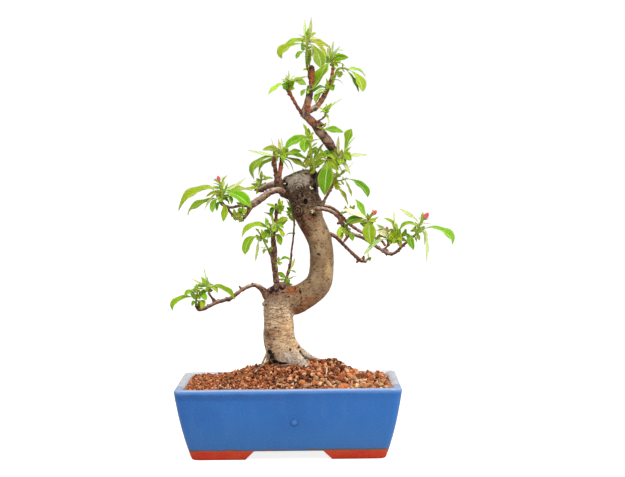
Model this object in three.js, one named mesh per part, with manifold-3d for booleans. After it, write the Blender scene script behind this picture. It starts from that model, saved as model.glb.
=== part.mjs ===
// Chinese quince bonsai (Pseudocydonia sinensis) planted in a rectangular glazed pot.
// Millimetres, +Z up, +X to the tree's right, front of the tree towards -Y.
// The origin is the centre of the bounding box on the table the pot stands on.
import * as THREE from 'three';
import Module from 'manifold-3d';

// ---- driving dimensions (mm) ----
const POT_X = -28.7;            // pot centre; the tree leans out over its right end
const POT_TOP = 79.5;           // rim height
const RIM_HX = 125.7, RIM_HY = 95.7; // outer half size at the rim
const BASE_HX = 107, BASE_HY = 77; // outer half size at the table
const RIM_R = 11.5, BASE_R = 9.5; // plan corner radii
const BULGE = 2.3;              // how far the walls swell out half way up
const WALL = 10.5;              // wall thickness
const FLOOR_Z = 10, FLOOR_T = 9; // underside of the floor above the table, floor thickness
const FOOT_LX = 71, FOOT_LY = 50; // foot length along the long and the short side, at its top
const FOOT_SLOPE = 10;          // how far each foot's end slopes in towards its corner
const FOOT_W = 17;              // width of each leg of the L
const DRAIN_X = 52, DRAIN_R = 11; // drain holes each side of the middle
const SCREEN = 34, SCREEN_T = 1.2, SCREEN_HOLE = 5.2; // square mesh screen over each drain hole
const GAP = 0.35;               // clearance kept between neighbouring pieces
const LEAF_T = 0.8;             // blade thickness at the midrib
const FOLD = 22 * Math.PI / 180; // how far each half of a blade is folded up
const SOIL_BASE = 76.5, SOIL_RISE = 20.5; // soil level at the wall, height of the mound
const SOIL_CX = -8, SOIL_CY = 8;

// ---- centre lines of the wood: x, y, z, radius ----
const TRUNK = {
  trunk_low: [[-27.7,4,50.1,8],[-27.1,4,58.2,11.4],[-26.4,4,66.2,13.7],[-26.3,3.5,76.6,16],[-26.4,3,88.1,17.4],[-27.2,2.5,97.3,17.4],[-29.6,1.5,104.9,17.7],[-34.8,0.5,113.1,19.3],[-38.3,0,122.9,18.2],[-39.4,0,130.9,17.7],[-39.5,0,141.2,17.1],[-39.9,0,150.3,16.6],[-40.4,0,159.5,16.3],[-40.1,0,167.5,15.5],[-38.3,1,174.2,14.1],[-36.6,3,179.8,11.4]],
  limb: [[-39,5,170.6,9.1],[-31,6,169.8,15.4],[-21.9,8,170.2,16.7],[-12.7,8,173.5,15.8],[-3.5,8,179.2,15.2],[4,7,186,14.9],[8.4,6,195.2,14.4],[9.8,4,205.6,13.8],[10.2,2,215.9,13.6],[9.9,0,227.4,13.4],[8,0,238.8,13.7],[3.6,0,250.3,14.1],[-2.1,0,261.7,15.1],[-5.6,0,273.1,16.8],[-8.3,0,284.6,17.3],[-11.4,0,294.8,18],[-13.8,0,302.8,18.2],[-15.1,0,308.5,18],[-16,0,312.2,16.6],[-16.5,0,314.3,13.7]],
  root_right: [[-21.9,6,114.1,6.3],[-17.4,10,112.2,4.9],[-11.2,18,107.6,4.1],[-4.3,26,102.3,3.7],[3.7,33,98.2,3.4],[10.7,38,94.2,2.9],[18.8,42,88.1,2.2]],
  root_front: [[-22.4,-6,111.9,9.3],[-16.4,-11,105.5,7.8],[-12.5,-14,99.7,6.5],[-9.5,-17,92.4,4.8]],
  root_left: [[-44.3,8,113,5.2],[-49.6,13,104.5,4.4],[-52.8,19,95.9,3.9],[-55.3,24,87.3,3.5]],
  root_thin_a: [[-51.5,-2,114.1,2.3],[-54,-4,109.2,1.6],[-56.3,-5,104.1,1.3],[-58.7,-6,99.1,1.2],[-61,-7,94.1,1.1]],
  root_thin_b: [[-45.6,-14,107.8,1.5],[-50.7,-16,104.6,1.2],[-56.3,-20,100.5,1.1],[-61.9,-25,96,1.1],[-66.3,-28,91.9,1]],
  root_back: [[-32.9,10,110.4,9.2],[-34.3,18,100.4,7.5],[-35.7,26,88,5.8]],
};
const WOOD = {
  apex_leader: [[[-6.9,7,287.9,5.7],[-2.9,9,295.2,5.4],[1.8,10,302,5.3],[8.2,9,309.4,4.9],[15.1,6,317.9,4.6],[20.2,1,326.9,4.1],[22.8,-1,336.5,3.8],[23.1,-2,342.2,4],[19.9,-3,348.6,4.8],[14.3,-3,356.2,5],[9,-3,363,4.8],[4.2,-2,369.6,4.1],[-2,-1,376.5,4],[-7.5,0,382.2,4.1],[-5.8,0,388.4,4.1],[-4.1,0,393.5,3.6],[-3.2,1,398.1,3.3],[-1.7,1.5,403.8,3.5],[-1.1,2,409.4,3.5],[0.8,2.5,415.1,3.1],[0.9,3,420.8,3],[0.2,3.5,426.5,3.5],[1,4,434.7,3.3]],
    [[7.6,-2.5,372.9,1.8],[12.7,-5,370.2,2]]],
  apex_fork_right: [[[-3.6,1,386.2,3.4],[3.3,4,388.5,3.1],[9,9,393.9,2.7],[13.7,14,400.7,2.7],[16.6,17,406.5,2.6],[19.6,19,412.3,2.2],[23.1,22,421.6,1.9],[24.9,24,429.6,1.8],[25.6,25,435.4,1.8]]],
  apex_fork_left: [[[-9.3,-2,381.6,2.3],[-14.9,-6,388.9,1.8],[-19.3,-11,396.6,1.7],[-23.1,-15,403.8,1.9],[-25.5,-17.5,408.8,2.6],[-26,-18,411.3,3.4]]],
  twig_leader: [[[5.3,-3.5,372.4,1.5],[9.9,-7,375,1.1],[13.9,-10,377.4,0.9],[16.1,-12,379.9,0.9]]],
  stub_upper_left: [[[-31.9,2,297.3,4.8],[-35.2,0,299.6,4.8],[-37.6,-1,303.6,4.4],[-38.3,-1,308.8,4.1],[-38.7,-1,312.2,4]],
    [[-39,-2,311,2.7],[-41,-4,317.3,2.3],[-42,-6.5,325.8,2.1],[-42.2,-8,333.7,2.1]],
    [[-37.9,-0.5,311,2.6],[-36.2,0.5,316.7,2.3],[-35,2.5,324.6,2.2],[-34.2,4,330.9,2.2]]],
  branch_upper_left: [[[-27.3,0,292.1,5.1],[-31.8,-4,293.4,4.3],[-37.4,-8,296,3.2],[-41.9,-10,295.8,3.2],[-47.5,-12,293.9,3.3],[-53.2,-14,290,3.4],[-58.8,-17,285.9,3.5],[-64.4,-20,282.3,3.5],[-68.5,-22.5,279,3.1],[-71.1,-24,274.9,2.5],[-72.8,-24.5,271,2],[-75.6,-25,267.1,1.7],[-78.5,-26,263.8,1.4]],
    [[-70.2,-23.5,277.9,1.8],[-74.4,-25,279.5,1.5],[-81,-29,279.3,1.4],[-89.8,-33,277.8,1.5],[-96.4,-35,278.7,1.8],[-100.2,-36,281.6,1.9],[-102.1,-36,284.6,1.7]],
    [[-96.4,-35,277.6,1.4],[-93.1,-34,274,1.3],[-89.9,-32.5,269.9,1.3],[-86.9,-31,265.3,1.4]]],
  branch_back_left: [[[-28.5,9,300.6,4.1],[-33.1,13,302.4,3.7],[-38.9,18,303,3.4],[-46,26,302.1,3.3],[-53.1,34,299.8,3.1],[-59.7,42,296.1,2.8]]],
  twig_up_right: [[[8.9,3,276.9,2.3],[12.2,6,280.6,2.2],[14.8,10,285.3,1.5],[18.9,16,292.1,1.5],[22.5,22,298.9,1.7]]],
  branch_right: [[[-2.5,-11,273.9,2.9],[3.2,-15.5,274.9,2.3],[8.8,-17,274.9,2],[16.7,-19,273.6,2],[23.4,-21,270.4,2],[29,-23,265.9,2.1],[32.5,-24,260.9,2.1],[35,-25.5,255.2,2.2],[38.3,-27,250,2.1],[42.7,-28,247,1.9],[50,-30,244.6,1.8],[57.7,-32,241.2,1.7],[64.4,-33,237.2,1.7],[71,-35,232.4,1.7],[77.6,-36,228.2,1.9],[84.2,-38,224.4,1.8],[89.8,-39,224.4,1.7],[95.3,-41,227.7,1.6],[99.8,-42,232.4,1.4],[104.4,-43,236.4,1.3]],
    [[78.8,-36,227.7,1.3],[83.3,-36,232.1,1.1],[85.3,-36,235.4,1.8],[84.5,-36,238.8,1.9]],
    [[40.5,-28,247.9,1.8],[39.3,-30,243.5,1.7],[35.6,-32,238.3,1.2]],
    [[32.3,-24,260.3,1.4],[28.9,-25,258.3,1.5]],
    [[82.6,-37,225.4,1.3],[83.7,-37.5,227.9,1.2]]],
  branch_right_back: [[[6.6,4,275.8,2.7],[12.4,9,277.4,1.9],[20.4,13,276.1,1.7],[27.3,16,271.9,1.7],[33.6,19,265.5,1.7],[38.7,22,259.6,1.8],[45.7,26,253.7,1.8],[52.6,30,248.8,1.7],[58.4,31,245.3,1.6],[66.5,33,241.7,1.5],[75.8,35,238.4,1.5],[80.5,36,235.4,1.4],[83.9,37,230.6,1.4]]],
  branch_lower_right: [[[13.2,6,247.2,2.7],[20.1,12,245.2,2.2],[25.8,16,242.4,2.1],[33.9,23,234.3,1.8],[43.2,31,224.6,1.7],[50.2,37,217.9,1.9],[54.9,40.5,213.7,2],[61.1,43.5,212.1,2.2]],
    [[57.6,42,213.2,1.4],[59.2,41,217.4,1.3]],
    [[53.7,40,214.3,1.4],[51.4,39,211.4,1.4]]],
  twig_center_left: [[[-41,-5,183.8,3.4],[-41.4,-7,190.8,3.1],[-42.3,-9,200,3],[-43.3,-10.5,210.3,3.1],[-44.3,-12,219.4,3.4],[-43.4,-13,227.4,3.3],[-44.1,-13.5,235.9,2.7],[-44.4,-14,245.6,2.4],[-42.8,-14,255.7,1.9],[-41,-13,265.3,1.7],[-40.7,-12,280,1.7]],
    [[-45.5,-12,221.7,1.6],[-47.9,-13,224.5,1.4]]],
  twig_center_right: [[[-33.7,5,185.4,2.3],[-32,7,189.8,1.9],[-29.6,9,197.1,1.7],[-26.9,12,207.2,1.5],[-25.1,14,216.3,1.3],[-24.1,17,227.1,1.1],[-22.4,19,238.5,1],[-21.4,20,249.9,1],[-20.8,21,261.4,1],[-23.2,22,270.6,0.9]]],
  branch_lower_left: [[[-47.9,-4,171.8,5.2],[-52.6,-6,176.6,4.3],[-56.8,-8,182.8,3.1],[-61.2,-10,186.6,2.4],[-66.8,-12,189.1,2.1],[-72.4,-14,187.9,1.9],[-79.2,-17,184.7,1.9],[-87,-20,179.3,1.9],[-92.6,-22,175.2,2.1],[-99.3,-24,173.2,1.9],[-108.2,-26,170.8,1.8],[-116.1,-28,167.2,1.8],[-122.8,-29,164.1,1.9],[-128.4,-30,163.1,1.8],[-131.3,-30,166.8,1.5]],
    [[-109.4,-26,171.7,1.4],[-113.4,-27,175.5,1.4],[-116.2,-28,179.3,1.2]],
    [[-79.4,-17,184.5,1.1],[-80.8,-17,184.6,1.1],[-83.1,-17,187.8,1]],
    [[-93.2,-22,174.7,1.5],[-94.9,-22,172.2,1.2]]],
};
const SHOOTS = {
  shoot_apex_top: { stems: [[[0.4,3.6,428.4,1.4],[-0.2,0.5,428.6,1.4],[-3.1,0.5,432.6,1.4],[-4.7,0,443.4,1.4],[-4.2,-1,454.6,1.4],[-3.2,-1,464.8,1.6],[-2.1,-1,471.5,1]]], leaves: [
    ['p',5.2,39,0.46,[[-3,-1,466.2],[-1,-1,465.9],[0.5,-2.7,474.8],[1.3,-5,491.5]]],
    ['p',4.8,45,0.46,[[-3.1,-1,465.7],[-4.4,-1,465.9],[-6.3,1.1,476.3],[-6.1,3,489.4]]],
    ['y',5,24,0.46,[[-2.4,-1,467],[-2.3,-1,479.4]]],
    ['y',12.8,61,0.46,[[-3.3,-1,463.6],[-4.1,-1,463.6],[-11.8,3.2,465.9],[-21,6.8,464.6],[-32.5,11,460.2]]],
    ['g',16.3,49,0.7,[[-4.2,-1,459.1],[-11.8,-3.9,461.5],[-24.9,-7.5,457.2],[-31.6,-9.6,450.9],[-32.3,-11,444.4]]],
    ['g',7.1,48,0.6,[[-4.6,-0.7,451.2],[-9.1,-3,452.5],[-13.1,-4.6,450.5],[-16.2,-6.7,444.5]]],
    ['p',3.7,48,0.46,[[-3,-1,462.5],[0.8,-2.9,458.9],[1.9,-6,446.3]]],
    ['d',10,57,0.55,[[-4,-1,457.4],[-0.4,-3.1,453.3],[-1.1,-8,434.9]]],
    ['y',15.9,0,0.66,[[-3,-1,461.4],[1.7,-3.5,460.6],[6.2,-6.4,454.1],[10.6,-10,443.7],[11.6,-13,433.4]]],
    ['y',12,65,0.46,[[-3,-1,463.1],[5.2,0.1,462.5],[19.2,2,446.1]]],
    ['u',12.4,57,0.5,[[-2.8,-1,464.4],[5.2,5.1,463.6],[13.1,9.8,461.6],[22.6,15,457.7]]],
    ['g',11.7,0,0.5,[[-3.9,-1,458],[-7.4,12.5,460.6],[-10.9,26,457.6]]],
    ['g',10.9,0,0.5,[[-4.3,-0.9,453.5],[-1.3,11.6,454],[1.6,24,449.3]]],
    ['y',9.8,0,0.5,[[-3.3,-1,463.7],[-2.4,10.5,470.4],[-1.6,22,472.1]]],
  ] },
  shoot_apex_right: { stems: [[[25.5,24.9,434.7,1.6],[25.8,24,434.8,1.6],[25.1,24,439.9,1.7],[23.9,23,444.5,1.6],[24,22,450.1,1]]], leaves: [
    ['p',3.9,29,0.46,[[24,22.6,446.7],[25.2,21,455.8],[26.6,19.6,465.9]]],
    ['p',3.4,0,0.46,[[23.7,22.6,446.7],[21.8,25.3,453.8],[21.9,27.6,462.5]]],
    ['p',3.6,37,0.46,[[24.2,22.8,445.6],[29.1,19.8,453.4],[33.8,17.8,460]]],
    ['p',3.5,50,0.46,[[24.2,22.4,447.9],[30.4,24.3,455.4],[38.1,25.4,455.6]]],
    ['p',3.2,26,0.46,[[23.6,23,444.5],[20,20.4,450.1],[19.4,18,458.5]]],
    ['y',5.5,33,0.46,[[23.9,23,444.5],[23.5,23,458.2]]],
    ['y',6,55,0.46,[[24.2,23,444.5],[29.9,28,457.3]]],
    ['g',9.2,6,0.46,[[24.3,23.1,443.9],[27.4,20.8,445.9],[33.6,17.9,447.1],[43.5,14.1,446.6]]],
    ['d',6.2,43,0.46,[[24.3,23.4,442.8],[17.6,18.4,446],[11.6,15.4,445.8]]],
    ['g',6.1,42,0.46,[[24.5,23.6,441.6],[18.8,28,443.1],[13,31.6,440.5]]],
    ['y',5.3,43,0.46,[[24.5,23.6,441.6],[35,31.6,443.4]]],
    ['g',20.9,51,0.5,[[24.6,23.6,441.8],[24.5,23,441.6],[20.8,19,440.8],[17,14,436],[11,5,424.2],[2,-5,409.1]]],
    ['g',11,0,0.5,[[23.9,23,444.5],[20.9,35.5,449.6],[17.9,48,449.6]]],
    ['g',10.9,0,0.5,[[24.2,23.2,443.4],[27.7,35.6,447.3],[31.2,48,445.9]]],
    ['d',9.5,0,0.5,[[24.5,23.5,442.3],[25.2,35.2,443],[25.9,47,439]]],
  ] },
  shoot_apex_hang: { stems: [[[16.5,16.9,406.3,1.5],[18.1,14,406.9,1.5],[20.6,14,411.5,1.4],[24.1,13,416.5,1.4],[27.6,11,425.5,1.4],[31.1,9,433,1.4],[35.6,7,434.3,1.1],[41.3,5,433,1.1]]], leaves: [
    ['d',12.4,66,0.46,[[40.7,5.2,433],[45.1,2.2,425.4],[49.5,-0.1,417.3],[54.1,-2.8,406.4]]],
    ['y',14.6,43,0.66,[[40.7,5.2,433],[46.8,1.2,429.9],[54.6,-3.7,420.5],[58.6,-8.8,406.4]]],
    ['u',10.6,68,0.46,[[40.5,5.3,433],[49.3,9.2,432.8],[57.3,11.9,430.4],[62.6,14.3,424.7]]],
    ['y',5.2,45,0.46,[[20.4,14,411.1],[17.3,11,423.3]]],
    ['p',4.2,13,0.46,[[19.5,14,409.2],[12.6,8.9,409.3],[3.2,3,403.4]]],
    ['d',9.4,68,0.46,[[20.1,14,411.1],[12.1,7.5,412.6],[2.3,1,406.8]]],
    ['y',9.4,51,0.55,[[18.9,14,408.1],[12.6,10.1,406.3],[8.5,7.8,403.4],[5.4,4,394.4]]],
    ['g',8.9,0,0.5,[[29.4,10,429.4],[32.1,20,429.4],[34.8,30,425.3]]],
    ['g',8.8,0,0.5,[[22.5,13.5,414.2],[23.8,3.7,413],[25,-6,407.7]]],
    ['y',7.7,0,0.5,[[25.9,12,421],[24.1,3,424.7],[22.3,-6,424.6]]],
  ] },
  shoot_apex_spur: { stems: [[[-1.1,1.9,408.9,1.1],[-1.6,-1.8,409.3,1.1],[-4.5,-3,410.7,1]]], leaves: [
    ['g',5.3,25,0.55,[[-4.1,-2.9,410.6],[-7.5,-5,408.9],[-11.4,-7.9,402.3]]],
  ] },
  shoot_apex_left: { stems: [[[-25.9,-18,410.4,2.2],[-25.2,-18,414.4,1.9],[-24.6,-18,418.9,1.1]]], leaves: [
    ['y',10.8,61,0.5,[[-25.8,-18,413.9],[-33,-20.9,414.9],[-40.3,-23.5,410],[-47.9,-26,403.9]]],
    ['g',9,0,0.46,[[-25.5,-18,413],[-24.1,-18,412.7],[-32.9,-30,414.7]]],
    ['g',9,0,0.46,[[-25.8,-18,412.7],[-18,-30,418.2]]],
    ['u',9.3,67,0.46,[[-24.6,-18,417.2],[-14.5,-13.5,420.7],[-4,-10,424.1]]],
    ['u',8.4,34,0.6,[[-24.6,-18,417],[-18.4,-16.8,419.4],[-12.2,-16,418.3],[-5.2,-15,414.7]]],
    ['p',2.6,31,0.46,[[-24.6,-18,417.8],[-25,-21,430.5]]],
    ['g',10.2,0,0.5,[[-25.2,-18,414.4],[-23.7,-6,416.3],[-22.1,6,413.3]]],
    ['g',9.7,0,0.5,[[-24.9,-18,416.6],[-27.7,-7,420.9],[-30.5,4,420.6]]],
    ['y',7.7,0,0.5,[[-25.1,-18,415.5],[-23.6,-26,418.4],[-22.2,-34,418.1]]],
  ] },
  shoot_leader_twig: { stems: [[[16.1,-12,379.9,0.9],[16.2,-13,380.9,0.9],[17.3,-13,383.8,0.9],[17.9,-13,387.7,0.7]]], leaves: [
    ['y',5.4,37,0.46,[[17.2,-13,382.7],[23.2,-17,393.9]]],
    ['p',4.3,63,0.46,[[17.8,-13,385.5],[25.8,-15.3,392.6],[34.5,-17,398.1]]],
    ['p',3.1,49,0.46,[[16.6,-13,381.2],[18.9,-14.9,375.8],[18.8,-17,366.8]]],
    ['g',6.6,0,0.5,[[17.3,-13,383.8],[18.6,-20,385],[20,-27,383.3]]],
    ['g',6.6,0,0.5,[[17.5,-13,384.9],[15.5,-6,387.8],[13.5,1,387.7]]],
  ] },
  leaf_leader: { stems: [[[8.1,-2.8,364.3,1.4],[9.2,-6.5,365.7,1.4],[12.9,-9,365.3,1]]], leaves: [
    ['g',10.9,45,0.46,[[12.1,-8.4,365.4],[12,-8.4,364.8],[22.2,-12.4,364],[36.2,-16.4,360.6]]],
  ] },
  shoot_leader_right: { stems: [[[22.9,-1.4,338.9,1.7],[23.5,-5.3,338.1,1.7],[28.1,-8,332.6,1.7],[32.6,-11,330.1,1.4],[34.9,-12,333.7,1.1]]], leaves: [
    ['p',5.1,37,0.46,[[30.1,-9.4,331.3],[30.7,-6.4,356.7]]],
    ['o',5.9,0,0.46,[[28.5,-8.4,331.8],[27.2,-3.4,345.5]]],
    ['o',5.7,0,0.46,[[32.6,-11,330.1],[32.6,-11,329.5],[34.4,-14,341.9]]],
    ['g',14.6,50,0.8,[[34.2,-11.7,332.6],[34.6,-11.7,332.3],[36.4,-13.4,337],[38.5,-15.3,344.4],[41.2,-17.1,351.9],[44,-18.8,359.9],[45.5,-19.7,364.4]]],
    ['y',9.5,0,0.55,[[34.5,-11.8,332.9],[38.2,-15.9,335.6],[44.8,-21.8,329]]],
    ['y',5.9,55,0.46,[[34.8,-11.9,333.4],[39.5,-10.8,338.5],[44.6,-9.9,344.3]]],
    ['p',5.3,68,0.46,[[34.9,-12,334],[41.3,-9.1,345.3],[49.1,-7,355.4]]],
    ['p',6,50,0.55,[[34.2,-11.7,332.5],[34.5,-11.7,332.3],[44.5,-9.1,333.9],[53.7,-7.4,335],[63.6,-5.7,334.9]]],
    ['p',4.7,0,0.46,[[32.8,-11,329.9],[37.6,-12.7,324.9],[43.4,-15,313.2]]],
    ['g',10.5,0,0.5,[[28.7,-8.4,332.3],[26.6,3.8,333.5],[24.4,16,329.8]]],
    ['g',10.5,0,0.5,[[32.6,-11,330.1],[34.8,1,330.1],[36.9,13,325.1]]],
    ['g',8.8,0,0.5,[[33,-11.2,330.7],[32.4,-19.6,329.1],[31.7,-28,323.8]]],
    ['y',8.7,0,0.5,[[28.7,-8.4,332.3],[30.6,1.8,337.7],[32.5,12,338.8]]],
  ] },
  shoot_knob_top: { stems: [[[-15.1,0,308.5,1.9],[-1.7,-3,316.9,1.9],[-0.6,-5,324.2,1.9],[-0.4,-6,332.2,1.8],[-1.1,-7,341.2,1.6],[-1.7,-7,350.3,1.5],[-2.4,-7,357.1,1.2]]], leaves: [
    ['g',11.9,0,0.5,[[-2,-7,354.8],[-5.8,-9.7,354.2],[-8,-12.9,348],[-8.2,-17,338.1]]],
    ['y',13.2,36,0.5,[[-2.4,-7,355.9],[-9,-5,356.3],[-17.6,-3,352.1],[-24.4,-1.5,348.7],[-29.9,0,342.2]]],
    ['g',7.2,55,0.46,[[-2.3,-7,355.9],[-5.5,-5.6,361.7],[-9.4,-4,371.1]]],
    ['o',6.1,0,0.55,[[-0.3,-5.9,331],[-3.6,-9.1,328.2],[-7.4,-13.9,319.8]]],
    ['y',5.1,28,0.46,[[-0.4,-5.6,328.8],[-5.9,-2.2,329.4],[-10.3,0.4,325.5]]],
    ['o',9.3,68,0.46,[[0.1,-5.6,329.3],[7.3,-2.9,337.8],[13.9,-0.6,348.7]]],
    ['p',4.4,34,0.46,[[-0.1,-5.2,325.9],[4.9,-2.2,333.3],[5.6,0.8,345.5]]],
    ['g',11.3,0,0.5,[[-1.2,-7,342.4],[1.4,6,342.9],[3.9,19,338.1]]],
    ['g',11.1,0,0.5,[[-1.5,-7,348],[-3.9,6,349.7],[-6.3,19,346.2]]],
    ['g',11,0,0.5,[[-0.4,-6,332.2],[-3.2,6,335.3],[-5.9,18,333.6]]],
    ['y',8.8,0,0.5,[[-2,-7,353.7],[-0.2,-16,354.2],[1.7,-25,351.1]]],
  ] },
  shoot_knob_right: { stems: [[[-15.1,0,308.5,1.8],[2.3,-9,317.4,1.8],[2.9,-11,323.1,1.7],[6,-13,329.2,1.6],[10.6,-15,332.8,1.5],[15.1,-17,332.5,1.2]]], leaves: [
    ['g',9.6,30,0.5,[[3.4,-11.5,324.7],[8.9,-13.1,333.1],[21.3,-14.5,335.5]]],
    ['g',7.2,20,0.46,[[2.9,-10.8,322.5],[7.7,-15.1,325.8],[15.6,-19.8,329.6]]],
    ['g',19,14,0.5,[[14.5,-17,332.3],[17.2,-20,325.7],[17.1,-23,318.4],[15.8,-25.5,310.5],[14.9,-28,299.6],[14,-29.5,289.8]]],
    ['y',9.5,0,0.55,[[14.5,-16.8,332.3],[21.2,-19.5,327.9],[30.3,-22.8,317.9]]],
    ['y',6,50,0.46,[[14.5,-16.7,332.8],[20.7,-21.3,334.1],[25.6,-24.7,330.1]]],
    ['d',8.2,68,0.46,[[10.6,-15,333.1],[17.4,-12,337.9],[26.6,-9,331.5]]],
    ['g',11.3,0,0.5,[[10.5,-15,332.7],[12.9,-2,338.3],[15.3,11,338.4]]],
    ['g',10.3,0,0.5,[[5.1,-12.4,327.4],[7.3,-0.5,328.8],[9.5,11.5,325.4]]],
  ] },
  shoot_twig_right: { stems: [[[22.5,22,298.9,1.5],[23.1,24,299.6,1.5],[24.3,24,304.6,1.5],[27.7,22,309.7,1.4],[33.5,20,313.7,1.3],[38.1,18,317.6,1]], [[26,23,306.9,0.9],[32.3,20,306.1,0.8],[38.5,17,308.2,0.8]]], leaves: [
    ['y',5.8,0,0.46,[[24,24,303.6],[24.6,24,303.4],[27.9,31,314.9]]],
    ['g',15.5,55,0.62,[[38,17.3,308.1],[43.7,14.9,307.6],[48.8,13.2,305.2],[53.8,11.5,301.1],[58.9,9.7,296.3],[62.2,8.3,291.1],[63.2,7.3,286.8]]],
    ['o',8.3,68,0.46,[[37.8,17.3,308],[38,17.3,307.6],[40.7,15.5,299.9],[43.7,14.1,292.4],[45.7,13.3,287.6]]],
    ['o',11.8,68,0.46,[[24.2,24,302.3],[29.3,21.9,297.6],[34.4,20,291.3],[38.3,18.3,284],[41.3,17,277.7]]],
    ['g',9.9,0,0.5,[[24,24,303.5],[21.6,35,304.2],[19.2,46,300.5]]],
    ['g',10.3,0,0.5,[[27.6,22.1,309.5],[29.9,34,313.5],[32.1,46,312.5]]],
    ['y',7.7,0,0.5,[[24.7,23.8,305.2],[26.9,32.9,305.3],[29.1,42,301.5]]],
  ] },
  shoot_stub_top: { stems: [[[-34.2,4,330.9,1.7],[-34.2,5,331.9,1.7],[-34.2,3,337.1,1.6],[-33.7,3,341.7,1]], [[-34.1,4,334.3,1.1],[-38.2,0,334.7,1]]], leaves: [
    ['g',20.1,68,0.55,[[-37.1,1.1,334.5],[-51.8,-3.3,333.3],[-62,-6,327.1],[-67,-8.1,318.1],[-65.5,-9.9,308.7]]],
    ['g',14.5,68,0.5,[[-36.8,1.4,334.3],[-47.5,4.9,329.3],[-56.7,7.2,324.3],[-60.9,9.4,313.9]]],
    ['o',9.6,34,0.55,[[-34.5,3.4,336],[-44,8.6,343],[-55.9,12.4,342.4]]],
    ['p',7.2,62,0.46,[[-37.1,1.1,334.9],[-51.8,-2.4,336.7],[-71.7,-5.9,341.6]]],
    ['p',3.6,20,0.46,[[-34.3,3,337.1],[-36.4,0.8,345.1],[-37.7,-1,354.5]]],
    ['p',3.5,9,0.46,[[-33.8,3,338.3],[-34.1,7,355.1]]],
    ['g',10.6,54,0.6,[[-33.9,3.2,336.6],[-22.2,-3.4,338.9],[-11.6,-7.8,340]]],
    ['o',12.2,60,0.55,[[-34,4.3,333.7],[-25.8,1.1,331.9],[-16.7,-1.7,327.3],[-6.2,-4.7,320.9]]],
    ['o',12.4,68,0.46,[[-34,3.4,336],[-21.2,1.5,335.9],[-2.7,-0.6,329.6]]],
    ['g',7.3,38,0.46,[[-36.6,1.6,334.3],[-41.6,-2.4,330.4],[-44.7,-6.4,322.1]]],
    ['g',8.4,53,0.46,[[-36,2.2,334.4],[-50.6,15.2,330.2]]],
    ['g',11.6,0,0.5,[[-34.2,3.5,335.8],[-37.6,16.8,340.3],[-41,30,339.2]]],
    ['g',12.4,0,0.5,[[-34.2,3.3,336.3],[-30.7,17.7,338.7],[-27.3,32,335.1]]],
    ['y',8.8,0,0.5,[[-34.2,3.7,335.3],[-31.9,-5.7,334.5],[-29.5,-15,329.6]]],
    ['g',10.5,0,0.5,[[-37.2,1,334.6],[-40.8,13,336.2],[-44.5,25,332.9]]],
  ] },
  shoot_back_left: { stems: [[[-59.7,42,296.1,1.6],[-60,44.5,296.1,1.6],[-59.8,45,303,1.5],[-58.5,45,311.1,1.1]]], leaves: [
    ['y',5.4,31,0.46,[[-59.8,44.8,299.6],[-70.8,37.8,303.2]]],
    ['y',7.2,59,0.46,[[-59.9,44.6,297.2],[-77,49.6,298.5]]],
    ['y',6.2,53,0.46,[[-58.9,45,306.5],[-53.4,47.5,309.1],[-44.9,50,309.8]]],
    ['g',9.9,0,0.5,[[-59.8,44.9,301.9],[-62.7,55,304.8],[-65.6,65,303.6]]],
    ['g',9.9,0,0.5,[[-59.9,44.8,299.6],[-56.9,54.9,301.6],[-53.9,65,299.3]]],
  ] },
  shoot_upper_left_end: { stems: [[[-101,-36,282.8,1.4],[-101.4,-38.6,282.5,1.4],[-100.8,-37,290.5,1.9],[-101.3,-36.5,299.5,2.1],[-102.4,-36,305.4,2.1]]], leaves: [
    ['g',24.5,68,0.5,[[-101.7,-36.8,293.9],[-112.7,-38.5,298.7],[-120.5,-39.4,297.9],[-133.9,-40.8,291.7],[-142.3,-41.7,284.9],[-149.1,-42.8,274.4]]],
    ['g',19.6,68,0.6,[[-101.4,-37.2,289.4],[-113.1,-34.1,286.7],[-123.4,-32,282.5],[-132.5,-30.3,278.1],[-138.2,-29.1,273.4],[-139.5,-28.2,268.4]]],
    ['p',5.9,61,0.46,[[-101.7,-36.7,296.1],[-109.9,-40.6,290.7],[-120.1,-45.7,275.6]]],
    ['y',7.7,62,0.46,[[-101.2,-36.9,291.7],[-110.5,-40.5,293.5],[-118.5,-42.9,289.7]]],
    ['p',3.6,0,0.46,[[-101.1,-36.6,297.2],[-98.9,-35,303.9],[-100.5,-33.6,312.1]]],
    ['y',5.6,53,0.46,[[-101.1,-36.8,294.4],[-96,-38.9,297.8],[-93.8,-40.8,304.7]]],
    ['g',17,41,0.52,[[-100.8,-36.9,292.2],[-94.9,-39.4,294.1],[-84.7,-42.5,291.5],[-75.8,-45.2,285.4],[-67.7,-47.9,277.3]]],
    ['p',6.4,56,0.46,[[-101.1,-36.7,295.6],[-90.6,-33.7,298.2],[-82.2,-31.7,303.2],[-74.6,-29.7,310.3]]],
    ['u',15.2,68,0.46,[[-101.1,-36.7,295],[-85.3,-27.9,298.7],[-67.2,-20.7,296.2]]],
    ['g',9.7,36,0.6,[[-101.1,-37.6,287.7],[-107.7,-41.8,285.6],[-110.9,-47.6,272.2]]],
    ['g',6.3,42,0.46,[[-101.2,-38.1,285],[-104.7,-40.9,282.8],[-106,-45.1,273.7]]],
    ['y',5.7,11,0.46,[[-101.2,-37.1,290],[-110.3,-28.1,296.1]]],
    ['g',8.2,64,0.46,[[-100.9,-37.3,288.9],[-92.6,-42.2,289.4],[-89.4,-46.3,280.8]]],
    ['d',5.8,52,0.46,[[-101,-37.7,287.2],[-95.3,-33.1,285.9],[-92.9,-29.7,280.3]]],
    ['y',9.3,30,0.5,[[-101.3,-38.5,283],[-97.7,-40.7,277.7],[-97.3,-42.3,271.6],[-99.3,-44.5,261.9]]],
    ['g',11.2,0,0.5,[[-100.9,-37,291.1],[-99.1,-24,291.3],[-97.4,-11,286.2]]],
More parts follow.
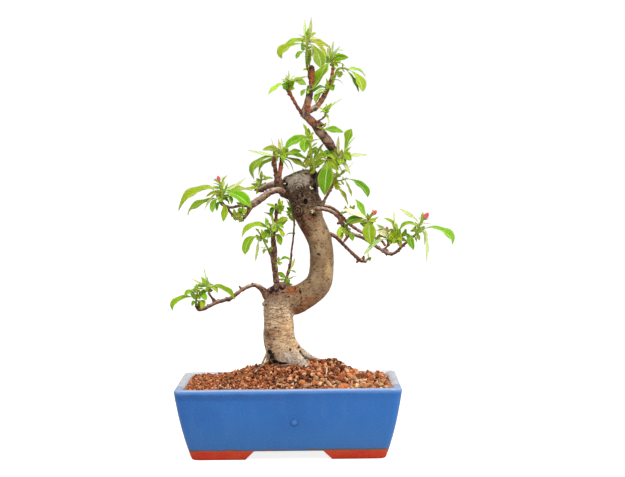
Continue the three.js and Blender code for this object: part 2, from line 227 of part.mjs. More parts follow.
    ['g',11.4,0,0.5,[[-101,-36.9,292.8],[-104.6,-23.9,293.7],[-108.1,-11,289.2]]],
    ['g',8.8,0,0.5,[[-101.1,-37.7,287.2],[-102.2,-45.6,287.3],[-103.2,-53.5,284.1]]],
    ['y',8.8,0,0.5,[[-101.2,-36.6,297.3],[-100,-26.6,297.5],[-98.8,-16.5,293.6]]],
  ] },
  shoot_upper_left_mid: { stems: [[[-75.5,-25.7,279.5,0.9],[-75.1,-26.5,281.7,0.9],[-77.6,-29,278.1,0.9],[-78.7,-29.5,275.1,0.8]]], leaves: [
    ['y',6.2,0,0.5,[[-77.8,-29.1,277.5],[-75.9,-31.3,273.4],[-79.2,-33.1,269.8]]],
    ['g',4.2,36,0.46,[[-77.3,-28.6,278.6],[-85.2,-32.6,283]]],
    ['g',7.7,0,0.5,[[-78.3,-29.3,276.2],[-77.2,-20.3,279.2],[-76,-11.3,278.6]]],
  ] },
  shoot_upper_left_low: { stems: [[[-78.5,-26,263.8,1.2],[-78.1,-27.5,262.9,1.2],[-80,-29.5,265.9,1],[-81.3,-30,269.3,0.8]]], leaves: [
    ['y',4.9,0,0.46,[[-80,-29.5,266.1],[-84.7,-35.5,271.3]]],
    ['y',4.5,0,0.46,[[-80.5,-29.7,267.5],[-81.1,-25.7,275.6]]],
    ['g',7.7,0,0.5,[[-80.4,-29.7,267],[-79.1,-20.7,269.6],[-77.8,-11.7,268.5]]],
  ] },
  shoot_upper_left_twig: { stems: [[[-86.9,-31,265.3,1],[-86.6,-32.5,264.2,1],[-85.7,-33,266.8,0.9]]], leaves: [
    ['y',4.7,0,0.46,[[-85.9,-32.9,266.5],[-87.7,-36.9,276.2]]],
  ] },
  shoot_lower_left_end: { stems: [[[-131.3,-30,166.8,1.2],[-131.6,-32,168.2,1.2],[-131.1,-32,174.1,1.2],[-130.3,-32.5,178.6,1.1],[-129.8,-33,184.2,0.9],[-130.1,-33,188.2,0.7]]], leaves: [
    ['g',14.8,66,0.6,[[-131.1,-32,174.1],[-135.8,-33.4,177.4],[-143.1,-34.7,176.9],[-150.8,-36.1,173.2],[-156.1,-37.1,168.5],[-157.4,-38,162.7]]],
    ['g',7.8,46,0.55,[[-130.3,-32.4,178],[-135.7,-35.2,182],[-139.1,-36.4,183.1],[-144.1,-38.4,178]]],
    ['y',7.2,36,0.55,[[-131.1,-32,173.7],[-123.9,-36.1,172.8],[-125.5,-40,164.2]]],
    ['g',6.7,0,0.55,[[-131,-32.1,174.6],[-127.8,-28.8,171],[-127.5,-25.1,162.8]]],
    ['g',7.1,35,0.6,[[-130.5,-32.4,177.5],[-123.2,-37.7,179.7],[-119.3,-41.4,174.3]]],
    ['g',10.3,0,0.5,[[-130.7,-32.2,176.3],[-129.3,-20.1,178.8],[-127.8,-8,176.4]]],
    ['g',10.7,0,0.5,[[-130.2,-32.6,179.7],[-133.3,-20.5,179.5],[-136.4,-8.5,174.2]]],
    ['y',7.7,0,0.5,[[-129.9,-32.9,183.1],[-128.2,-40,186.2],[-126.5,-47,186.2]]],
  ] },
  shoot_lower_left_mid: { stems: [[[-116.2,-28,179.3,1.1],[-116.9,-30.3,181.3,1.1],[-117.5,-30,183.9,1.2],[-118.5,-30,188.4,1.2],[-119.5,-30,192.4,0.8]]], leaves: [
    ['p',4.1,60,0.46,[[-119.3,-30,190.1],[-120.8,-31.1,199.8],[-122.5,-32,210.3]]],
    ['p',4.1,57,0.46,[[-119.1,-30,189],[-128.2,-27.1,192.9],[-136.8,-25,197.6]]],
    ['y',5.4,28,0.46,[[-119.1,-30,189],[-125.2,-34,200.2]]],
    ['g',6.9,42,0.46,[[-118.7,-30,188.4],[-126,-26,189.7],[-133.2,-23,187.8]]],
    ['o',5.8,0,0.46,[[-117.8,-30,185.1],[-123.3,-34.6,183.2],[-128.4,-38,179.8]]],
    ['y',6.4,53,0.46,[[-118.3,-30,186.7],[-111,-34,187.6],[-106.6,-37,182]]],
    ['g',15.1,68,0.55,[[-118.4,-30,187.9],[-110,-30.9,189.3],[-101.8,-31.7,185.8],[-94.9,-32.3,181.4],[-87.9,-33,174]]],
    ['g',10.2,0,0.5,[[-118.4,-30,187.9],[-117.4,-18,191.5],[-116.4,-6,190.3]]],
    ['g',8.8,0,0.5,[[-118,-30,186.2],[-119.5,-37.5,187.6],[-121,-45,186]]],
    ['y',9.1,0,0.5,[[-118.6,-30,189],[-121.5,-19,192.1],[-124.3,-8,190.5]]],
  ] },
  shoot_center_left: { stems: [[[-44.4,-13.9,244.5,1.2],[-45.7,-18,244.2,1.2],[-45.1,-18,251.3,1.2],[-44.4,-18,258.7,1]]], leaves: [
    ['g',17.5,68,0.5,[[-45.3,-18,250.2],[-51.2,-19.2,254],[-56.8,-20,255.8],[-62.4,-20.6,256.3],[-69.1,-21.4,254.8],[-74.8,-22.1,250.7],[-79.9,-23,243.4]]],
    ['g',8.5,52,0.6,[[-45.4,-18,248.5],[-50.8,-20.5,254.9],[-52.9,-23,265.9]]],
    ['p',7.3,0,0.46,[[-45.3,-18,247.4],[-43.3,-21.2,253.7],[-44.2,-24,261.7]]],
    ['y',7.7,62,0.46,[[-44.6,-18,257.6],[-47.4,-14.8,267.7],[-54.8,-13,271.3]]],
    ['g',8.1,41,0.6,[[-44.4,-18,258.1],[-36.4,-20.7,261.8],[-27,-23,264.6]]],
    ['g',8.4,63,0.46,[[-44.4,-18,258.1],[-35.5,-13.5,257.6],[-27.5,-10,262.6]]],
    ['g',7,45,0.46,[[-44.5,-18,257.6],[-38.7,-22.4,257.6],[-31.9,-27,253.2]]],
    ['y',8.6,60,0.6,[[-44.8,-18,255.3],[-37.6,-23.4,252.6],[-32.2,-29,243.4]]],
    ['y',8.4,0,0.6,[[-45.4,-18,245.7],[-38.8,-21.2,244.6],[-35.6,-25,234.2]]],
    ['g',5.8,14,0.46,[[-45.5,-18,246.8],[-55.1,-9,251.2]]],
    ['g',12.9,0,0.5,[[-45.1,-18,251.9],[-42.5,-3,253.1],[-40,12,248.1]]],
    ['g',12.1,0,0.5,[[-45.2,-18,250.2],[-48.3,-4,254.1],[-51.3,10,252.3]]],
    ['y',8.8,0,0.5,[[-44.9,-18,253.6],[-43.2,-25,253.3],[-41.4,-32,250.1]]],
  ] },
  shoot_center_left_side: { stems: [[[-47.9,-13,224.5,1.1],[-48.5,-14.6,225.3,1.1],[-50.9,-17,231,1.1],[-53.6,-20,236.8,1.1],[-56.8,-23,243.7,1.1],[-60.6,-25,249.8,0.9],[-63.7,-26,253.1,0.6]]], leaves: [
    ['g',13.8,43,0.58,[[-57.1,-23.1,244.1],[-63.5,-25.4,244],[-69.3,-27,241.8],[-73.2,-28.5,236.2],[-74.9,-29.9,230.1],[-75.9,-31.1,224.2]]],
    ['p',6,53,0.55,[[-56.8,-22.9,243.4],[-60.3,-21.3,240.3],[-62,-18.5,229],[-64.9,-15.9,216.1]]],
    ['y',6.9,47,0.46,[[-53.9,-20.3,237.4],[-56,-23.6,244.9],[-57.8,-26.3,253.2]]],
    ['g',5.3,32,0.46,[[-55.2,-21.5,240.3],[-51.7,-15.5,250.8]]],
    ['g',10.5,0,0.5,[[-56.7,-22.9,243.5],[-59.4,-10.9,243.7],[-62.1,1,239]]],
    ['g',8.8,0,0.5,[[-54.2,-20.5,238],[-52,-27.5,240.8],[-49.8,-34.5,240.7]]],
  ] },
  shoot_center_top: { stems: [[[-40.9,-12.6,270.9,1.1],[-37.9,-14.5,270.9,1.1],[-37.7,-15.5,275.5,1.1],[-37.2,-16,279.4,0.8]]], leaves: [
    ['y',7.2,60,0.46,[[-37.8,-15.1,273.8],[-44.7,-19.7,277.9],[-52.2,-23.1,281.1]]],
    ['d',7,59,0.6,[[-37.9,-14.6,271.5],[-44.2,-19.2,275.9],[-45.1,-22.6,268]]],
    ['g',9.4,0,0.5,[[-37.7,-15.4,275],[-36.1,-4.4,275.5],[-34.5,6.5,271.6]]],
    ['y',7.7,0,0.5,[[-37.7,-15.5,275.5],[-39.1,-21.5,278.6],[-40.6,-27.5,279.1]]],
  ] },
  shoot_center_small: { stems: [[[-43.7,-11.2,214.2,0.9],[-41.2,-15,213.9,0.9],[-38.9,-15.8,215.6,0.9]]], leaves: [
    ['g',7,66,0.46,[[-39.3,-15.7,215.6],[-35.3,-17.6,218],[-31.3,-18.8,219.2],[-27.9,-19.8,218.6],[-25,-20.7,216.6]]],
  ] },
  shoot_center_right_low: { stems: [[[-36.6,3,179.8,0.8],[-31.9,3.8,188.3,0.8],[-29.6,5.6,196.7,0.8]]], leaves: [
    ['y',5.9,0,0.55,[[-29.7,5.5,196.2],[-34.1,3.5,198.6],[-39.7,1.5,202.8]]],
    ['y',4.5,53,0.46,[[-29.7,5.4,195.6],[-34.2,7,193.3],[-40,8.4,194.2]]],
    ['d',4,47,0.46,[[-31.9,3.8,188.5],[-22.8,-0.2,187.9]]],
  ] },
  leaf_center_right: { stems: [[[-28.4,10.4,201.9,0.8],[-27.5,8.5,202.3,0.8],[-25.8,8.5,205.1,0.7]]], leaves: [
    ['p',3.3,11,0.46,[[-26.2,8.5,204.2],[-23.2,7,210.3],[-20,5.5,218.9]]],
  ] },
  shoot_center_right_top: { stems: [[[-21.8,19.6,245.3,0.7],[-21.5,17.5,245.4,0.7],[-21.1,17.8,253.4,0.7],[-21.9,18.3,262.6,0.7],[-23.7,19,269.5,0.7]]], leaves: [
    ['y',4.4,0,0.46,[[-22.9,18.7,266.6],[-25.8,17.2,266.5],[-21.9,14.7,260.4]]],
    ['g',5.3,0,0.46,[[-23.5,18.9,268.7],[-24.9,16.3,273],[-29.6,13.9,276.2]]],
    ['g',7.3,60,0.46,[[-23.6,18.9,268.9],[-26,20.7,277.6],[-29.7,21.9,284.8]]],
    ['g',9.7,0,0.5,[[-23.3,18.8,267.8],[-25.7,29.9,272.2],[-28.1,41,272]]],
  ] },
  shoot_right_inner: { stems: [[[39.7,-27.3,249,1.1],[39,-30,248.8,1.1],[37.3,-32.5,249.8,1],[36.2,-33.5,250.1,1]]], leaves: [
    ['y',6.5,22,0.6,[[36.5,-33.2,249.8],[31.4,-35.8,252.2],[29.4,-39.2,242.8]]],
    ['g',6.2,19,0.6,[[38.2,-30.9,248.9],[43.1,-34.7,245.3],[44.8,-37.9,238.7]]],
    ['g',9.9,0,0.5,[[37.8,-31.7,249.5],[39.4,-20.3,253.3],[40.9,-9,252.4]]],
    ['g',8.8,0,0.5,[[37.8,-31.7,249.5],[35.4,-37.3,250.2],[33,-43,248.5]]],
  ] },
  shoot_right_upper: { stems: [[[31.1,17.8,268,1],[32.1,15,267.6,1],[36.4,14,269.5,1],[41,12,270.8,0.9],[45.5,10,271.6,0.7]]], leaves: [
    ['g',8.8,0,0.5,[[41.4,11.8,270.9],[44,21.9,271.5],[46.5,32,267.9]]],
    ['g',7.9,0,0.5,[[37.5,13.5,269.8],[39.4,22.5,273.4],[41.4,31.5,273.2]]],
  ] },
  shoot_right_big: { stems: [[[58.1,-32,240.9,1.2],[59,-34.6,243.2,1.2],[60.3,-35,250.8,1.2],[61.5,-35.5,258.6,1.2],[62.3,-36,263.6,1.2]], [[62.3,-36,262.5,1],[64.5,-37,265.3,1.3],[67.1,-38,268.9,1.8]]], leaves: [
    ['y',11,43,0.52,[[62.3,-36,263.9],[59,-33.8,267],[56.1,-32,270.7],[53.5,-30,276.5],[51.1,-28.5,281],[48.2,-27,285.3]]],
    ['w',9.6,47,0.5,[[62.3,-36,263.4],[53.9,-39.4,267.4],[44.3,-42.3,271.2],[34,-45,274.7]]],
    ['d',10.4,37,0.62,[[61.8,-35.8,262],[54.4,-38.1,263.6],[45.4,-40.1,262.8],[37.9,-41.8,258.5]]],
    ['y',8.6,64,0.46,[[61.6,-35.6,259.7],[51.2,-30.8,259.2],[41.9,-27.6,256.9]]],
    ['y',17.3,0,0.44,[[62.2,-35.9,262.5],[63.1,-37.3,259.8],[63.4,-41.2,247.6],[65.3,-44.9,233.6]]],
    ['y',4.9,54,0.46,[[62.3,-35.9,262.3],[71.3,-43.9,259.5]]],
    ['y',5.4,52,0.46,[[62.5,-36.2,263.1],[68,-33.6,261.9],[74,-31.2,265.4]]],
    ['g',11.3,0,0.5,[[61.7,-35.6,259.7],[59.5,-22.7,259.6],[57.4,-9.7,254]]],
    ['g',12.2,0,0.5,[[61.5,-35.5,258.6],[64.8,-21.5,260],[68.2,-7.5,255.5]]],
    ['y',8.8,0,0.5,[[61.8,-35.7,260.3],[64,-25.7,264.1],[66.3,-15.7,263.7]]],
  ] },
  shoot_right_mid: { stems: [[[84.5,-36,238.8,1.3],[85,-38.7,239.9,1.3],[88.8,-39,240.8,1.2],[93.3,-39.5,242.2,1.2],[97.7,-40,242.7,0.9]], [[85.2,-38.8,240,0.9],[84.2,-39,243.9,0.9],[83.6,-39,248.6,1]]], leaves: [
    ['w',7.2,0,0.5,[[84.7,-38.9,241],[79.8,-42.8,246.9],[72.2,-45.9,249]]],
    ['o',7.3,53,0.46,[[84.9,-38.7,240],[76.7,-34.7,243.3],[69.3,-31.7,238]]],
    ['p',7,43,0.5,[[85,-38.7,239.8],[78.7,-40.2,240.1],[73.1,-41.3,238],[68,-42.4,234.2],[62.3,-43.5,228.7],[56.6,-44.7,222.9]]],
    ['y',5.6,0,0.46,[[93.3,-39.5,242.1],[83.9,-46.5,247.2]]],
    ['y',5.6,0,0.46,[[93.6,-39.5,242.3],[88.4,-32.5,252.3]]],
    ['y',5.8,15,0.46,[[96.6,-39.9,242.6],[103,-36.1,246.4],[105.2,-33.9,251.7]]],
    ['o',5.8,0,0.46,[[95.8,-39.8,242.4],[98.1,-45.8,231.3]]],
    ['g',5.4,45,0.46,[[95.5,-39.7,242.4],[107.2,-35.7,245.8]]],
    ['y',11.4,68,0.46,[[93.6,-39.5,242.4],[93.3,-41.2,251.7],[88.8,-42.3,258.5],[79.7,-43.5,264.2]]],
    ['p',4.6,39,0.46,[[93.3,-39.5,242.4],[91.3,-36.6,253.9],[86.2,-34.5,263.6]]],
    ['p',6.2,68,0.46,[[92.7,-39.5,242.4],[91.1,-41.1,257.3],[90.9,-42.5,273.3]]],
    ['y',5.1,23,0.46,[[91,-39.2,241.4],[92.9,-48.2,250.3]]],
    ['p',5.8,0,0.46,[[84.4,-39,243.4],[79.1,-31.9,251.6],[71.8,-27,257.1]]],
    ['d',6.2,57,0.46,[[84.2,-39,244.5],[75.6,-35.2,250.3],[71.2,-34,250.1]]],
    ['g',11.3,0,0.5,[[93.6,-39.5,242.2],[96.3,-26.5,247],[99,-13.5,246.3]]],
    ['g',11.2,0,0.5,[[89.9,-39.1,241.1],[88.2,-26.1,245.6],[86.6,-13,244.7]]],
    ['y',8.8,0,0.5,[[95.5,-39.8,242.4],[97.4,-46.8,242.4],[99.2,-53.8,239.3]]],
    ['g',11.2,0,0.5,[[93.8,-39.6,242.2],[92.7,-26.5,242.5],[91.6,-13.5,237.3]]],
  ] },
  shoot_right_tip: { stems: [[[104.4,-43,236.4,1.2],[105.5,-45.3,237.5,1.2],[109.7,-45.5,241.1,1.3],[114.2,-46,245,1.3],[116.4,-47,249.4,1.3],[118.6,-47.5,254.4,1.3],[120.8,-48,258.9,1.4],[123.3,-48.5,263.5,2.2]]], leaves: [
    ['g',11.2,67,0.5,[[118.4,-47.4,253.3],[113.2,-45.2,256.1],[107.7,-43.7,257.3],[103.1,-42.5,255.9],[99.4,-41.4,252.9],[96.4,-40.4,249.4]]],
    ['g',9.1,0,0.42,[[113.9,-46,244.6],[110.5,-47.9,244],[108.6,-49.6,240.4],[109.7,-51.5,235.2],[111.2,-53,231.4],[111.6,-54,228.3]]],
    ['d',6.9,54,0.46,[[111.9,-45.8,243.1],[102.7,-41.7,246.1],[103.4,-39.8,252.4]]],
    ['p',6.1,36,0.6,[[118.6,-47.5,254.2],[117.2,-46.4,259.8],[112.5,-45.5,264.4],[105,-44.5,269.1],[97.6,-43.5,274.3]]],
    ['p',2.9,0,0.46,[[116.7,-47.1,250],[117.7,-44.7,254.4],[114.2,-42.1,260.2]]],
    ['g',19.7,67,0.66,[[118,-47.4,253],[124.6,-49,252.3],[131.6,-50.4,253.4],[138.1,-51.5,251.8],[144.6,-52.6,248.7],[150.3,-53.7,244.6],[153.9,-54.5,240.2],[154.9,-55.4,234.3]]],
    ['p',8.8,66,0.5,[[118.3,-47.4,253.6],[125.1,-50.2,250],[125.8,-53.8,236.2],[126.1,-58.4,215.4]]],
    ['p',4.6,48,0.46,[[117.8,-47.3,252.4],[123.9,-44.7,247.6],[124.9,-41.3,233.2]]],
    ['g',10.2,0,0.5,[[115.6,-46.6,247.8],[114.1,-34.7,251.5],[112.7,-22.7,250.4]]],
    ['g',10.6,0,0.5,[[118,-47.4,253],[120.9,-35.4,252.8],[123.9,-23.4,247.5]]],
    ['y',8.8,0,0.5,[[114.7,-46.2,246.1],[116.3,-52.7,248.2],[117.9,-59.2,247.6]]],
  ] },
  leaf_lower_right: { stems: [[[61.1,43.5,212.1,1.1],[63.3,43.5,213.8,1.1],[64.9,43.5,214.3,0.9]]], leaves: [
  ] },
};
const BUDS = {
  flower_bud_left: [[-103.8,-36.5,306.9],[-105,-37.5,313.8],4.7],
  flower_bud_inner: [[67.8,-38.4,268],[72.3,-39.4,273.3],5.1],
  flower_bud_small: [[83.6,-39.2,249.8],[82.9,-40.2,255.2],3.6],
  flower_bud_right: [[124.3,-48.7,263.4],[129.7,-49.7,270.5],6.2],
};

const wasm = await Module();
wasm.setup();
const { Manifold, Mesh } = wasm;

// ---- closed triangle solids ----
function toManifold(pos, tri) {
  const m = new Mesh({ numProp: 3, vertProperties: new Float32Array(pos), triVerts: new Uint32Array(tri) });
  m.merge();
  return new Manifold(m);
}
function ringsToSolid(rings, startTip, endTip) {
  // rings: arrays of Vector3 with equal count, counter-clockwise seen against the travel direction
  const pos = [], tri = [];
  const k = rings[0].length;
  for (const r of rings) for (const v of r) pos.push(v.x, v.y, v.z);
  const n = rings.length;
  for (let i = 0; i < n - 1; i++) for (let j = 0; j < k; j++) {
    const a = i * k + j, b = i * k + (j + 1) % k, c = a + k, d = b + k;
    tri.push(a, b, d, a, d, c);
  }
  let cap = pos.length / 3;
  if (startTip) {
    pos.push(startTip.x, startTip.y, startTip.z);
    for (let j = 0; j < k; j++) tri.push(cap, (j + 1) % k, j);
    cap++;
  } else for (let j = 1; j < k - 1; j++) tri.push(0, j + 1, j);
  const e = (n - 1) * k;
  if (endTip) {
    pos.push(endTip.x, endTip.y, endTip.z);
    for (let j = 0; j < k; j++) tri.push(cap, e + j, e + (j + 1) % k);
  } else for (let j = 1; j < k - 1; j++) tri.push(e, e + j, e + j + 1);
  return toManifold(pos, tri);
}
const V = (a) => new THREE.Vector3(a[0], a[1], a[2]);

function tube(line, sides, grow = 0) {
  const P = line.map(V), R = line.map((a) => a[3] + grow);
  const n = P.length;
  const T = P.map((p, i) => {
    const a = P[Math.max(0, i - 1)], b = P[Math.min(n - 1, i + 1)];
    const d1 = p.clone().sub(a), d2 = b.clone().sub(p);
    if (d1.lengthSq() > 0) d1.normalize();
    if (d2.lengthSq() > 0) d2.normalize();
    return d1.add(d2).normalize();
  });
  if (grow > 0) {
    P[0].addScaledVector(T[0], -grow);
    P[n - 1].addScaledVector(T[n - 1], grow);
  }
  let u = new THREE.Vector3(0, 1, 0);
  u.addScaledVector(T[0], -u.dot(T[0]));
  if (u.lengthSq() < 1e-3) u.set(1, 0, 0).addScaledVector(T[0], -T[0].x);
  u.normalize();
  const rings = [];
  for (let i = 0; i < n; i++) {
    if (i > 0) {
      const q = new THREE.Quaternion().setFromUnitVectors(T[i - 1], T[i]);
      u.applyQuaternion(q).addScaledVector(T[i], -u.dot(T[i])).normalize();
    }
    const v = T[i].clone().cross(u);
    const ring = [];
    for (let j = 0; j < sides; j++) {
      const a = 2 * Math.PI * j / sides;
      ring.push(P[i].clone().addScaledVector(u, R[i] * Math.cos(a)).addScaledVector(v, R[i] * Math.sin(a)));
    }
    rings.push(ring);
  }
  return ringsToSolid(rings);
}

function leaf([kind, width, roll, widest, line], grow = 0) {
  const curve = new THREE.CatmullRomCurve3(line.map(V), false, 'centripetal');
  const L = curve.getLength();
  const t0 = 0.12;
  const q = Math.log(0.5) / Math.log(widest);
  const f = (s) => Math.pow(Math.max(0, Math.sin(Math.PI * Math.pow(s, q))), 0.85);
  let s = [widest];
  if (L > 17) s = [widest * 0.42, widest + 0.5 * (1 - widest)];
  if (L > 27) s = [widest * 0.35, widest, widest + 0.6 * (1 - widest)];
  const st = [0, ...s.map((a) => t0 + a * (1 - t0)), 1];
  const view = new THREE.Vector3(0, -1, 0);
  const P = st.map((u) => curve.getPointAt(u));
  const T = st.map((u, i) => {
    if (i === 0) return P[1].clone().sub(P[0]).normalize();
    if (i === st.length - 1) return P[i].clone().sub(P[i - 1]).normalize();
    return curve.getTangentAt(u);
  });
  // the blade faces forward in the middle, turned by roll so that its upper side looks up
  const mid = Math.floor(st.length / 2);
  let s0 = T[mid].clone().cross(view);
  if (s0.lengthSq() < 0.02) s0 = T[mid].clone().cross(new THREE.Vector3(0, 0, 1));
  s0.normalize();
  const n0 = s0.clone().cross(T[mid]);
  const up = (sign) => n0.z * Math.cos(roll * Math.PI / 180) - sign * s0.z * Math.sin(roll * Math.PI / 180);
  const rho = (up(1) >= up(-1) ? 1 : -1) * roll * Math.PI / 180;
  const S = [];
  S[mid] = s0.clone().multiplyScalar(Math.cos(rho)).addScaledVector(n0, Math.sin(rho));
  const carry = (from, to) => { S[to] = S[from].clone().addScaledVector(T[to], -S[from].dot(T[to])).normalize(); };
  for (let i = mid - 1; i >= 0; i--) carry(i + 1, i);
  for (let i = mid + 1; i < st.length; i++) carry(i - 1, i);
  const rings = [];
  for (let i = 0; i < st.length - 1; i++) {
    const N = S[i].clone().cross(T[i]);
    if (i === 0) {
      const h = 0.55 + grow;
      const p = P[0].clone().addScaledVector(T[0], -grow);
      rings.push([p.clone().addScaledVector(S[i], h), p.clone().addScaledVector(N, h), p.clone().addScaledVector(S[i], -h), p.clone().addScaledVector(N, -h)]);
      continue;
    }
    const w = width / 2 * f((st[i] - t0) / (1 - t0)) + grow * 1.6;
    const e = Math.max(w, 0.6);
    const p = P[i];
    const hz = LEAF_T / 2 + grow * 1.3;
    rings.push([
      p.clone().addScaledVector(S[i], e * Math.cos(FOLD)).addScaledVector(N, e * Math.sin(FOLD)),
      p.clone().addScaledVector(N, hz),
      p.clone().addScaledVector(S[i], -e * Math.cos(FOLD)).addScaledVector(N, e * Math.sin(FOLD)),
      p.clone().addScaledVector(N, -hz),
    ]);
  }
  const tip = P[P.length - 1].clone().addScaledVector(T[T.length - 1], grow * 2);
  // the rings run S, N, -S, -N; T = N x S, so they are clockwise about T and are reversed
  return ringsToSolid(rings.map((r) => r.slice().reverse()), null, tip);
}

function bud([base, tip, width], grow = 0) {
  const a = V(base), b = V(tip);
  const t = b.clone().sub(a);
  const L = t.length(); t.normalize();
  let u = new THREE.Vector3(0, 1, 0).addScaledVector(t, -t.y).normalize();
  const v = t.clone().cross(u);
  const prof = [[-0.02, 0.45], [0.18, 0.86], [0.45, 1.0], [0.72, 0.74], [0.92, 0.32]];
  const rings = prof.map(([s, r]) => {
    const ring = [];
    for (let j = 0; j < 8; j++) {
      const g = 2 * Math.PI * j / 8, R = width / 2 * r + grow;
      ring.push(a.clone().addScaledVector(t, s * L).addScaledVector(u, R * Math.cos(g)).addScaledVector(v, R * Math.sin(g)));
    }
    return ring;
  });
  return ringsToSolid(rings, a.clone().addScaledVector(t, -0.06 * L - grow), b.clone().addScaledVector(t, grow));
}

// rounded rectangle ring, counter-clockwise seen from +Z
const CORNER_SEG = 5;
function rectRing(hx, hy, r, z, cx = POT_X, cy = 0) {
  const ring = [];
  for (const [sx, sy, a0] of [[1, 1, 0], [-1, 1, 90], [-1, -1, 180], [1, -1, 270]]) {
    for (let i = 0; i <= CORNER_SEG; i++) {
      const a = (a0 + 90 * i / CORNER_SEG) * Math.PI / 180;
      ring.push(new THREE.Vector3(cx + sx * (hx - r) + r * Math.cos(a), cy + sy * (hy - r) + r * Math.sin(a), z));
    }
  }
  return ring;
}
const taper = (z) => z / POT_TOP;
const swell = (z) => BULGE * Math.sin(Math.PI * Math.min(1, Math.max(0, taper(z)))) ** 0.8;
const outerX = (z) => BASE_HX + (RIM_HX - BASE_HX) * taper(z) + swell(z);
const outerY = (z) => BASE_HY + (RIM_HY - BASE_HY) * taper(z) + swell(z);
const outerR = (z) => BASE_R + (RIM_R - BASE_R) * taper(z);
function outerRing(z, inset = 0) {
  return rectRing(outerX(z) - inset, outerY(z) - inset, Math.max(1.5, outerR(z) - inset), z);
}
function box(x0, x1, y0, y1, z0, z1, topInset = [0, 0]) {
  const q = (z, i) => [[x0 + i[0], y0 + i[1]], [x1 - i[0], y0 + i[1]], [x1 - i[0], y1 - i[1]], [x0 + i[0], y1 - i[1]]].map(([x, y]) => new THREE.Vector3(x, y, z));
  return ringsToSolid([q(z0, [0, 0]), q(z1, topInset)]);
}
function cyl(x, y, r, z0, z1, seg) {
  const q = (z) => Array.from({ length: seg }, (_, j) => new THREE.Vector3(x + r * Math.cos(2 * Math.PI * j / seg), y + r * Math.sin(2 * Math.PI * j / seg), z));
  return ringsToSolid([q(z0), q(z1)]);
}

function makePot() {
  // outside with a rounded rim, standing as one block down to the table
  const body = ringsToSolid([
    outerRing(0, 1.2), outerRing(1.4), outerRing(5), outerRing(FLOOR_Z), outerRing(20), outerRing(32), outerRing(45), outerRing(58), outerRing(68), outerRing(POT_TOP - 3.2), outerRing(POT_TOP - 1.1, 0.5), outerRing(POT_TOP, 2.6),
    outerRing(POT_TOP, WALL - 2.6), outerRing(POT_TOP - 1.1, WALL - 0.5), outerRing(POT_TOP - 3.2, WALL),
    outerRing(62, WALL), outerRing(46, WALL), outerRing(32, WALL), outerRing(FLOOR_Z + FLOOR_T + 4, WALL), outerRing(FLOOR_Z + FLOOR_T + 0.6, WALL + 2.6), outerRing(FLOOR_Z + FLOOR_T, WALL + 6.5),
  ]);
  // space under the floor: everything but the four L-shaped feet
  const big = 400;
  const halfX = BASE_HX - FOOT_LX + 2, halfY = BASE_HY - FOOT_LY + 2;
  const gapLong = wedge(halfX, big, 'x');
  const gapShort = wedge(halfY, big, 'y');
  const inner = box(POT_X - BASE_HX + FOOT_W, POT_X + BASE_HX - FOOT_W, -BASE_HY + FOOT_W, BASE_HY - FOOT_W, -1, FLOOR_Z, [-1.2, -1.2]);
  let pot = body.subtract(gapLong).subtract(gapShort).subtract(inner);
  for (const s of [-1, 1]) pot = pot.subtract(cyl(POT_X + s * DRAIN_X, 0, DRAIN_R, FLOOR_Z - 1, FLOOR_Z + FLOOR_T + 1, 24));
  return pot;
}
// gap between two feet: wide at the table, closing upwards along the sloped foot ends
function wedge(half, big, axis) {
  const zs = [-1, FLOOR_Z];
  const q = (z) => {
    const h = half + FOOT_SLOPE * (FLOOR_Z - z) / FLOOR_Z;
    return axis === 'x'
      ? [[POT_X - h, -big], [POT_X + h, -big], [POT_X + h, big], [POT_X - h, big]]
      : [[POT_X - big, -h], [POT_X + big, -h], [POT_X + big, h], [POT_X - big, h]];
  };
  return ringsToSolid(zs.map((z) => q(z).map(([x, y]) => new THREE.Vector3(x, y, z))));
}

function makeScreen(side) {
  const z0 = FLOOR_Z + FLOOR_T + 0.3, cx = POT_X + side * DRAIN_X, h = SCREEN / 2;
  let m = box(cx - h, cx + h, -h, h, z0, z0 + SCREEN_T);
  const n = 4, pitch = SCREEN / (n + 0.4);
  for (let i = 0; i < n; i++) for (let j = 0; j < n; j++) {
    const x = cx + (i - (n - 1) / 2) * pitch, y = (j - (n - 1) / 2) * pitch, a = SCREEN_HOLE / 2;
    m = m.subtract(box(x - a, x + a, y - a, y + a, z0 - 1, z0 + SCREEN_T + 1));
  }
  return m;
}

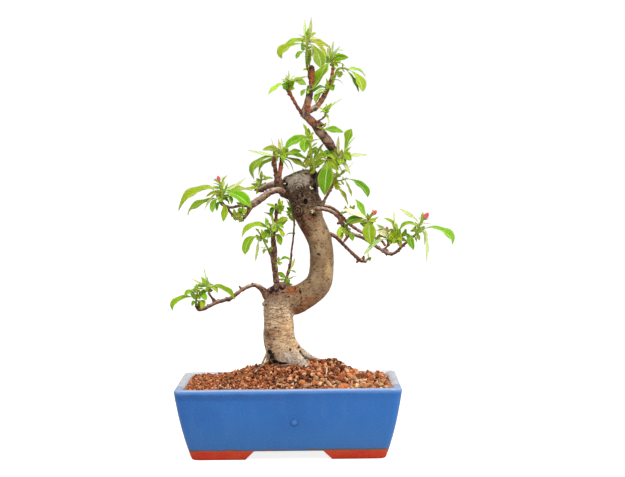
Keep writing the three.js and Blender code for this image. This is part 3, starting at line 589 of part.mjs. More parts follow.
function soilTop(x, y) {
  const d = ((x - SOIL_CX) / (x < SOIL_CX ? 92 : 58)) ** 2 + ((y - SOIL_CY) / 62) ** 2;
  const lump = 5.5 * Math.exp(-(((x - 24) / 11) ** 2) - ((y - 18) / 16) ** 2);
  const front = 2.0 / (1 + Math.exp((y + 40) / 14));
  const grain = 0.5 * Math.sin(x * 0.31 + 1.3) * Math.cos(y * 0.27) + 0.35 * Math.sin(x * 0.13 - y * 0.19);
  return SOIL_BASE + front + SOIL_RISE * Math.exp(-(d ** 1.8)) + lump + grain;
}
function makeSoil(trunkGrown) {
  const z0 = FLOOR_Z + FLOOR_T + 0.3;
  const ringAt = (z, inset) => outerRing(z, WALL + 0.35 + inset);
  const lower = [ringAt(z0, 7.0), ringAt(z0 + 0.6, 2.8), ringAt(z0 + 4, 0.15), ringAt(32, 0.15), ringAt(46, 0.15), ringAt(62, 0.15), ringAt(73, 0.15)];
  const edge = ringAt(73, 0.15);
  const rings = lower.slice();
  const N = 9;
  for (let i = 0; i <= N - 1; i++) {
    const s = 1 - i / N - (i === 0 ? 0.004 : 0);
    rings.push(edge.map((v) => {
      const x = SOIL_CX + (v.x - SOIL_CX) * s, y = SOIL_CY + (v.y - SOIL_CY) * s;
      const drop = i === 0 ? 1.4 : 0;
      return new THREE.Vector3(x, y, soilTop(x, y) - drop);
    }));
  }
  let soil = ringsToSolid(rings, null, new THREE.Vector3(SOIL_CX, SOIL_CY, soilTop(SOIL_CX, SOIL_CY)));
  soil = soil.subtract(trunkGrown);
  for (const s of [-1, 1]) {
    const h = SCREEN / 2 + 0.35, cx = POT_X + s * DRAIN_X;
    soil = soil.subtract(box(cx - h, cx + h, -h, h, z0 - 1, z0 + SCREEN_T + 0.35));
  }
  return soil;
}

// ---- assembly ----
const MATERIALS = {
  pot: [0x386aa5, 0.25], soil: [0x9b5a38, 0.95], screen: [0x2a2d2e, 0.7], trunk: [0xa98a6b, 0.85],
  twig: [0x6a4a3a, 0.75], leaf: [0x8fb52a, 0.5], young: [0xb5c463, 0.5], bud: [0xd9545c, 0.5],
};
const union = (list) => list.reduce((a, b) => a.add(b));
// vertices closer than the grid become one, so that no sliver or pin-hole is left by a join
function tidy(m, grid) {
  const src = m.getMesh(), k = src.numProp, seen = new Map(), pos = [], map = [];
  for (let i = 0; i < src.vertProperties.length / k; i++) {
    const p = [0, 1, 2].map((c) => Math.round(src.vertProperties[i * k + c] / grid));
    const key = p.join(' ');
    if (!seen.has(key)) { seen.set(key, pos.length / 3); pos.push(p[0] * grid, p[1] * grid, p[2] * grid); }
    map.push(seen.get(key));
  }
  const tri = [];
  for (let i = 0; i < src.triVerts.length; i += 3) {
    const [a, b, c] = [0, 1, 2].map((j) => map[src.triVerts[i + j]]);
    if (a !== b && b !== c && c !== a) tri.push(a, b, c);
  }
  try {
    return new Manifold(new Mesh({ numProp: 3, vertProperties: new Float32Array(pos), triVerts: new Uint32Array(tri) }));
  } catch (e) {
    return null;
  }
}
// every edge of a closed surface is used by two triangles, also where two vertices share a place
function closed(m, grid) {
  const src = m.getMesh(), k = src.numProp, t = src.triVerts, id = new Map(), at = [], count = new Map();
  for (let i = 0; i < src.vertProperties.length / k; i++) {
    const key = [0, 1, 2].map((c) => Math.round(src.vertProperties[i * k + c] / grid)).join(' ');
    if (!id.has(key)) id.set(key, id.size);
    at.push(id.get(key));
  }
  for (let i = 0; i < t.length; i += 3) for (let j = 0; j < 3; j++) {
    const a = at[t[i + j]], b = at[t[i + (j + 1) % 3]], key = a < b ? a + ' ' + b : b + ' ' + a;
    if (a !== b) count.set(key, (count.get(key) || 0) + 1);
  }
  for (const c of count.values()) if (c !== 2) return false;
  return true;
}
function biggest(m) {
  let best = null, bv = -1;
  for (const p of m.decompose()) { const v = p.volume(); if (v > bv) { bv = v; best = p; } }
  return best;
}
function largest(m0) {
  for (const grid of [0.01, 0.004, 0.03, 0.007, 0.05, 0.02, 0.015, 0.002, 0.04, 0.06, 0.08]) {
    const m = tidy(m0, grid);
    if (!m) continue;
    const b = tidy(biggest(m), grid);
    if (b && b.decompose().length === 1 && closed(b, 0.001) && closed(b, 0.0001)) return b;
  }
  throw new Error('a piece could not be closed');
}
const solids = [];   // name, manifold, material
const grown = [];    // grown copies that later pieces keep clear of
function overlaps(a, b) {
  for (let k = 0; k < 3; k++) if (a.min[k] > b.max[k] || b.min[k] > a.max[k]) return false;
  return true;
}
function place(name, make, material) {
  let m = make(0);
  /*DBG const v0 = m.volume();*/
  const bb = m.boundingBox();
  for (const g of grown) if (overlaps(bb, g.boundingBox())) m = m.subtract(g);
  m = largest(m);
  /*DBG console.log(name.padEnd(26), 'vol', v0.toFixed(0), 'kept', (100 * m.volume() / v0).toFixed(1) + '%', 'tris', m.numTri());*/
  grown.push(make(GAP));
  solids.push([name, m, material]);
}

const trunkAt = (grow) => union(Object.entries(TRUNK).map(([k, line]) => tube(line, k === 'trunk_low' || k === 'limb' ? 14 : 7, grow)));
const trunk = trunkAt(0), trunkGrown = trunkAt(GAP);
solids.push(['pot', makePot(), 'pot']);
solids.push(['drain_screen_left', makeScreen(-1), 'screen']);
solids.push(['drain_screen_right', makeScreen(1), 'screen']);
solids.push(['soil', largest(makeSoil(trunkGrown)), 'soil']);
solids.push(['trunk', largest(trunk), 'trunk']);
grown.push(trunkGrown);
for (const [name, lines] of Object.entries(WOOD)) {
  place(name, (g) => union(lines.map((l) => tube(l, 7, g))), 'twig');
}
for (const [name, s] of Object.entries(SHOOTS)) {
  place(name, (g) => union([...s.stems.map((l) => tube(l, 5, g)), ...s.leaves.map((l) => leaf(l, g))]), 'leaf');
}
for (const [name, b] of Object.entries(BUDS)) place(name, (g) => bud(b, g), 'bud');

const group = new THREE.Group();
group.name = 'chinese_quince_bonsai';
for (const [name, m, material] of solids) {
  const mesh = m.getMesh();
  const geo = new THREE.BufferGeometry();
  const stride = mesh.numProp, nv = mesh.vertProperties.length / stride;
  const pos = new Float32Array(nv * 3);
  for (let i = 0; i < nv; i++) for (let k = 0; k < 3; k++) pos[i * 3 + k] = mesh.vertProperties[i * stride + k];
  geo.setAttribute('position', new THREE.BufferAttribute(pos, 3));
  geo.setIndex(new THREE.BufferAttribute(new Uint32Array(mesh.triVerts), 1));
  geo.computeVertexNormals();
  const [color, roughness] = MATERIALS[material];
  const mat = new THREE.MeshStandardMaterial({ color, roughness, metalness: 0, flatShading: true });
  mat.name = material;
  const node = new THREE.Mesh(geo, mat);
  node.name = name;
  group.add(node);
}
export default group;
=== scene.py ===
# Chinese quince bonsai in a glazed oblong pot. Lengths in the tables are millimetres.
import math
import bpy
import numpy as np
from mathutils import Matrix, Vector


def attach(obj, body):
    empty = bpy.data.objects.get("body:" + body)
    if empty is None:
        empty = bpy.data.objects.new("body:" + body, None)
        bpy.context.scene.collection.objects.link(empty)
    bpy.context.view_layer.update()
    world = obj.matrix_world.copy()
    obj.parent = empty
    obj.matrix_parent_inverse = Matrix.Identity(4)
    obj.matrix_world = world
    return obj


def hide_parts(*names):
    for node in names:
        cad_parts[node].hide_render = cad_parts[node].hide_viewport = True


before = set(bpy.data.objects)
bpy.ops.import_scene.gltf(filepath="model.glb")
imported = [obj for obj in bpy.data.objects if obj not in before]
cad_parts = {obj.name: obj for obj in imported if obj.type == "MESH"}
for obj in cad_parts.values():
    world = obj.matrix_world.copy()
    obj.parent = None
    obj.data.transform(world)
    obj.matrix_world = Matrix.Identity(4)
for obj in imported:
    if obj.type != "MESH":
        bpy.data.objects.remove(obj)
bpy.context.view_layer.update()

MM = 0.001

# traced lines of the trunk and roots: x, y, z, radius
TRUNK = {
    'trunk_low': [(-27.7, 4, 50.1, 8), (-27.1, 4, 58.2, 11.4), (-26.4, 4, 66.2, 13.7), (-26.3, 3.5, 76.6, 16), (-26.4, 3, 88.1, 17.4), (-27.2, 2.5, 97.3, 17.4), (-29.6, 1.5, 104.9, 17.7), (-34.8, 0.5, 113.1, 19.3), (-38.3, 0, 122.9, 18.2), (-39.4, 0, 130.9, 17.7), (-39.5, 0, 141.2, 17.1), (-39.9, 0, 150.3, 16.6), (-40.4, 0, 159.5, 16.3), (-40.1, 0, 167.5, 15.5), (-38.3, 1, 174.2, 14.1), (-36.6, 3, 179.8, 11.4)],
    'limb': [(-39, 5, 170.6, 9.1), (-31, 6, 169.8, 15.4), (-21.9, 8, 170.2, 16.7), (-12.7, 8, 173.5, 15.8), (-3.5, 8, 179.2, 15.2), (4, 7, 186, 14.9), (8.4, 6, 195.2, 14.4), (9.8, 4, 205.6, 13.8), (10.2, 2, 215.9, 13.6), (9.9, 0, 227.4, 13.4), (8, 0, 238.8, 13.7), (3.6, 0, 250.3, 14.1), (-2.1, 0, 261.7, 15.1), (-5.6, 0, 273.1, 16.8), (-8.3, 0, 284.6, 17.3), (-11.4, 0, 294.8, 18), (-13.8, 0, 302.8, 18.2), (-15.1, 0, 308.5, 18), (-16, 0, 312.2, 16.6), (-16.5, 0, 314.3, 13.7)],
    'root_right': [(-21.9, 6, 114.1, 6.3), (-17.4, 10, 112.2, 4.9), (-11.2, 18, 107.6, 4.1), (-4.3, 26, 102.3, 3.7), (3.7, 33, 98.2, 3.4), (10.7, 38, 94.2, 2.9), (18.8, 42, 88.1, 2.2)],
    'root_front': [(-22.4, -6, 111.9, 9.3), (-16.4, -11, 105.5, 7.8), (-12.5, -14, 99.7, 6.5), (-9.5, -17, 92.4, 4.8)],
    'root_left': [(-44.3, 8, 113, 5.2), (-49.6, 13, 104.5, 4.4), (-52.8, 19, 95.9, 3.9), (-55.3, 24, 87.3, 3.5)],
    'root_thin_a': [(-51.5, -2, 114.1, 2.3), (-54, -4, 109.2, 1.6), (-56.3, -5, 104.1, 1.3), (-58.7, -6, 99.1, 1.2), (-61, -7, 94.1, 1.1)],
    'root_thin_b': [(-45.6, -14, 107.8, 1.5), (-50.7, -16, 104.6, 1.2), (-56.3, -20, 100.5, 1.1), (-61.9, -25, 96, 1.1), (-66.3, -28, 91.9, 1)],
    'root_back': [(-32.9, 10, 110.4, 9.2), (-34.3, 18, 100.4, 7.5), (-35.7, 26, 88, 5.8)],
}
# wood that leaves the trunk, each with its side twigs
WOOD = {
    'apex_leader': [[(-6.9, 7, 287.9, 5.7), (-2.9, 9, 295.2, 5.4), (1.8, 10, 302, 5.3), (8.2, 9, 309.4, 4.9), (15.1, 6, 317.9, 4.6), (20.2, 1, 326.9, 4.1), (22.8, -1, 336.5, 3.8), (23.1, -2, 342.2, 4), (19.9, -3, 348.6, 4.8), (14.3, -3, 356.2, 5), (9, -3, 363, 4.8), (4.2, -2, 369.6, 4.1), (-2, -1, 376.5, 4), (-7.5, 0, 382.2, 4.1), (-5.8, 0, 388.4, 4.1), (-4.1, 0, 393.5, 3.6), (-3.2, 1, 398.1, 3.3), (-1.7, 1.5, 403.8, 3.5), (-1.1, 2, 409.4, 3.5), (0.8, 2.5, 415.1, 3.1), (0.9, 3, 420.8, 3), (0.2, 3.5, 426.5, 3.5), (1, 4, 434.7, 3.3)],
        [(7.6, -2.5, 372.9, 1.8), (12.7, -5, 370.2, 2)]],
    'apex_fork_right': [[(-3.6, 1, 386.2, 3.4), (3.3, 4, 388.5, 3.1), (9, 9, 393.9, 2.7), (13.7, 14, 400.7, 2.7), (16.6, 17, 406.5, 2.6), (19.6, 19, 412.3, 2.2), (23.1, 22, 421.6, 1.9), (24.9, 24, 429.6, 1.8), (25.6, 25, 435.4, 1.8)]],
    'apex_fork_left': [[(-9.3, -2, 381.6, 2.3), (-14.9, -6, 388.9, 1.8), (-19.3, -11, 396.6, 1.7), (-23.1, -15, 403.8, 1.9), (-25.5, -17.5, 408.8, 2.6), (-26, -18, 411.3, 3.4)]],
    'twig_leader': [[(5.3, -3.5, 372.4, 1.5), (9.9, -7, 375, 1.1), (13.9, -10, 377.4, 0.9), (16.1, -12, 379.9, 0.9)]],
    'stub_upper_left': [[(-31.9, 2, 297.3, 4.8), (-35.2, 0, 299.6, 4.8), (-37.6, -1, 303.6, 4.4), (-38.3, -1, 308.8, 4.1), (-38.7, -1, 312.2, 4)],
        [(-39, -2, 311, 2.7), (-41, -4, 317.3, 2.3), (-42, -6.5, 325.8, 2.1), (-42.2, -8, 333.7, 2.1)],
        [(-37.9, -0.5, 311, 2.6), (-36.2, 0.5, 316.7, 2.3), (-35, 2.5, 324.6, 2.2), (-34.2, 4, 330.9, 2.2)]],
    'branch_upper_left': [[(-27.3, 0, 292.1, 5.1), (-31.8, -4, 293.4, 4.3), (-37.4, -8, 296, 3.2), (-41.9, -10, 295.8, 3.2), (-47.5, -12, 293.9, 3.3), (-53.2, -14, 290, 3.4), (-58.8, -17, 285.9, 3.5), (-64.4, -20, 282.3, 3.5), (-68.5, -22.5, 279, 3.1), (-71.1, -24, 274.9, 2.5), (-72.8, -24.5, 271, 2), (-75.6, -25, 267.1, 1.7), (-78.5, -26, 263.8, 1.4)],
        [(-70.2, -23.5, 277.9, 1.8), (-74.4, -25, 279.5, 1.5), (-81, -29, 279.3, 1.4), (-89.8, -33, 277.8, 1.5), (-96.4, -35, 278.7, 1.8), (-100.2, -36, 281.6, 1.9), (-102.1, -36, 284.6, 1.7)],
        [(-96.4, -35, 277.6, 1.4), (-93.1, -34, 274, 1.3), (-89.9, -32.5, 269.9, 1.3), (-86.9, -31, 265.3, 1.4)]],
    'branch_back_left': [[(-28.5, 9, 300.6, 4.1), (-33.1, 13, 302.4, 3.7), (-38.9, 18, 303, 3.4), (-46, 26, 302.1, 3.3), (-53.1, 34, 299.8, 3.1), (-59.7, 42, 296.1, 2.8)]],
    'twig_up_right': [[(8.9, 3, 276.9, 2.3), (12.2, 6, 280.6, 2.2), (14.8, 10, 285.3, 1.5), (18.9, 16, 292.1, 1.5), (22.5, 22, 298.9, 1.7)]],
    'branch_right': [[(-2.5, -11, 273.9, 2.9), (3.2, -15.5, 274.9, 2.3), (8.8, -17, 274.9, 2), (16.7, -19, 273.6, 2), (23.4, -21, 270.4, 2), (29, -23, 265.9, 2.1), (32.5, -24, 260.9, 2.1), (35, -25.5, 255.2, 2.2), (38.3, -27, 250, 2.1), (42.7, -28, 247, 1.9), (50, -30, 244.6, 1.8), (57.7, -32, 241.2, 1.7), (64.4, -33, 237.2, 1.7), (71, -35, 232.4, 1.7), (77.6, -36, 228.2, 1.9), (84.2, -38, 224.4, 1.8), (89.8, -39, 224.4, 1.7), (95.3, -41, 227.7, 1.6), (99.8, -42, 232.4, 1.4), (104.4, -43, 236.4, 1.3)],
        [(78.8, -36, 227.7, 1.3), (83.3, -36, 232.1, 1.1), (85.3, -36, 235.4, 1.8), (84.5, -36, 238.8, 1.9)],
        [(40.5, -28, 247.9, 1.8), (39.3, -30, 243.5, 1.7), (35.6, -32, 238.3, 1.2)],
        [(32.3, -24, 260.3, 1.4), (28.9, -25, 258.3, 1.5)],
        [(82.6, -37, 225.4, 1.3), (83.7, -37.5, 227.9, 1.2)]],
    'branch_right_back': [[(6.6, 4, 275.8, 2.7), (12.4, 9, 277.4, 1.9), (20.4, 13, 276.1, 1.7), (27.3, 16, 271.9, 1.7), (33.6, 19, 265.5, 1.7), (38.7, 22, 259.6, 1.8), (45.7, 26, 253.7, 1.8), (52.6, 30, 248.8, 1.7), (58.4, 31, 245.3, 1.6), (66.5, 33, 241.7, 1.5), (75.8, 35, 238.4, 1.5), (80.5, 36, 235.4, 1.4), (83.9, 37, 230.6, 1.4)]],
    'branch_lower_right': [[(13.2, 6, 247.2, 2.7), (20.1, 12, 245.2, 2.2), (25.8, 16, 242.4, 2.1), (33.9, 23, 234.3, 1.8), (43.2, 31, 224.6, 1.7), (50.2, 37, 217.9, 1.9), (54.9, 40.5, 213.7, 2), (61.1, 43.5, 212.1, 2.2)],
        [(57.6, 42, 213.2, 1.4), (59.2, 41, 217.4, 1.3)],
        [(53.7, 40, 214.3, 1.4), (51.4, 39, 211.4, 1.4)]],
    'twig_center_left': [[(-41, -5, 183.8, 3.4), (-41.4, -7, 190.8, 3.1), (-42.3, -9, 200, 3), (-43.3, -10.5, 210.3, 3.1), (-44.3, -12, 219.4, 3.4), (-43.4, -13, 227.4, 3.3), (-44.1, -13.5, 235.9, 2.7), (-44.4, -14, 245.6, 2.4), (-42.8, -14, 255.7, 1.9), (-41, -13, 265.3, 1.7), (-40.7, -12, 280, 1.7)],
        [(-45.5, -12, 221.7, 1.6), (-47.9, -13, 224.5, 1.4)]],
    'twig_center_right': [[(-33.7, 5, 185.4, 2.3), (-32, 7, 189.8, 1.9), (-29.6, 9, 197.1, 1.7), (-26.9, 12, 207.2, 1.5), (-25.1, 14, 216.3, 1.3), (-24.1, 17, 227.1, 1.1), (-22.4, 19, 238.5, 1), (-21.4, 20, 249.9, 1), (-20.8, 21, 261.4, 1), (-23.2, 22, 270.6, 0.9)]],
    'branch_lower_left': [[(-47.9, -4, 171.8, 5.2), (-52.6, -6, 176.6, 4.3), (-56.8, -8, 182.8, 3.1), (-61.2, -10, 186.6, 2.4), (-66.8, -12, 189.1, 2.1), (-72.4, -14, 187.9, 1.9), (-79.2, -17, 184.7, 1.9), (-87, -20, 179.3, 1.9), (-92.6, -22, 175.2, 2.1), (-99.3, -24, 173.2, 1.9), (-108.2, -26, 170.8, 1.8), (-116.1, -28, 167.2, 1.8), (-122.8, -29, 164.1, 1.9), (-128.4, -30, 163.1, 1.8), (-131.3, -30, 166.8, 1.5)],
        [(-109.4, -26, 171.7, 1.4), (-113.4, -27, 175.5, 1.4), (-116.2, -28, 179.3, 1.2)],
        [(-79.4, -17, 184.5, 1.1), (-80.8, -17, 184.6, 1.1), (-83.1, -17, 187.8, 1)],
        [(-93.2, -22, 174.7, 1.5), (-94.9, -22, 172.2, 1.2)]],
}
# shoots: stems, then leaves as kind, width, roll, widest point, middle line
SHOOTS = {
    'shoot_apex_top': ([[(0.4, 3.6, 428.4, 1.4), (-0.2, 0.5, 428.6, 1.4), (-3.1, 0.5, 432.6, 1.4), (-4.7, 0, 443.4, 1.4), (-4.2, -1, 454.6, 1.4), (-3.2, -1, 464.8, 1.6), (-2.1, -1, 471.5, 1)]], [
        ('p', 5.2, 39, 0.46, [(-3, -1, 466.2), (-1, -1, 465.9), (0.5, -2.7, 474.8), (1.3, -5, 491.5)]),
        ('p', 4.8, 45, 0.46, [(-3.1, -1, 465.7), (-4.4, -1, 465.9), (-6.3, 1.1, 476.3), (-6.1, 3, 489.4)]),
        ('y', 5, 24, 0.46, [(-2.4, -1, 467), (-2.3, -1, 479.4)]),
        ('y', 4.4, 39, 0.46, [(-2.8, -1, 467.2), (-1.6, -1, 467), (1.1, 4, 476.4)]),
        ('s', 1.2, 0, 0.46, [(-3.1, -1, 465.7), (-4.4, -1, 465.9), (-9.5, -3.8, 469.7), (-15.1, -6, 473.5)]),
        ('s', 1.2, 0, 0.46, [(-2.8, -1, 467.1), (-2.2, -1, 467), (1.8, -3.1, 470.2), (7, -5, 473.4)]),
        ('s', 1.5, 0, 0.46, [(-3.3, -1, 464.3), (-2.2, -1, 464.2), (2.4, -2.4, 466.5), (10.3, -4, 466.7)]),
        ('g', 12.8, 61, 0.46, [(-3.3, -1, 463.6), (-4.1, -1, 463.6), (-11.8, 3.2, 465.9), (-21, 6.8, 464.6), (-32.5, 11, 460.2)]),
        ('h', 16.3, 49, 0.7, [(-4.2, -1, 459.1), (-11.8, -3.9, 461.5), (-24.9, -7.5, 457.2), (-31.6, -9.6, 450.9), (-32.3, -11, 444.4)]),
        ('g', 7.1, 48, 0.6, [(-4.6, -0.7, 451.2), (-9.1, -3, 452.5), (-13.1, -4.6, 450.5), (-16.2, -6.7, 444.5)]),
        ('g', 2.7, 0, 0.46, [(-3.2, 0.5, 433), (-3.7, 0.5, 433), (-5.9, -1, 433.1), (-8.8, -2.5, 431.9)]),
        ('p', 3.7, 48, 0.46, [(-3, -1, 462.5), (0.8, -2.9, 458.9), (1.9, -6, 446.3)]),
        ('d', 10, 57, 0.55, [(-4, -1, 457.4), (-0.4, -3.1, 453.3), (-1.1, -8, 434.9)]),
        ('o', 15.9, 0, 0.66, [(-3, -1, 461.4), (1.7, -3.5, 460.6), (6.2, -6.4, 454.1), (10.6, -10, 443.7), (11.6, -13, 433.4)]),
        ('o', 12, 65, 0.46, [(-3, -1, 463.1), (5.2, 0.1, 462.5), (19.2, 2, 446.1)]),
        ('u', 12.4, 57, 0.5, [(-2.8, -1, 464.4), (5.2, 5.1, 463.6), (13.1, 9.8, 461.6), (22.6, 15, 457.7)]),
        ('g', 11.7, 0, 0.5, [(-3.9, -1, 458), (-7.4, 12.5, 460.6), (-10.9, 26, 457.6)]),
        ('g', 10.9, 0, 0.5, [(-4.3, -0.9, 453.5), (-1.3, 11.6, 454), (1.6, 24, 449.3)]),
        ('y', 9.8, 0, 0.5, [(-3.3, -1, 463.7), (-2.4, 10.5, 470.4), (-1.6, 22, 472.1)]),
    ]),
    'shoot_apex_right': ([[(25.5, 24.9, 434.7, 1.6), (25.8, 24, 434.8, 1.6), (25.1, 24, 439.9, 1.7), (23.9, 23, 444.5, 1.6), (24, 22, 450.1, 1)]], [
        ('p', 3.9, 29, 0.46, [(24, 22.6, 446.7), (25.2, 21, 455.8), (26.6, 19.6, 465.9)]),
        ('p', 3.4, 0, 0.46, [(23.7, 22.6, 446.7), (21.8, 25.3, 453.8), (21.9, 27.6, 462.5)]),
        ('p', 3.6, 37, 0.46, [(24.2, 22.8, 445.6), (29.1, 19.8, 453.4), (33.8, 17.8, 460)]),
        ('p', 3.5, 50, 0.46, [(24.2, 22.4, 447.9), (30.4, 24.3, 455.4), (38.1, 25.4, 455.6)]),
        ('p', 3.2, 26, 0.46, [(23.6, 23, 444.5), (20, 20.4, 450.1), (19.4, 18, 458.5)]),
        ('y', 5.5, 33, 0.46, [(23.9, 23, 444.5), (23.5, 23, 458.2)]),
        ('y', 6, 55, 0.46, [(24.2, 23, 444.5), (29.9, 28, 457.3)]),
        ('g', 9.2, 6, 0.46, [(24.3, 23.1, 443.9), (27.4, 20.8, 445.9), (33.6, 17.9, 447.1), (43.5, 14.1, 446.6)]),
        ('d', 6.2, 43, 0.46, [(24.3, 23.4, 442.8), (17.6, 18.4, 446), (11.6, 15.4, 445.8)]),
        ('g', 6.1, 42, 0.46, [(24.5, 23.6, 441.6), (18.8, 28, 443.1), (13, 31.6, 440.5)]),
        ('y', 5.3, 43, 0.46, [(24.5, 23.6, 441.6), (35, 31.6, 443.4)]),
        ('g', 4.6, 32, 0.46, [(24.8, 23.9, 440.5), (27.9, 20.6, 439.7), (31.6, 16.9, 436)]),
        ('s', 1.5, 0, 0.46, [(24.9, 24, 439.9), (29, 21, 440.9), (34.7, 18.1, 440.6), (40.3, 15, 436.3)]),
        ('g', 20.9, 51, 0.5, [(24.6, 23.6, 441.8), (24.5, 23, 441.6), (20.8, 19, 440.8), (17, 14, 436), (11, 5, 424.2), (2, -5, 409.1)]),
        ('g', 11, 0, 0.5, [(23.9, 23, 444.5), (20.9, 35.5, 449.6), (17.9, 48, 449.6)]),
        ('g', 10.9, 0, 0.5, [(24.2, 23.2, 443.4), (27.7, 35.6, 447.3), (31.2, 48, 445.9)]),
        ('d', 9.5, 0, 0.5, [(24.5, 23.5, 442.3), (25.2, 35.2, 443), (25.9, 47, 439)]),
    ]),
    'shoot_apex_hang': ([[(16.5, 16.9, 406.3, 1.5), (18.1, 14, 406.9, 1.5), (20.6, 14, 411.5, 1.4), (24.1, 13, 416.5, 1.4), (27.6, 11, 425.5, 1.4), (31.1, 9, 433, 1.4), (35.6, 7, 434.3, 1.1), (41.3, 5, 433, 1.1)]], [
        ('d', 12.4, 66, 0.46, [(40.7, 5.2, 433), (45.1, 2.2, 425.4), (49.5, -0.1, 417.3), (54.1, -2.8, 406.4)]),
        ('g', 14.6, 43, 0.66, [(40.7, 5.2, 433), (46.8, 1.2, 429.9), (54.6, -3.7, 420.5), (58.6, -8.8, 406.4)]),
        ('u', 10.6, 68, 0.46, [(40.5, 5.3, 433), (49.3, 9.2, 432.8), (57.3, 11.9, 430.4), (62.6, 14.3, 424.7)]),
        ('s', 1.1, 0, 0.46, [(28.4, 10.7, 426.6), (33.3, 8.6, 427.6), (39.3, 6.7, 426.3)]),
        ('s', 1.1, 0, 0.46, [(26.1, 11.9, 421.6), (32.7, 8.9, 420.4), (36.8, 6.9, 415.7)]),
        ('y', 5.2, 45, 0.46, [(20.4, 14, 411.1), (17.3, 11, 423.3)]),
        ('y', 4.6, 0, 0.46, [(19.8, 14, 410.3), (16.6, 7, 416.3)]),
        ('p', 4.2, 13, 0.46, [(19.5, 14, 409.2), (12.6, 8.9, 409.3), (3.2, 3, 403.4)]),
        ('d', 9.4, 68, 0.46, [(20.1, 14, 411.1), (12.1, 7.5, 412.6), (2.3, 1, 406.8)]),
        ('y', 9.4, 51, 0.55, [(18.9, 14, 408.1), (12.6, 10.1, 406.3), (8.5, 7.8, 403.4), (5.4, 4, 394.4)]),
        ('g', 8.9, 0, 0.5, [(29.4, 10, 429.4), (32.1, 20, 429.4), (34.8, 30, 425.3)]),
        ('g', 8.8, 0, 0.5, [(22.5, 13.5, 414.2), (23.8, 3.7, 413), (25, -6, 407.7)]),
        ('y', 7.7, 0, 0.5, [(25.9, 12, 421), (24.1, 3, 424.7), (22.3, -6, 424.6)]),
    ]),
    'shoot_apex_spur': ([[(-1.1, 1.9, 408.9, 1.1), (-1.6, -1.8, 409.3, 1.1), (-4.5, -3, 410.7, 1)]], [
        ('g', 5.3, 25, 0.55, [(-4.1, -2.9, 410.6), (-7.5, -5, 408.9), (-11.4, -7.9, 402.3)]),
        ('y', 3.4, 0, 0.46, [(-2.8, -2.3, 409.7), (-3.9, -5.3, 404.6)]),
    ]),
    'shoot_apex_left': ([[(-25.9, -18, 410.4, 2.2), (-25.2, -18, 414.4, 1.9), (-24.6, -18, 418.9, 1.1)]], [
        ('y', 10.8, 61, 0.5, [(-25.8, -18, 413.9), (-33, -20.9, 414.9), (-40.3, -23.5, 410), (-47.9, -26, 403.9)]),
        ('g', 9, 0, 0.46, [(-25.5, -18, 413), (-24.1, -18, 412.7), (-32.9, -30, 414.7)]),
        ('g', 9, 0, 0.46, [(-25.8, -18, 412.7), (-18, -30, 418.2)]),
        ('y', 5.6, 0, 0.46, [(-26.4, -18, 411.6), (-17.9, -26, 409.8)]),
        ('g', 5.6, 0, 0.46, [(-25.2, -18, 411.9), (-32.1, -10, 412)]),
        ('u', 9.3, 67, 0.46, [(-24.6, -18, 417.2), (-14.5, -13.5, 420.7), (-4, -10, 424.1)]),
        ('u', 8.4, 34, 0.6, [(-24.6, -18, 417), (-18.4, -16.8, 419.4), (-12.2, -16, 418.3), (-5.2, -15, 414.7)]),
        ('p', 2.6, 31, 0.46, [(-24.6, -18, 417.8), (-25, -21, 430.5)]),
        ('p', 2.3, 0, 0.46, [(-24.6, -18, 417.8), (-18.1, -15, 425.4)]),
        ('p', 2.5, 0, 0.46, [(-24.9, -18, 417.2), (-33.2, -22, 421.6)]),
        ('p', 3.4, 0, 0.46, [(-24.9, -18, 418.3), (-27.9, -14, 425.5)]),
        ('g', 10.2, 0, 0.5, [(-25.2, -18, 414.4), (-23.7, -6, 416.3), (-22.1, 6, 413.3)]),
        ('g', 9.7, 0, 0.5, [(-24.9, -18, 416.6), (-27.7, -7, 420.9), (-30.5, 4, 420.6)]),
        ('y', 7.7, 0, 0.5, [(-25.1, -18, 415.5), (-23.6, -26, 418.4), (-22.2, -34, 418.1)]),
    ]),
    'shoot_leader_twig': ([[(16.1, -12, 379.9, 0.9), (16.2, -13, 380.9, 0.9), (17.3, -13, 383.8, 0.9), (17.9, -13, 387.7, 0.7)]], [
        ('y', 5.4, 37, 0.46, [(17.2, -13, 382.7), (23.2, -17, 393.9)]),
        ('p', 4.3, 63, 0.46, [(17.8, -13, 385.5), (25.8, -15.3, 392.6), (34.5, -17, 398.1)]),
        ('y', 4.8, 59, 0.46, [(17.3, -13, 383.2), (8.1, -18, 389)]),
        ('y', 3.9, 45, 0.46, [(16.9, -13, 382.1), (12.8, -9.7, 384.7), (9.8, -8, 383.5)]),
        ('y', 4.1, 35, 0.46, [(17.4, -13, 383.8), (17.2, -9, 393.3)]),
        ('y', 3.4, 0, 0.46, [(16.5, -13, 381.2), (19.7, -16, 377.7)]),
        ('p', 3.1, 49, 0.46, [(16.6, -13, 381.2), (18.9, -14.9, 375.8), (18.8, -17, 366.8)]),
        ('g', 6.6, 0, 0.5, [(17.3, -13, 383.8), (18.6, -20, 385), (20, -27, 383.3)]),
        ('g', 6.6, 0, 0.5, [(17.5, -13, 384.9), (15.5, -6, 387.8), (13.5, 1, 387.7)]),
    ]),
    'leaf_leader': ([[(8.1, -2.8, 364.3, 1.4), (9.2, -6.5, 365.7, 1.4), (12.9, -9, 365.3, 1)]], [
        ('g', 10.9, 45, 0.46, [(12.1, -8.4, 365.4), (12, -8.4, 364.8), (22.2, -12.4, 364), (36.2, -16.4, 360.6)]),
    ]),
    'shoot_leader_right': ([[(22.9, -1.4, 338.9, 1.7), (23.5, -5.3, 338.1, 1.7), (28.1, -8, 332.6, 1.7), (32.6, -11, 330.1, 1.4), (34.9, -12, 333.7, 1.1)]], [
        ('p', 5.1, 37, 0.46, [(30.1, -9.4, 331.3), (30.7, -6.4, 356.7)]),
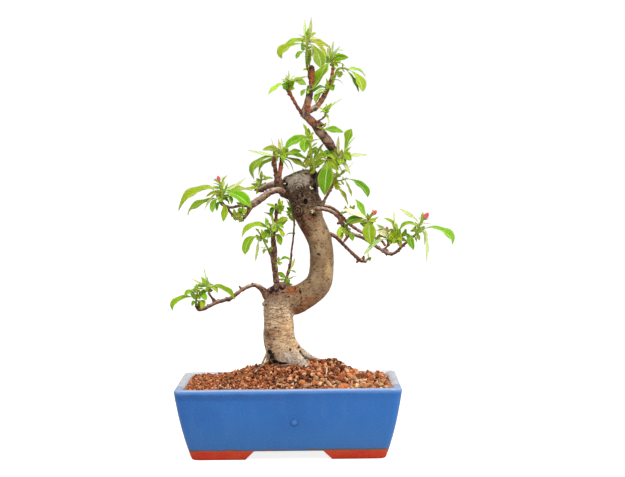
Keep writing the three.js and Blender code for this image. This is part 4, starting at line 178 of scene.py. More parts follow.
        ('o', 5.9, 0, 0.46, [(28.5, -8.4, 331.8), (27.2, -3.4, 345.5)]),
        ('o', 5.7, 0, 0.46, [(32.6, -11, 330.1), (32.6, -11, 329.5), (34.4, -14, 341.9)]),
        ('g', 14.6, 50, 0.8, [(34.2, -11.7, 332.6), (34.6, -11.7, 332.3), (36.4, -13.4, 337), (38.5, -15.3, 344.4), (41.2, -17.1, 351.9), (44, -18.8, 359.9), (45.5, -19.7, 364.4)]),
        ('y', 9.5, 0, 0.55, [(34.5, -11.8, 332.9), (38.2, -15.9, 335.6), (44.8, -21.8, 329)]),
        ('y', 5.9, 55, 0.46, [(34.8, -11.9, 333.4), (39.5, -10.8, 338.5), (44.6, -9.9, 344.3)]),
        ('p', 5.3, 68, 0.46, [(34.9, -12, 334), (41.3, -9.1, 345.3), (49.1, -7, 355.4)]),
        ('p', 6, 50, 0.55, [(34.2, -11.7, 332.5), (34.5, -11.7, 332.3), (44.5, -9.1, 333.9), (53.7, -7.4, 335), (63.6, -5.7, 334.9)]),
        ('p', 4.7, 0, 0.46, [(32.8, -11, 329.9), (37.6, -12.7, 324.9), (43.4, -15, 313.2)]),
        ('s', 1.1, 0, 0.46, [(32.4, -10.9, 329.9), (39.9, -8.6, 320.4), (48.3, -6.9, 327.5)]),
        ('d', 5.7, 0, 0.46, [(28.7, -8.4, 332.2), (30.8, -15.4, 322.7)]),
        ('o', 5.7, 0, 0.46, [(27.8, -7.8, 333), (22.4, -13.8, 329)]),
        ('g', 10.5, 0, 0.5, [(28.7, -8.4, 332.3), (26.6, 3.8, 333.5), (24.4, 16, 329.8)]),
        ('g', 10.5, 0, 0.5, [(32.6, -11, 330.1), (34.8, 1, 330.1), (36.9, 13, 325.1)]),
        ('g', 8.8, 0, 0.5, [(33, -11.2, 330.7), (32.4, -19.6, 329.1), (31.7, -28, 323.8)]),
        ('y', 8.7, 0, 0.5, [(28.7, -8.4, 332.3), (30.6, 1.8, 337.7), (32.5, 12, 338.8)]),
    ]),
    'shoot_knob_top': ([[(-15.1, 0, 308.5, 1.9), (-1.7, -3, 316.9, 1.9), (-0.6, -5, 324.2, 1.9), (-0.4, -6, 332.2, 1.8), (-1.1, -7, 341.2, 1.6), (-1.7, -7, 350.3, 1.5), (-2.4, -7, 357.1, 1.2)]], [
        ('g', 11.9, 0, 0.5, [(-2, -7, 354.8), (-5.8, -9.7, 354.2), (-8, -12.9, 348), (-8.2, -17, 338.1)]),
        ('g', 13.2, 36, 0.5, [(-2.4, -7, 355.9), (-9, -5, 356.3), (-17.6, -3, 352.1), (-24.4, -1.5, 348.7), (-29.9, 0, 342.2)]),
        ('g', 7.2, 55, 0.46, [(-2.3, -7, 355.9), (-5.5, -5.6, 361.7), (-9.4, -4, 371.1)]),
        ('g', 4.8, 0, 0.46, [(-2.3, -7, 356.5), (-3.4, -10, 366.4)]),
        ('y', 3.5, 14, 0.46, [(-2, -7, 355.4), (2.6, -3, 361.6)]),
        ('s', 1.8, 0, 0.46, [(-1.6, -7, 349.1), (4, -9.8, 352.7), (11.1, -12, 352.8)]),
        ('s', 1.4, 0, 0.46, [(-1.4, -7, 345.2), (2, -11, 341.9)]),
        ('o', 6.1, 0, 0.55, [(-0.3, -5.9, 331), (-3.6, -9.1, 328.2), (-7.4, -13.9, 319.8)]),
        ('y', 5.1, 28, 0.46, [(-0.4, -5.6, 328.8), (-5.9, -2.2, 329.4), (-10.3, 0.4, 325.5)]),
        ('o', 9.3, 68, 0.46, [(0.1, -5.6, 329.3), (7.3, -2.9, 337.8), (13.9, -0.6, 348.7)]),
        ('p', 4.4, 34, 0.46, [(-0.1, -5.2, 325.9), (4.9, -2.2, 333.3), (5.6, 0.8, 345.5)]),
        ('y', 3.4, 2, 0.46, [(-1, -6.9, 340.1), (-4.9, -11.9, 334.4)]),
        ('g', 11.3, 0, 0.5, [(-1.2, -7, 342.4), (1.4, 6, 342.9), (3.9, 19, 338.1)]),
        ('g', 11.1, 0, 0.5, [(-1.5, -7, 348), (-3.9, 6, 349.7), (-6.3, 19, 346.2)]),
        ('g', 11, 0, 0.5, [(-0.4, -6, 332.2), (-3.2, 6, 335.3), (-5.9, 18, 333.6)]),
        ('y', 8.8, 0, 0.5, [(-2, -7, 353.7), (-0.2, -16, 354.2), (1.7, -25, 351.1)]),
    ]),
    'shoot_knob_right': ([[(-15.1, 0, 308.5, 1.8), (2.3, -9, 317.4, 1.8), (2.9, -11, 323.1, 1.7), (6, -13, 329.2, 1.6), (10.6, -15, 332.8, 1.5), (15.1, -17, 332.5, 1.2)]], [
        ('g', 9.6, 30, 0.5, [(3.4, -11.5, 324.7), (8.9, -13.1, 333.1), (21.3, -14.5, 335.5)]),
        ('g', 7.2, 20, 0.46, [(2.9, -10.8, 322.5), (7.7, -15.1, 325.8), (15.6, -19.8, 329.6)]),
        ('G', 19, 14, 0.5, [(14.5, -17, 332.3), (17.2, -20, 325.7), (17.1, -23, 318.4), (15.8, -25.5, 310.5), (14.9, -28, 299.6), (14, -29.5, 289.8)]),
        ('y', 9.5, 0, 0.55, [(14.5, -16.8, 332.3), (21.2, -19.5, 327.9), (30.3, -22.8, 317.9)]),
        ('y', 6, 50, 0.46, [(14.5, -16.7, 332.8), (20.7, -21.3, 334.1), (25.6, -24.7, 330.1)]),
        ('d', 8.2, 68, 0.46, [(10.6, -15, 333.1), (17.4, -12, 337.9), (26.6, -9, 331.5)]),
        ('y', 4.3, 26, 0.46, [(3.1, -11.2, 323.6), (0.4, -17.2, 332.1)]),
        ('g', 11.3, 0, 0.5, [(10.5, -15, 332.7), (12.9, -2, 338.3), (15.3, 11, 338.4)]),
        ('g', 10.3, 0, 0.5, [(5.1, -12.4, 327.4), (7.3, -0.5, 328.8), (9.5, 11.5, 325.4)]),
    ]),
    'shoot_twig_right': ([[(22.5, 22, 298.9, 1.5), (23.1, 24, 299.6, 1.5), (24.3, 24, 304.6, 1.5), (27.7, 22, 309.7, 1.4), (33.5, 20, 313.7, 1.3), (38.1, 18, 317.6, 1)], [(26, 23, 306.9, 0.9), (32.3, 20, 306.1, 0.8), (38.5, 17, 308.2, 0.8)]], [
        ('o', 4.4, 0, 0.46, [(32.9, 20.2, 313.3), (38.9, 18.2, 319)]),
        ('y', 5.8, 0, 0.46, [(24, 24, 303.6), (24.6, 24, 303.4), (27.9, 31, 314.9)]),
        ('y', 4.8, 0, 0.46, [(24, 24, 301.7), (33, 18, 298)]),
        ('y', 5.8, 0, 0.46, [(24.2, 24, 302.9), (30.5, 15, 306.8)]),
        ('y', 4.6, 0, 0.46, [(23.8, 24, 301.1), (20.5, 17, 305.8)]),
        ('G', 15.5, 55, 0.62, [(38, 17.3, 308.1), (43.7, 14.9, 307.6), (48.8, 13.2, 305.2), (53.8, 11.5, 301.1), (58.9, 9.7, 296.3), (62.2, 8.3, 291.1), (63.2, 7.3, 286.8)]),
        ('o', 8.3, 68, 0.46, [(37.8, 17.3, 308), (38, 17.3, 307.6), (40.7, 15.5, 299.9), (43.7, 14.1, 292.4), (45.7, 13.3, 287.6)]),
        ('o', 11.8, 68, 0.46, [(24.2, 24, 302.3), (29.3, 21.9, 297.6), (34.4, 20, 291.3), (38.3, 18.3, 284), (41.3, 17, 277.7)]),
        ('y', 4.5, 35, 0.46, [(24.2, 24, 302.3), (30, 31, 295.6)]),
        ('y', 4.5, 52, 0.46, [(24.6, 24, 304), (34.6, 28, 301)]),
        ('p', 3.7, 0, 0.46, [(27.4, 22.4, 308.6), (24.4, 27.4, 316.1)]),
        ('g', 9.9, 0, 0.5, [(24, 24, 303.5), (21.6, 35, 304.2), (19.2, 46, 300.5)]),
        ('g', 10.3, 0, 0.5, [(27.6, 22.1, 309.5), (29.9, 34, 313.5), (32.1, 46, 312.5)]),
        ('y', 7.7, 0, 0.5, [(24.7, 23.8, 305.2), (26.9, 32.9, 305.3), (29.1, 42, 301.5)]),
    ]),
    'shoot_stub_top': ([[(-34.2, 4, 330.9, 1.7), (-34.2, 5, 331.9, 1.7), (-34.2, 3, 337.1, 1.6), (-33.7, 3, 341.7, 1)], [(-34.1, 4, 334.3, 1.1), (-38.2, 0, 334.7, 1)]], [
        ('g', 20.1, 68, 0.55, [(-37.1, 1.1, 334.5), (-51.8, -3.3, 333.3), (-62, -6, 327.1), (-67, -8.1, 318.1), (-65.5, -9.9, 308.7)]),
        ('g', 14.5, 68, 0.5, [(-36.8, 1.4, 334.3), (-47.5, 4.9, 329.3), (-56.7, 7.2, 324.3), (-60.9, 9.4, 313.9)]),
        ('o', 9.6, 34, 0.55, [(-34.5, 3.4, 336), (-44, 8.6, 343), (-55.9, 12.4, 342.4)]),
        ('p', 7.2, 62, 0.46, [(-37.1, 1.1, 334.9), (-51.8, -2.4, 336.7), (-71.7, -5.9, 341.6)]),
        ('p', 3.6, 20, 0.46, [(-34.3, 3, 337.1), (-36.4, 0.8, 345.1), (-37.7, -1, 354.5)]),
        ('p', 3.5, 9, 0.46, [(-33.8, 3, 338.3), (-34.1, 7, 355.1)]),
        ('y', 4.6, 0, 0.46, [(-34, 3.9, 334.9), (-29.9, -0.1, 344.7)]),
        ('g', 10.6, 54, 0.6, [(-33.9, 3.2, 336.6), (-22.2, -3.4, 338.9), (-11.6, -7.8, 340)]),
        ('o', 12.2, 60, 0.55, [(-34, 4.3, 333.7), (-25.8, 1.1, 331.9), (-16.7, -1.7, 327.3), (-6.2, -4.7, 320.9)]),
        ('h', 12.4, 68, 0.46, [(-34, 3.4, 336), (-21.2, 1.5, 335.9), (-2.7, -0.6, 329.6)]),
        ('s', 1.6, 0, 0.46, [(-34, 4.9, 332.3), (-25.8, 3.1, 329.1), (-19.9, 0.9, 315)]),
        ('s', 1.1, 0, 0.46, [(-34.3, 5, 332), (-28.8, 7.5, 324.6), (-25.7, 9, 318.5)]),
        ('g', 7.3, 38, 0.46, [(-36.6, 1.6, 334.3), (-41.6, -2.4, 330.4), (-44.7, -6.4, 322.1)]),
        ('y', 4.5, 25, 0.46, [(-34.3, 3.8, 334.3), (-32.3, -4.2, 326.5)]),
        ('s', 1.4, 0, 0.46, [(-34.3, 3, 337.1), (-41.7, 5.6, 343.5), (-46.1, 8, 355.6)]),
        ('g', 8.4, 53, 0.46, [(-36, 2.2, 334.4), (-50.6, 15.2, 330.2)]),
        ('h', 11.6, 0, 0.5, [(-34.2, 3.5, 335.8), (-37.6, 16.8, 340.3), (-41, 30, 339.2)]),
        ('h', 12.4, 0, 0.5, [(-34.2, 3.3, 336.3), (-30.7, 17.7, 338.7), (-27.3, 32, 335.1)]),
        ('y', 8.8, 0, 0.5, [(-34.2, 3.7, 335.3), (-31.9, -5.7, 334.5), (-29.5, -15, 329.6)]),
        ('g', 10.5, 0, 0.5, [(-37.2, 1, 334.6), (-40.8, 13, 336.2), (-44.5, 25, 332.9)]),
    ]),
    'shoot_back_left': ([[(-59.7, 42, 296.1, 1.6), (-60, 44.5, 296.1, 1.6), (-59.8, 45, 303, 1.5), (-58.5, 45, 311.1, 1.1)]], [
        ('y', 4.9, 3, 0.46, [(-59.1, 45, 306.5), (-58.3, 45, 318.7)]),
        ('y', 3.5, 0, 0.46, [(-59.1, 45, 305.9), (-64.4, 40, 309.7)]),
        ('y', 5.4, 31, 0.46, [(-59.8, 44.8, 299.6), (-70.8, 37.8, 303.2)]),
        ('y', 7.2, 59, 0.46, [(-59.9, 44.6, 297.2), (-77, 49.6, 298.5)]),
        ('y', 6.2, 53, 0.46, [(-58.9, 45, 306.5), (-53.4, 47.5, 309.1), (-44.9, 50, 309.8)]),
        ('y', 4.6, 0, 0.46, [(-59.8, 44.8, 299.6), (-65, 39.8, 291)]),
        ('y', 4.6, 0, 0.46, [(-59.8, 44.7, 299), (-55.7, 39.7, 293.2)]),
        ('g', 3.9, 15, 0.46, [(-59.8, 44.8, 300.7), (-53.2, 38.8, 303)]),
        ('d', 4.4, 33, 0.46, [(-59.8, 44.7, 299), (-67.6, 51.7, 295.3)]),
        ('g', 9.9, 0, 0.5, [(-59.8, 44.9, 301.9), (-62.7, 55, 304.8), (-65.6, 65, 303.6)]),
        ('g', 9.9, 0, 0.5, [(-59.9, 44.8, 299.6), (-56.9, 54.9, 301.6), (-53.9, 65, 299.3)]),
    ]),
    'shoot_upper_left_end': ([[(-101, -36, 282.8, 1.4), (-101.4, -38.6, 282.5, 1.4), (-100.8, -37, 290.5, 1.9), (-101.3, -36.5, 299.5, 2.1), (-102.4, -36, 305.4, 2.1)]], [
        ('g', 24.5, 68, 0.5, [(-101.7, -36.8, 293.9), (-112.7, -38.5, 298.7), (-120.5, -39.4, 297.9), (-133.9, -40.8, 291.7), (-142.3, -41.7, 284.9), (-149.1, -42.8, 274.4)]),
        ('g', 19.6, 68, 0.6, [(-101.4, -37.2, 289.4), (-113.1, -34.1, 286.7), (-123.4, -32, 282.5), (-132.5, -30.3, 278.1), (-138.2, -29.1, 273.4), (-139.5, -28.2, 268.4)]),
        ('p', 5.9, 61, 0.46, [(-101.7, -36.7, 296.1), (-109.9, -40.6, 290.7), (-120.1, -45.7, 275.6)]),
        ('y', 7.7, 62, 0.46, [(-101.2, -36.9, 291.7), (-110.5, -40.5, 293.5), (-118.5, -42.9, 289.7)]),
        ('s', 1.3, 0, 0.46, [(-102.4, -36.2, 302.8), (-105.4, -38.3, 306.6), (-111.1, -40.2, 308.7)]),
        ('s', 1.1, 0, 0.46, [(-102, -36.3, 301.7), (-106.2, -34.1, 304), (-111.3, -32.3, 304.8)]),
        ('s', 1.1, 0, 0.46, [(-101.7, -36.8, 294.4), (-109.4, -39.1, 295.1), (-109.8, -40.8, 302.6)]),
        ('p', 3.6, 0, 0.46, [(-101.1, -36.6, 297.2), (-98.9, -35, 303.9), (-100.5, -33.6, 312.1)]),
        ('y', 5.6, 53, 0.46, [(-101.1, -36.8, 294.4), (-96, -38.9, 297.8), (-93.8, -40.8, 304.7)]),
        ('g', 17, 41, 0.52, [(-100.8, -36.9, 292.2), (-94.9, -39.4, 294.1), (-84.7, -42.5, 291.5), (-75.8, -45.2, 285.4), (-67.7, -47.9, 277.3)]),
        ('p', 6.4, 56, 0.46, [(-101.1, -36.7, 295.6), (-90.6, -33.7, 298.2), (-82.2, -31.7, 303.2), (-74.6, -29.7, 310.3)]),
        ('u', 15.2, 68, 0.46, [(-101.1, -36.7, 295), (-85.3, -27.9, 298.7), (-67.2, -20.7, 296.2)]),
        ('g', 9.7, 36, 0.6, [(-101.1, -37.6, 287.7), (-107.7, -41.8, 285.6), (-110.9, -47.6, 272.2)]),
        ('g', 6.3, 42, 0.46, [(-101.2, -38.1, 285), (-104.7, -40.9, 282.8), (-106, -45.1, 273.7)]),
        ('y', 5.7, 11, 0.46, [(-101.2, -37.1, 290), (-110.3, -28.1, 296.1)]),
        ('g', 8.2, 64, 0.46, [(-100.9, -37.3, 288.9), (-92.6, -42.2, 289.4), (-89.4, -46.3, 280.8)]),
        ('d', 5.8, 52, 0.46, [(-101, -37.7, 287.2), (-95.3, -33.1, 285.9), (-92.9, -29.7, 280.3)]),
        ('y', 9.3, 30, 0.5, [(-101.3, -38.5, 283), (-97.7, -40.7, 277.7), (-97.3, -42.3, 271.6), (-99.3, -44.5, 261.9)]),
        ('g', 11.2, 0, 0.5, [(-100.9, -37, 291.1), (-99.1, -24, 291.3), (-97.4, -11, 286.2)]),
        ('g', 11.4, 0, 0.5, [(-101, -36.9, 292.8), (-104.6, -23.9, 293.7), (-108.1, -11, 289.2)]),
        ('g', 8.8, 0, 0.5, [(-101.1, -37.7, 287.2), (-102.2, -45.6, 287.3), (-103.2, -53.5, 284.1)]),
        ('y', 8.8, 0, 0.5, [(-101.2, -36.6, 297.3), (-100, -26.6, 297.5), (-98.8, -16.5, 293.6)]),
    ]),
    'shoot_upper_left_mid': ([[(-75.5, -25.7, 279.5, 0.9), (-75.1, -26.5, 281.7, 0.9), (-77.6, -29, 278.1, 0.9), (-78.7, -29.5, 275.1, 0.8)]], [
        ('y', 6.2, 0, 0.5, [(-77.8, -29.1, 277.5), (-75.9, -31.3, 273.4), (-79.2, -33.1, 269.8)]),
        ('y', 5.6, 0, 0.46, [(-78.4, -29.4, 276), (-83.8, -34.4, 273.8)]),
        ('g', 4.2, 36, 0.46, [(-77.3, -28.6, 278.6), (-85.2, -32.6, 283)]),
        ('y', 3.4, 0, 0.46, [(-78.7, -29.5, 275.3), (-78.4, -25.5, 269.4)]),
        ('g', 7.7, 0, 0.5, [(-78.3, -29.3, 276.2), (-77.2, -20.3, 279.2), (-76, -11.3, 278.6)]),
    ]),
    'shoot_upper_left_low': ([[(-78.5, -26, 263.8, 1.2), (-78.1, -27.5, 262.9, 1.2), (-80, -29.5, 265.9, 1), (-81.3, -30, 269.3, 0.8)]], [
        ('y', 4.9, 0, 0.46, [(-80, -29.5, 266.1), (-84.7, -35.5, 271.3)]),
        ('y', 4.5, 0, 0.46, [(-80.5, -29.7, 267.5), (-81.1, -25.7, 275.6)]),
        ('d', 4.3, 0, 0.46, [(-79.4, -28.9, 265), (-82.1, -32.9, 260.8)]),
        ('o', 4, 0, 0.46, [(-80, -29.3, 265.5), (-85.9, -34.3, 265.4)]),
        ('g', 7.7, 0, 0.5, [(-80.4, -29.7, 267), (-79.1, -20.7, 269.6), (-77.8, -11.7, 268.5)]),
    ]),
    'shoot_upper_left_twig': ([[(-86.9, -31, 265.3, 1), (-86.6, -32.5, 264.2, 1), (-85.7, -33, 266.8, 0.9)]], [
        ('y', 4.7, 0, 0.46, [(-85.9, -32.9, 266.5), (-87.7, -36.9, 276.2)]),
        ('y', 3.6, 0, 0.46, [(-85.9, -32.9, 266.2), (-82.7, -35.9, 273)]),
        ('o', 3.4, 0, 0.46, [(-86.2, -32.7, 265.1), (-82.2, -29.7, 264.4)]),
    ]),
    'shoot_lower_left_end': ([[(-131.3, -30, 166.8, 1.2), (-131.6, -32, 168.2, 1.2), (-131.1, -32, 174.1, 1.2), (-130.3, -32.5, 178.6, 1.1), (-129.8, -33, 184.2, 0.9), (-130.1, -33, 188.2, 0.7)]], [
        ('g', 14.8, 66, 0.6, [(-131.1, -32, 174.1), (-135.8, -33.4, 177.4), (-143.1, -34.7, 176.9), (-150.8, -36.1, 173.2), (-156.1, -37.1, 168.5), (-157.4, -38, 162.7)]),
        ('g', 7.8, 46, 0.55, [(-130.3, -32.4, 178), (-135.7, -35.2, 182), (-139.1, -36.4, 183.1), (-144.1, -38.4, 178)]),
        ('y', 7.2, 36, 0.55, [(-131.1, -32, 173.7), (-123.9, -36.1, 172.8), (-125.5, -40, 164.2)]),
        ('g', 6.7, 0, 0.55, [(-131, -32.1, 174.6), (-127.8, -28.8, 171), (-127.5, -25.1, 162.8)]),
        ('g', 4.9, 0, 0.46, [(-131.2, -32, 172.6), (-134.4, -35.1, 171.7), (-136, -38, 167.5)]),
        ('p', 3.6, 0, 0.46, [(-130.2, -32.7, 181.4), (-136.3, -36.7, 187)]),
        ('p', 3.4, 0, 0.46, [(-129.9, -33, 183.9), (-133.7, -29, 189.9)]),
        ('y', 4.3, 0, 0.46, [(-129.9, -33, 184.2), (-130.4, -36, 192.6)]),
        ('g', 4.5, 0, 0.46, [(-130.3, -32.5, 179.2), (-126.4, -40.5, 176.3)]),
        ('g', 7.1, 35, 0.6, [(-130.5, -32.4, 177.5), (-123.2, -37.7, 179.7), (-119.3, -41.4, 174.3)]),
        ('g', 10.3, 0, 0.5, [(-130.7, -32.2, 176.3), (-129.3, -20.1, 178.8), (-127.8, -8, 176.4)]),
        ('g', 10.7, 0, 0.5, [(-130.2, -32.6, 179.7), (-133.3, -20.5, 179.5), (-136.4, -8.5, 174.2)]),
        ('y', 7.7, 0, 0.5, [(-129.9, -32.9, 183.1), (-128.2, -40, 186.2), (-126.5, -47, 186.2)]),
    ]),
    'shoot_lower_left_mid': ([[(-116.2, -28, 179.3, 1.1), (-116.9, -30.3, 181.3, 1.1), (-117.5, -30, 183.9, 1.2), (-118.5, -30, 188.4, 1.2), (-119.5, -30, 192.4, 0.8)]], [
        ('p', 4.1, 60, 0.46, [(-119.3, -30, 190.1), (-120.8, -31.1, 199.8), (-122.5, -32, 210.3)]),
        ('p', 4.1, 57, 0.46, [(-119.1, -30, 189), (-128.2, -27.1, 192.9), (-136.8, -25, 197.6)]),
        ('p', 2.2, 41, 0.46, [(-119, -30, 189.6), (-117.8, -33, 200.2)]),
        ('s', 1.3, 0, 0.46, [(-118.5, -30, 187.9), (-113.8, -27, 194.1)]),
        ('y', 5.4, 28, 0.46, [(-119.1, -30, 189), (-125.2, -34, 200.2)]),
        ('y', 4.4, 22, 0.46, [(-119.2, -30, 190.1), (-120.3, -25, 199.8)]),
        ('g', 6.9, 42, 0.46, [(-118.7, -30, 188.4), (-126, -26, 189.7), (-133.2, -23, 187.8)]),
        ('o', 5.8, 0, 0.46, [(-117.8, -30, 185.1), (-123.3, -34.6, 183.2), (-128.4, -38, 179.8)]),
        ('o', 4.7, 0, 0.46, [(-117.6, -30, 184.5), (-111.6, -38, 185.2)]),
        ('y', 6.4, 53, 0.46, [(-118.3, -30, 186.7), (-111, -34, 187.6), (-106.6, -37, 182)]),
        ('g', 15.1, 68, 0.55, [(-118.4, -30, 187.9), (-110, -30.9, 189.3), (-101.8, -31.7, 185.8), (-94.9, -32.3, 181.4), (-87.9, -33, 174)]),
        ('g', 10.2, 0, 0.5, [(-118.4, -30, 187.9), (-117.4, -18, 191.5), (-116.4, -6, 190.3)]),
        ('g', 8.8, 0, 0.5, [(-118, -30, 186.2), (-119.5, -37.5, 187.6), (-121, -45, 186)]),
        ('y', 9.1, 0, 0.5, [(-118.6, -30, 189), (-121.5, -19, 192.1), (-124.3, -8, 190.5)]),
    ]),
    'shoot_center_left': ([[(-44.4, -13.9, 244.5, 1.2), (-45.7, -18, 244.2, 1.2), (-45.1, -18, 251.3, 1.2), (-44.4, -18, 258.7, 1)]], [
        ('g', 17.5, 68, 0.5, [(-45.3, -18, 250.2), (-51.2, -19.2, 254), (-56.8, -20, 255.8), (-62.4, -20.6, 256.3), (-69.1, -21.4, 254.8), (-74.8, -22.1, 250.7), (-79.9, -23, 243.4)]),
        ('g', 8.5, 52, 0.6, [(-45.4, -18, 248.5), (-50.8, -20.5, 254.9), (-52.9, -23, 265.9)]),
        ('p', 7.3, 0, 0.46, [(-45.3, -18, 247.4), (-43.3, -21.2, 253.7), (-44.2, -24, 261.7)]),
        ('y', 7.7, 62, 0.46, [(-44.6, -18, 257.6), (-47.4, -14.8, 267.7), (-54.8, -13, 271.3)]),
        ('g', 8.1, 41, 0.6, [(-44.4, -18, 258.1), (-36.4, -20.7, 261.8), (-27, -23, 264.6)]),
        ('g', 8.4, 63, 0.46, [(-44.4, -18, 258.1), (-35.5, -13.5, 257.6), (-27.5, -10, 262.6)]),
        ('g', 7, 45, 0.46, [(-44.5, -18, 257.6), (-38.7, -22.4, 257.6), (-31.9, -27, 253.2)]),
        ('y', 8.6, 60, 0.6, [(-44.8, -18, 255.3), (-37.6, -23.4, 252.6), (-32.2, -29, 243.4)]),
        ('y', 8.4, 0, 0.6, [(-45.4, -18, 245.7), (-38.8, -21.2, 244.6), (-35.6, -25, 234.2)]),
        ('g', 5.8, 14, 0.46, [(-45.5, -18, 246.8), (-55.1, -9, 251.2)]),
        ('g', 5, 0, 0.46, [(-45.6, -18, 245.7), (-52.6, -25, 244.6)]),
        ('s', 1.1, 0, 0.46, [(-45.7, -18, 244.6), (-50.2, -20, 243.2), (-50.4, -22, 236.5)]),
        ('g', 12.9, 0, 0.5, [(-45.1, -18, 251.9), (-42.5, -3, 253.1), (-40, 12, 248.1)]),
        ('g', 12.1, 0, 0.5, [(-45.2, -18, 250.2), (-48.3, -4, 254.1), (-51.3, 10, 252.3)]),
        ('y', 8.8, 0, 0.5, [(-44.9, -18, 253.6), (-43.2, -25, 253.3), (-41.4, -32, 250.1)]),
    ]),
    'shoot_center_left_side': ([[(-47.9, -13, 224.5, 1.1), (-48.5, -14.6, 225.3, 1.1), (-50.9, -17, 231, 1.1), (-53.6, -20, 236.8, 1.1), (-56.8, -23, 243.7, 1.1), (-60.6, -25, 249.8, 0.9), (-63.7, -26, 253.1, 0.6)]], [
        ('g', 13.8, 43, 0.58, [(-57.1, -23.1, 244.1), (-63.5, -25.4, 244), (-69.3, -27, 241.8), (-73.2, -28.5, 236.2), (-74.9, -29.9, 230.1), (-75.9, -31.1, 224.2)]),
        ('p', 6, 53, 0.55, [(-56.8, -22.9, 243.4), (-60.3, -21.3, 240.3), (-62, -18.5, 229), (-64.9, -15.9, 216.1)]),
        ('y', 6.9, 47, 0.46, [(-53.9, -20.3, 237.4), (-56, -23.6, 244.9), (-57.8, -26.3, 253.2)]),
        ('g', 5.3, 32, 0.46, [(-55.2, -21.5, 240.3), (-51.7, -15.5, 250.8)]),
        ('s', 1.1, 0, 0.46, [(-52, -18.2, 233.4), (-54.8, -20.2, 231.2), (-59.6, -22.2, 232.8)]),
        ('g', 4.2, 31, 0.46, [(-50.1, -16.1, 229), (-54.5, -19.1, 228.3), (-55.3, -21.1, 224.3)]),
        ('y', 4.7, 0, 0.46, [(-49.9, -15.9, 228.5), (-44.3, -21.9, 232)]),
        ('g', 10.5, 0, 0.5, [(-56.7, -22.9, 243.5), (-59.4, -10.9, 243.7), (-62.1, 1, 239)]),
        ('g', 8.8, 0, 0.5, [(-54.2, -20.5, 238), (-52, -27.5, 240.8), (-49.8, -34.5, 240.7)]),
    ]),
    'shoot_center_top': ([[(-40.9, -12.6, 270.9, 1.1), (-37.9, -14.5, 270.9, 1.1), (-37.7, -15.5, 275.5, 1.1), (-37.2, -16, 279.4, 0.8)]], [
        ('y', 7.2, 0, 0.46, [(-37.7, -15.4, 274.9), (-30.8, -22.4, 278.4)]),
        ('y', 4.3, 0, 0.46, [(-37.5, -15.7, 277.2), (-32.6, -12.7, 284.7)]),
        ('y', 4.4, 35, 0.46, [(-37.5, -15.7, 277.2), (-36.5, -18.7, 287.7)]),
        ('y', 7.2, 60, 0.46, [(-37.8, -15.1, 273.8), (-44.7, -19.7, 277.9), (-52.2, -23.1, 281.1)]),
        ('d', 7, 59, 0.6, [(-37.9, -14.6, 271.5), (-44.2, -19.2, 275.9), (-45.1, -22.6, 268)]),
        ('s', 1.1, 0, 0.46, [(-37.9, -14.9, 272.7), (-33, -12.4, 273.1), (-27.1, -9.9, 269.4)]),
        ('y', 3.6, 0, 0.46, [(-37.9, -15, 273.2), (-34.6, -21, 268.6)]),
        ('g', 9.4, 0, 0.5, [(-37.7, -15.4, 275), (-36.1, -4.4, 275.5), (-34.5, 6.5, 271.6)]),
        ('y', 7.7, 0, 0.5, [(-37.7, -15.5, 275.5), (-39.1, -21.5, 278.6), (-40.6, -27.5, 279.1)]),
    ]),
    'shoot_center_small': ([[(-43.7, -11.2, 214.2, 0.9), (-41.2, -15, 213.9, 0.9), (-38.9, -15.8, 215.6, 0.9)]], [
        ('y', 3.6, 0, 0.46, [(-39.3, -15.7, 215.4), (-38.2, -18.7, 221.6)]),
        ('y', 3.6, 0, 0.46, [(-39.3, -15.7, 215.3), (-36.3, -18.7, 211.5)]),
        ('g', 7, 66, 0.46, [(-39.3, -15.7, 215.6), (-35.3, -17.6, 218), (-31.3, -18.8, 219.2), (-27.9, -19.8, 218.6), (-25, -20.7, 216.6)]),
        ('s', 1.1, 0, 0.46, [(-39.3, -15.7, 215.4), (-33.3, -12.7, 214.3)]),
    ]),
    'shoot_center_right_low': ([[(-36.6, 3, 179.8, 0.8), (-31.9, 3.8, 188.3, 0.8), (-29.6, 5.6, 196.7, 0.8)]], [
        ('y', 5.9, 0, 0.55, [(-29.7, 5.5, 196.2), (-34.1, 3.5, 198.6), (-39.7, 1.5, 202.8)]),
        ('y', 4.5, 53, 0.46, [(-29.7, 5.4, 195.6), (-34.2, 7, 193.3), (-40, 8.4, 194.2)]),
        ('g', 4.8, 0, 0.46, [(-31.7, 3.9, 188.9), (-25.8, -0.1, 193.9)]),
        ('s', 1.3, 0, 0.46, [(-31, 4.5, 191.4), (-25.8, 2.5, 195.7), (-21.2, 1.5, 197.8), (-16.5, 0.5, 196.3)]),
        ('d', 4, 47, 0.46, [(-31.9, 3.8, 188.5), (-22.8, -0.2, 187.9)]),
    ]),
    'leaf_center_right': ([[(-28.4, 10.4, 201.9, 0.8), (-27.5, 8.5, 202.3, 0.8), (-25.8, 8.5, 205.1, 0.7)]], [
        ('p', 3.3, 11, 0.46, [(-26.2, 8.5, 204.2), (-23.2, 7, 210.3), (-20, 5.5, 218.9)]),
    ]),
    'shoot_center_right_top': ([[(-21.8, 19.6, 245.3, 0.7), (-21.5, 17.5, 245.4, 0.7), (-21.1, 17.8, 253.4, 0.7), (-21.9, 18.3, 262.6, 0.7), (-23.7, 19, 269.5, 0.7)]], [
        ('s', 1.7, 0, 0.46, [(-21.6, 17.5, 246.2), (-26.9, 15.9, 246.4), (-31.5, 14.5, 243)]),
        ('y', 4.4, 0, 0.46, [(-22.9, 18.7, 266.6), (-25.8, 17.2, 266.5), (-21.9, 14.7, 260.4)]),
        ('g', 5.3, 0, 0.46, [(-23.5, 18.9, 268.7), (-24.9, 16.3, 273), (-29.6, 13.9, 276.2)]),
        ('g', 7.3, 60, 0.46, [(-23.6, 18.9, 268.9), (-26, 20.7, 277.6), (-29.7, 21.9, 284.8)]),
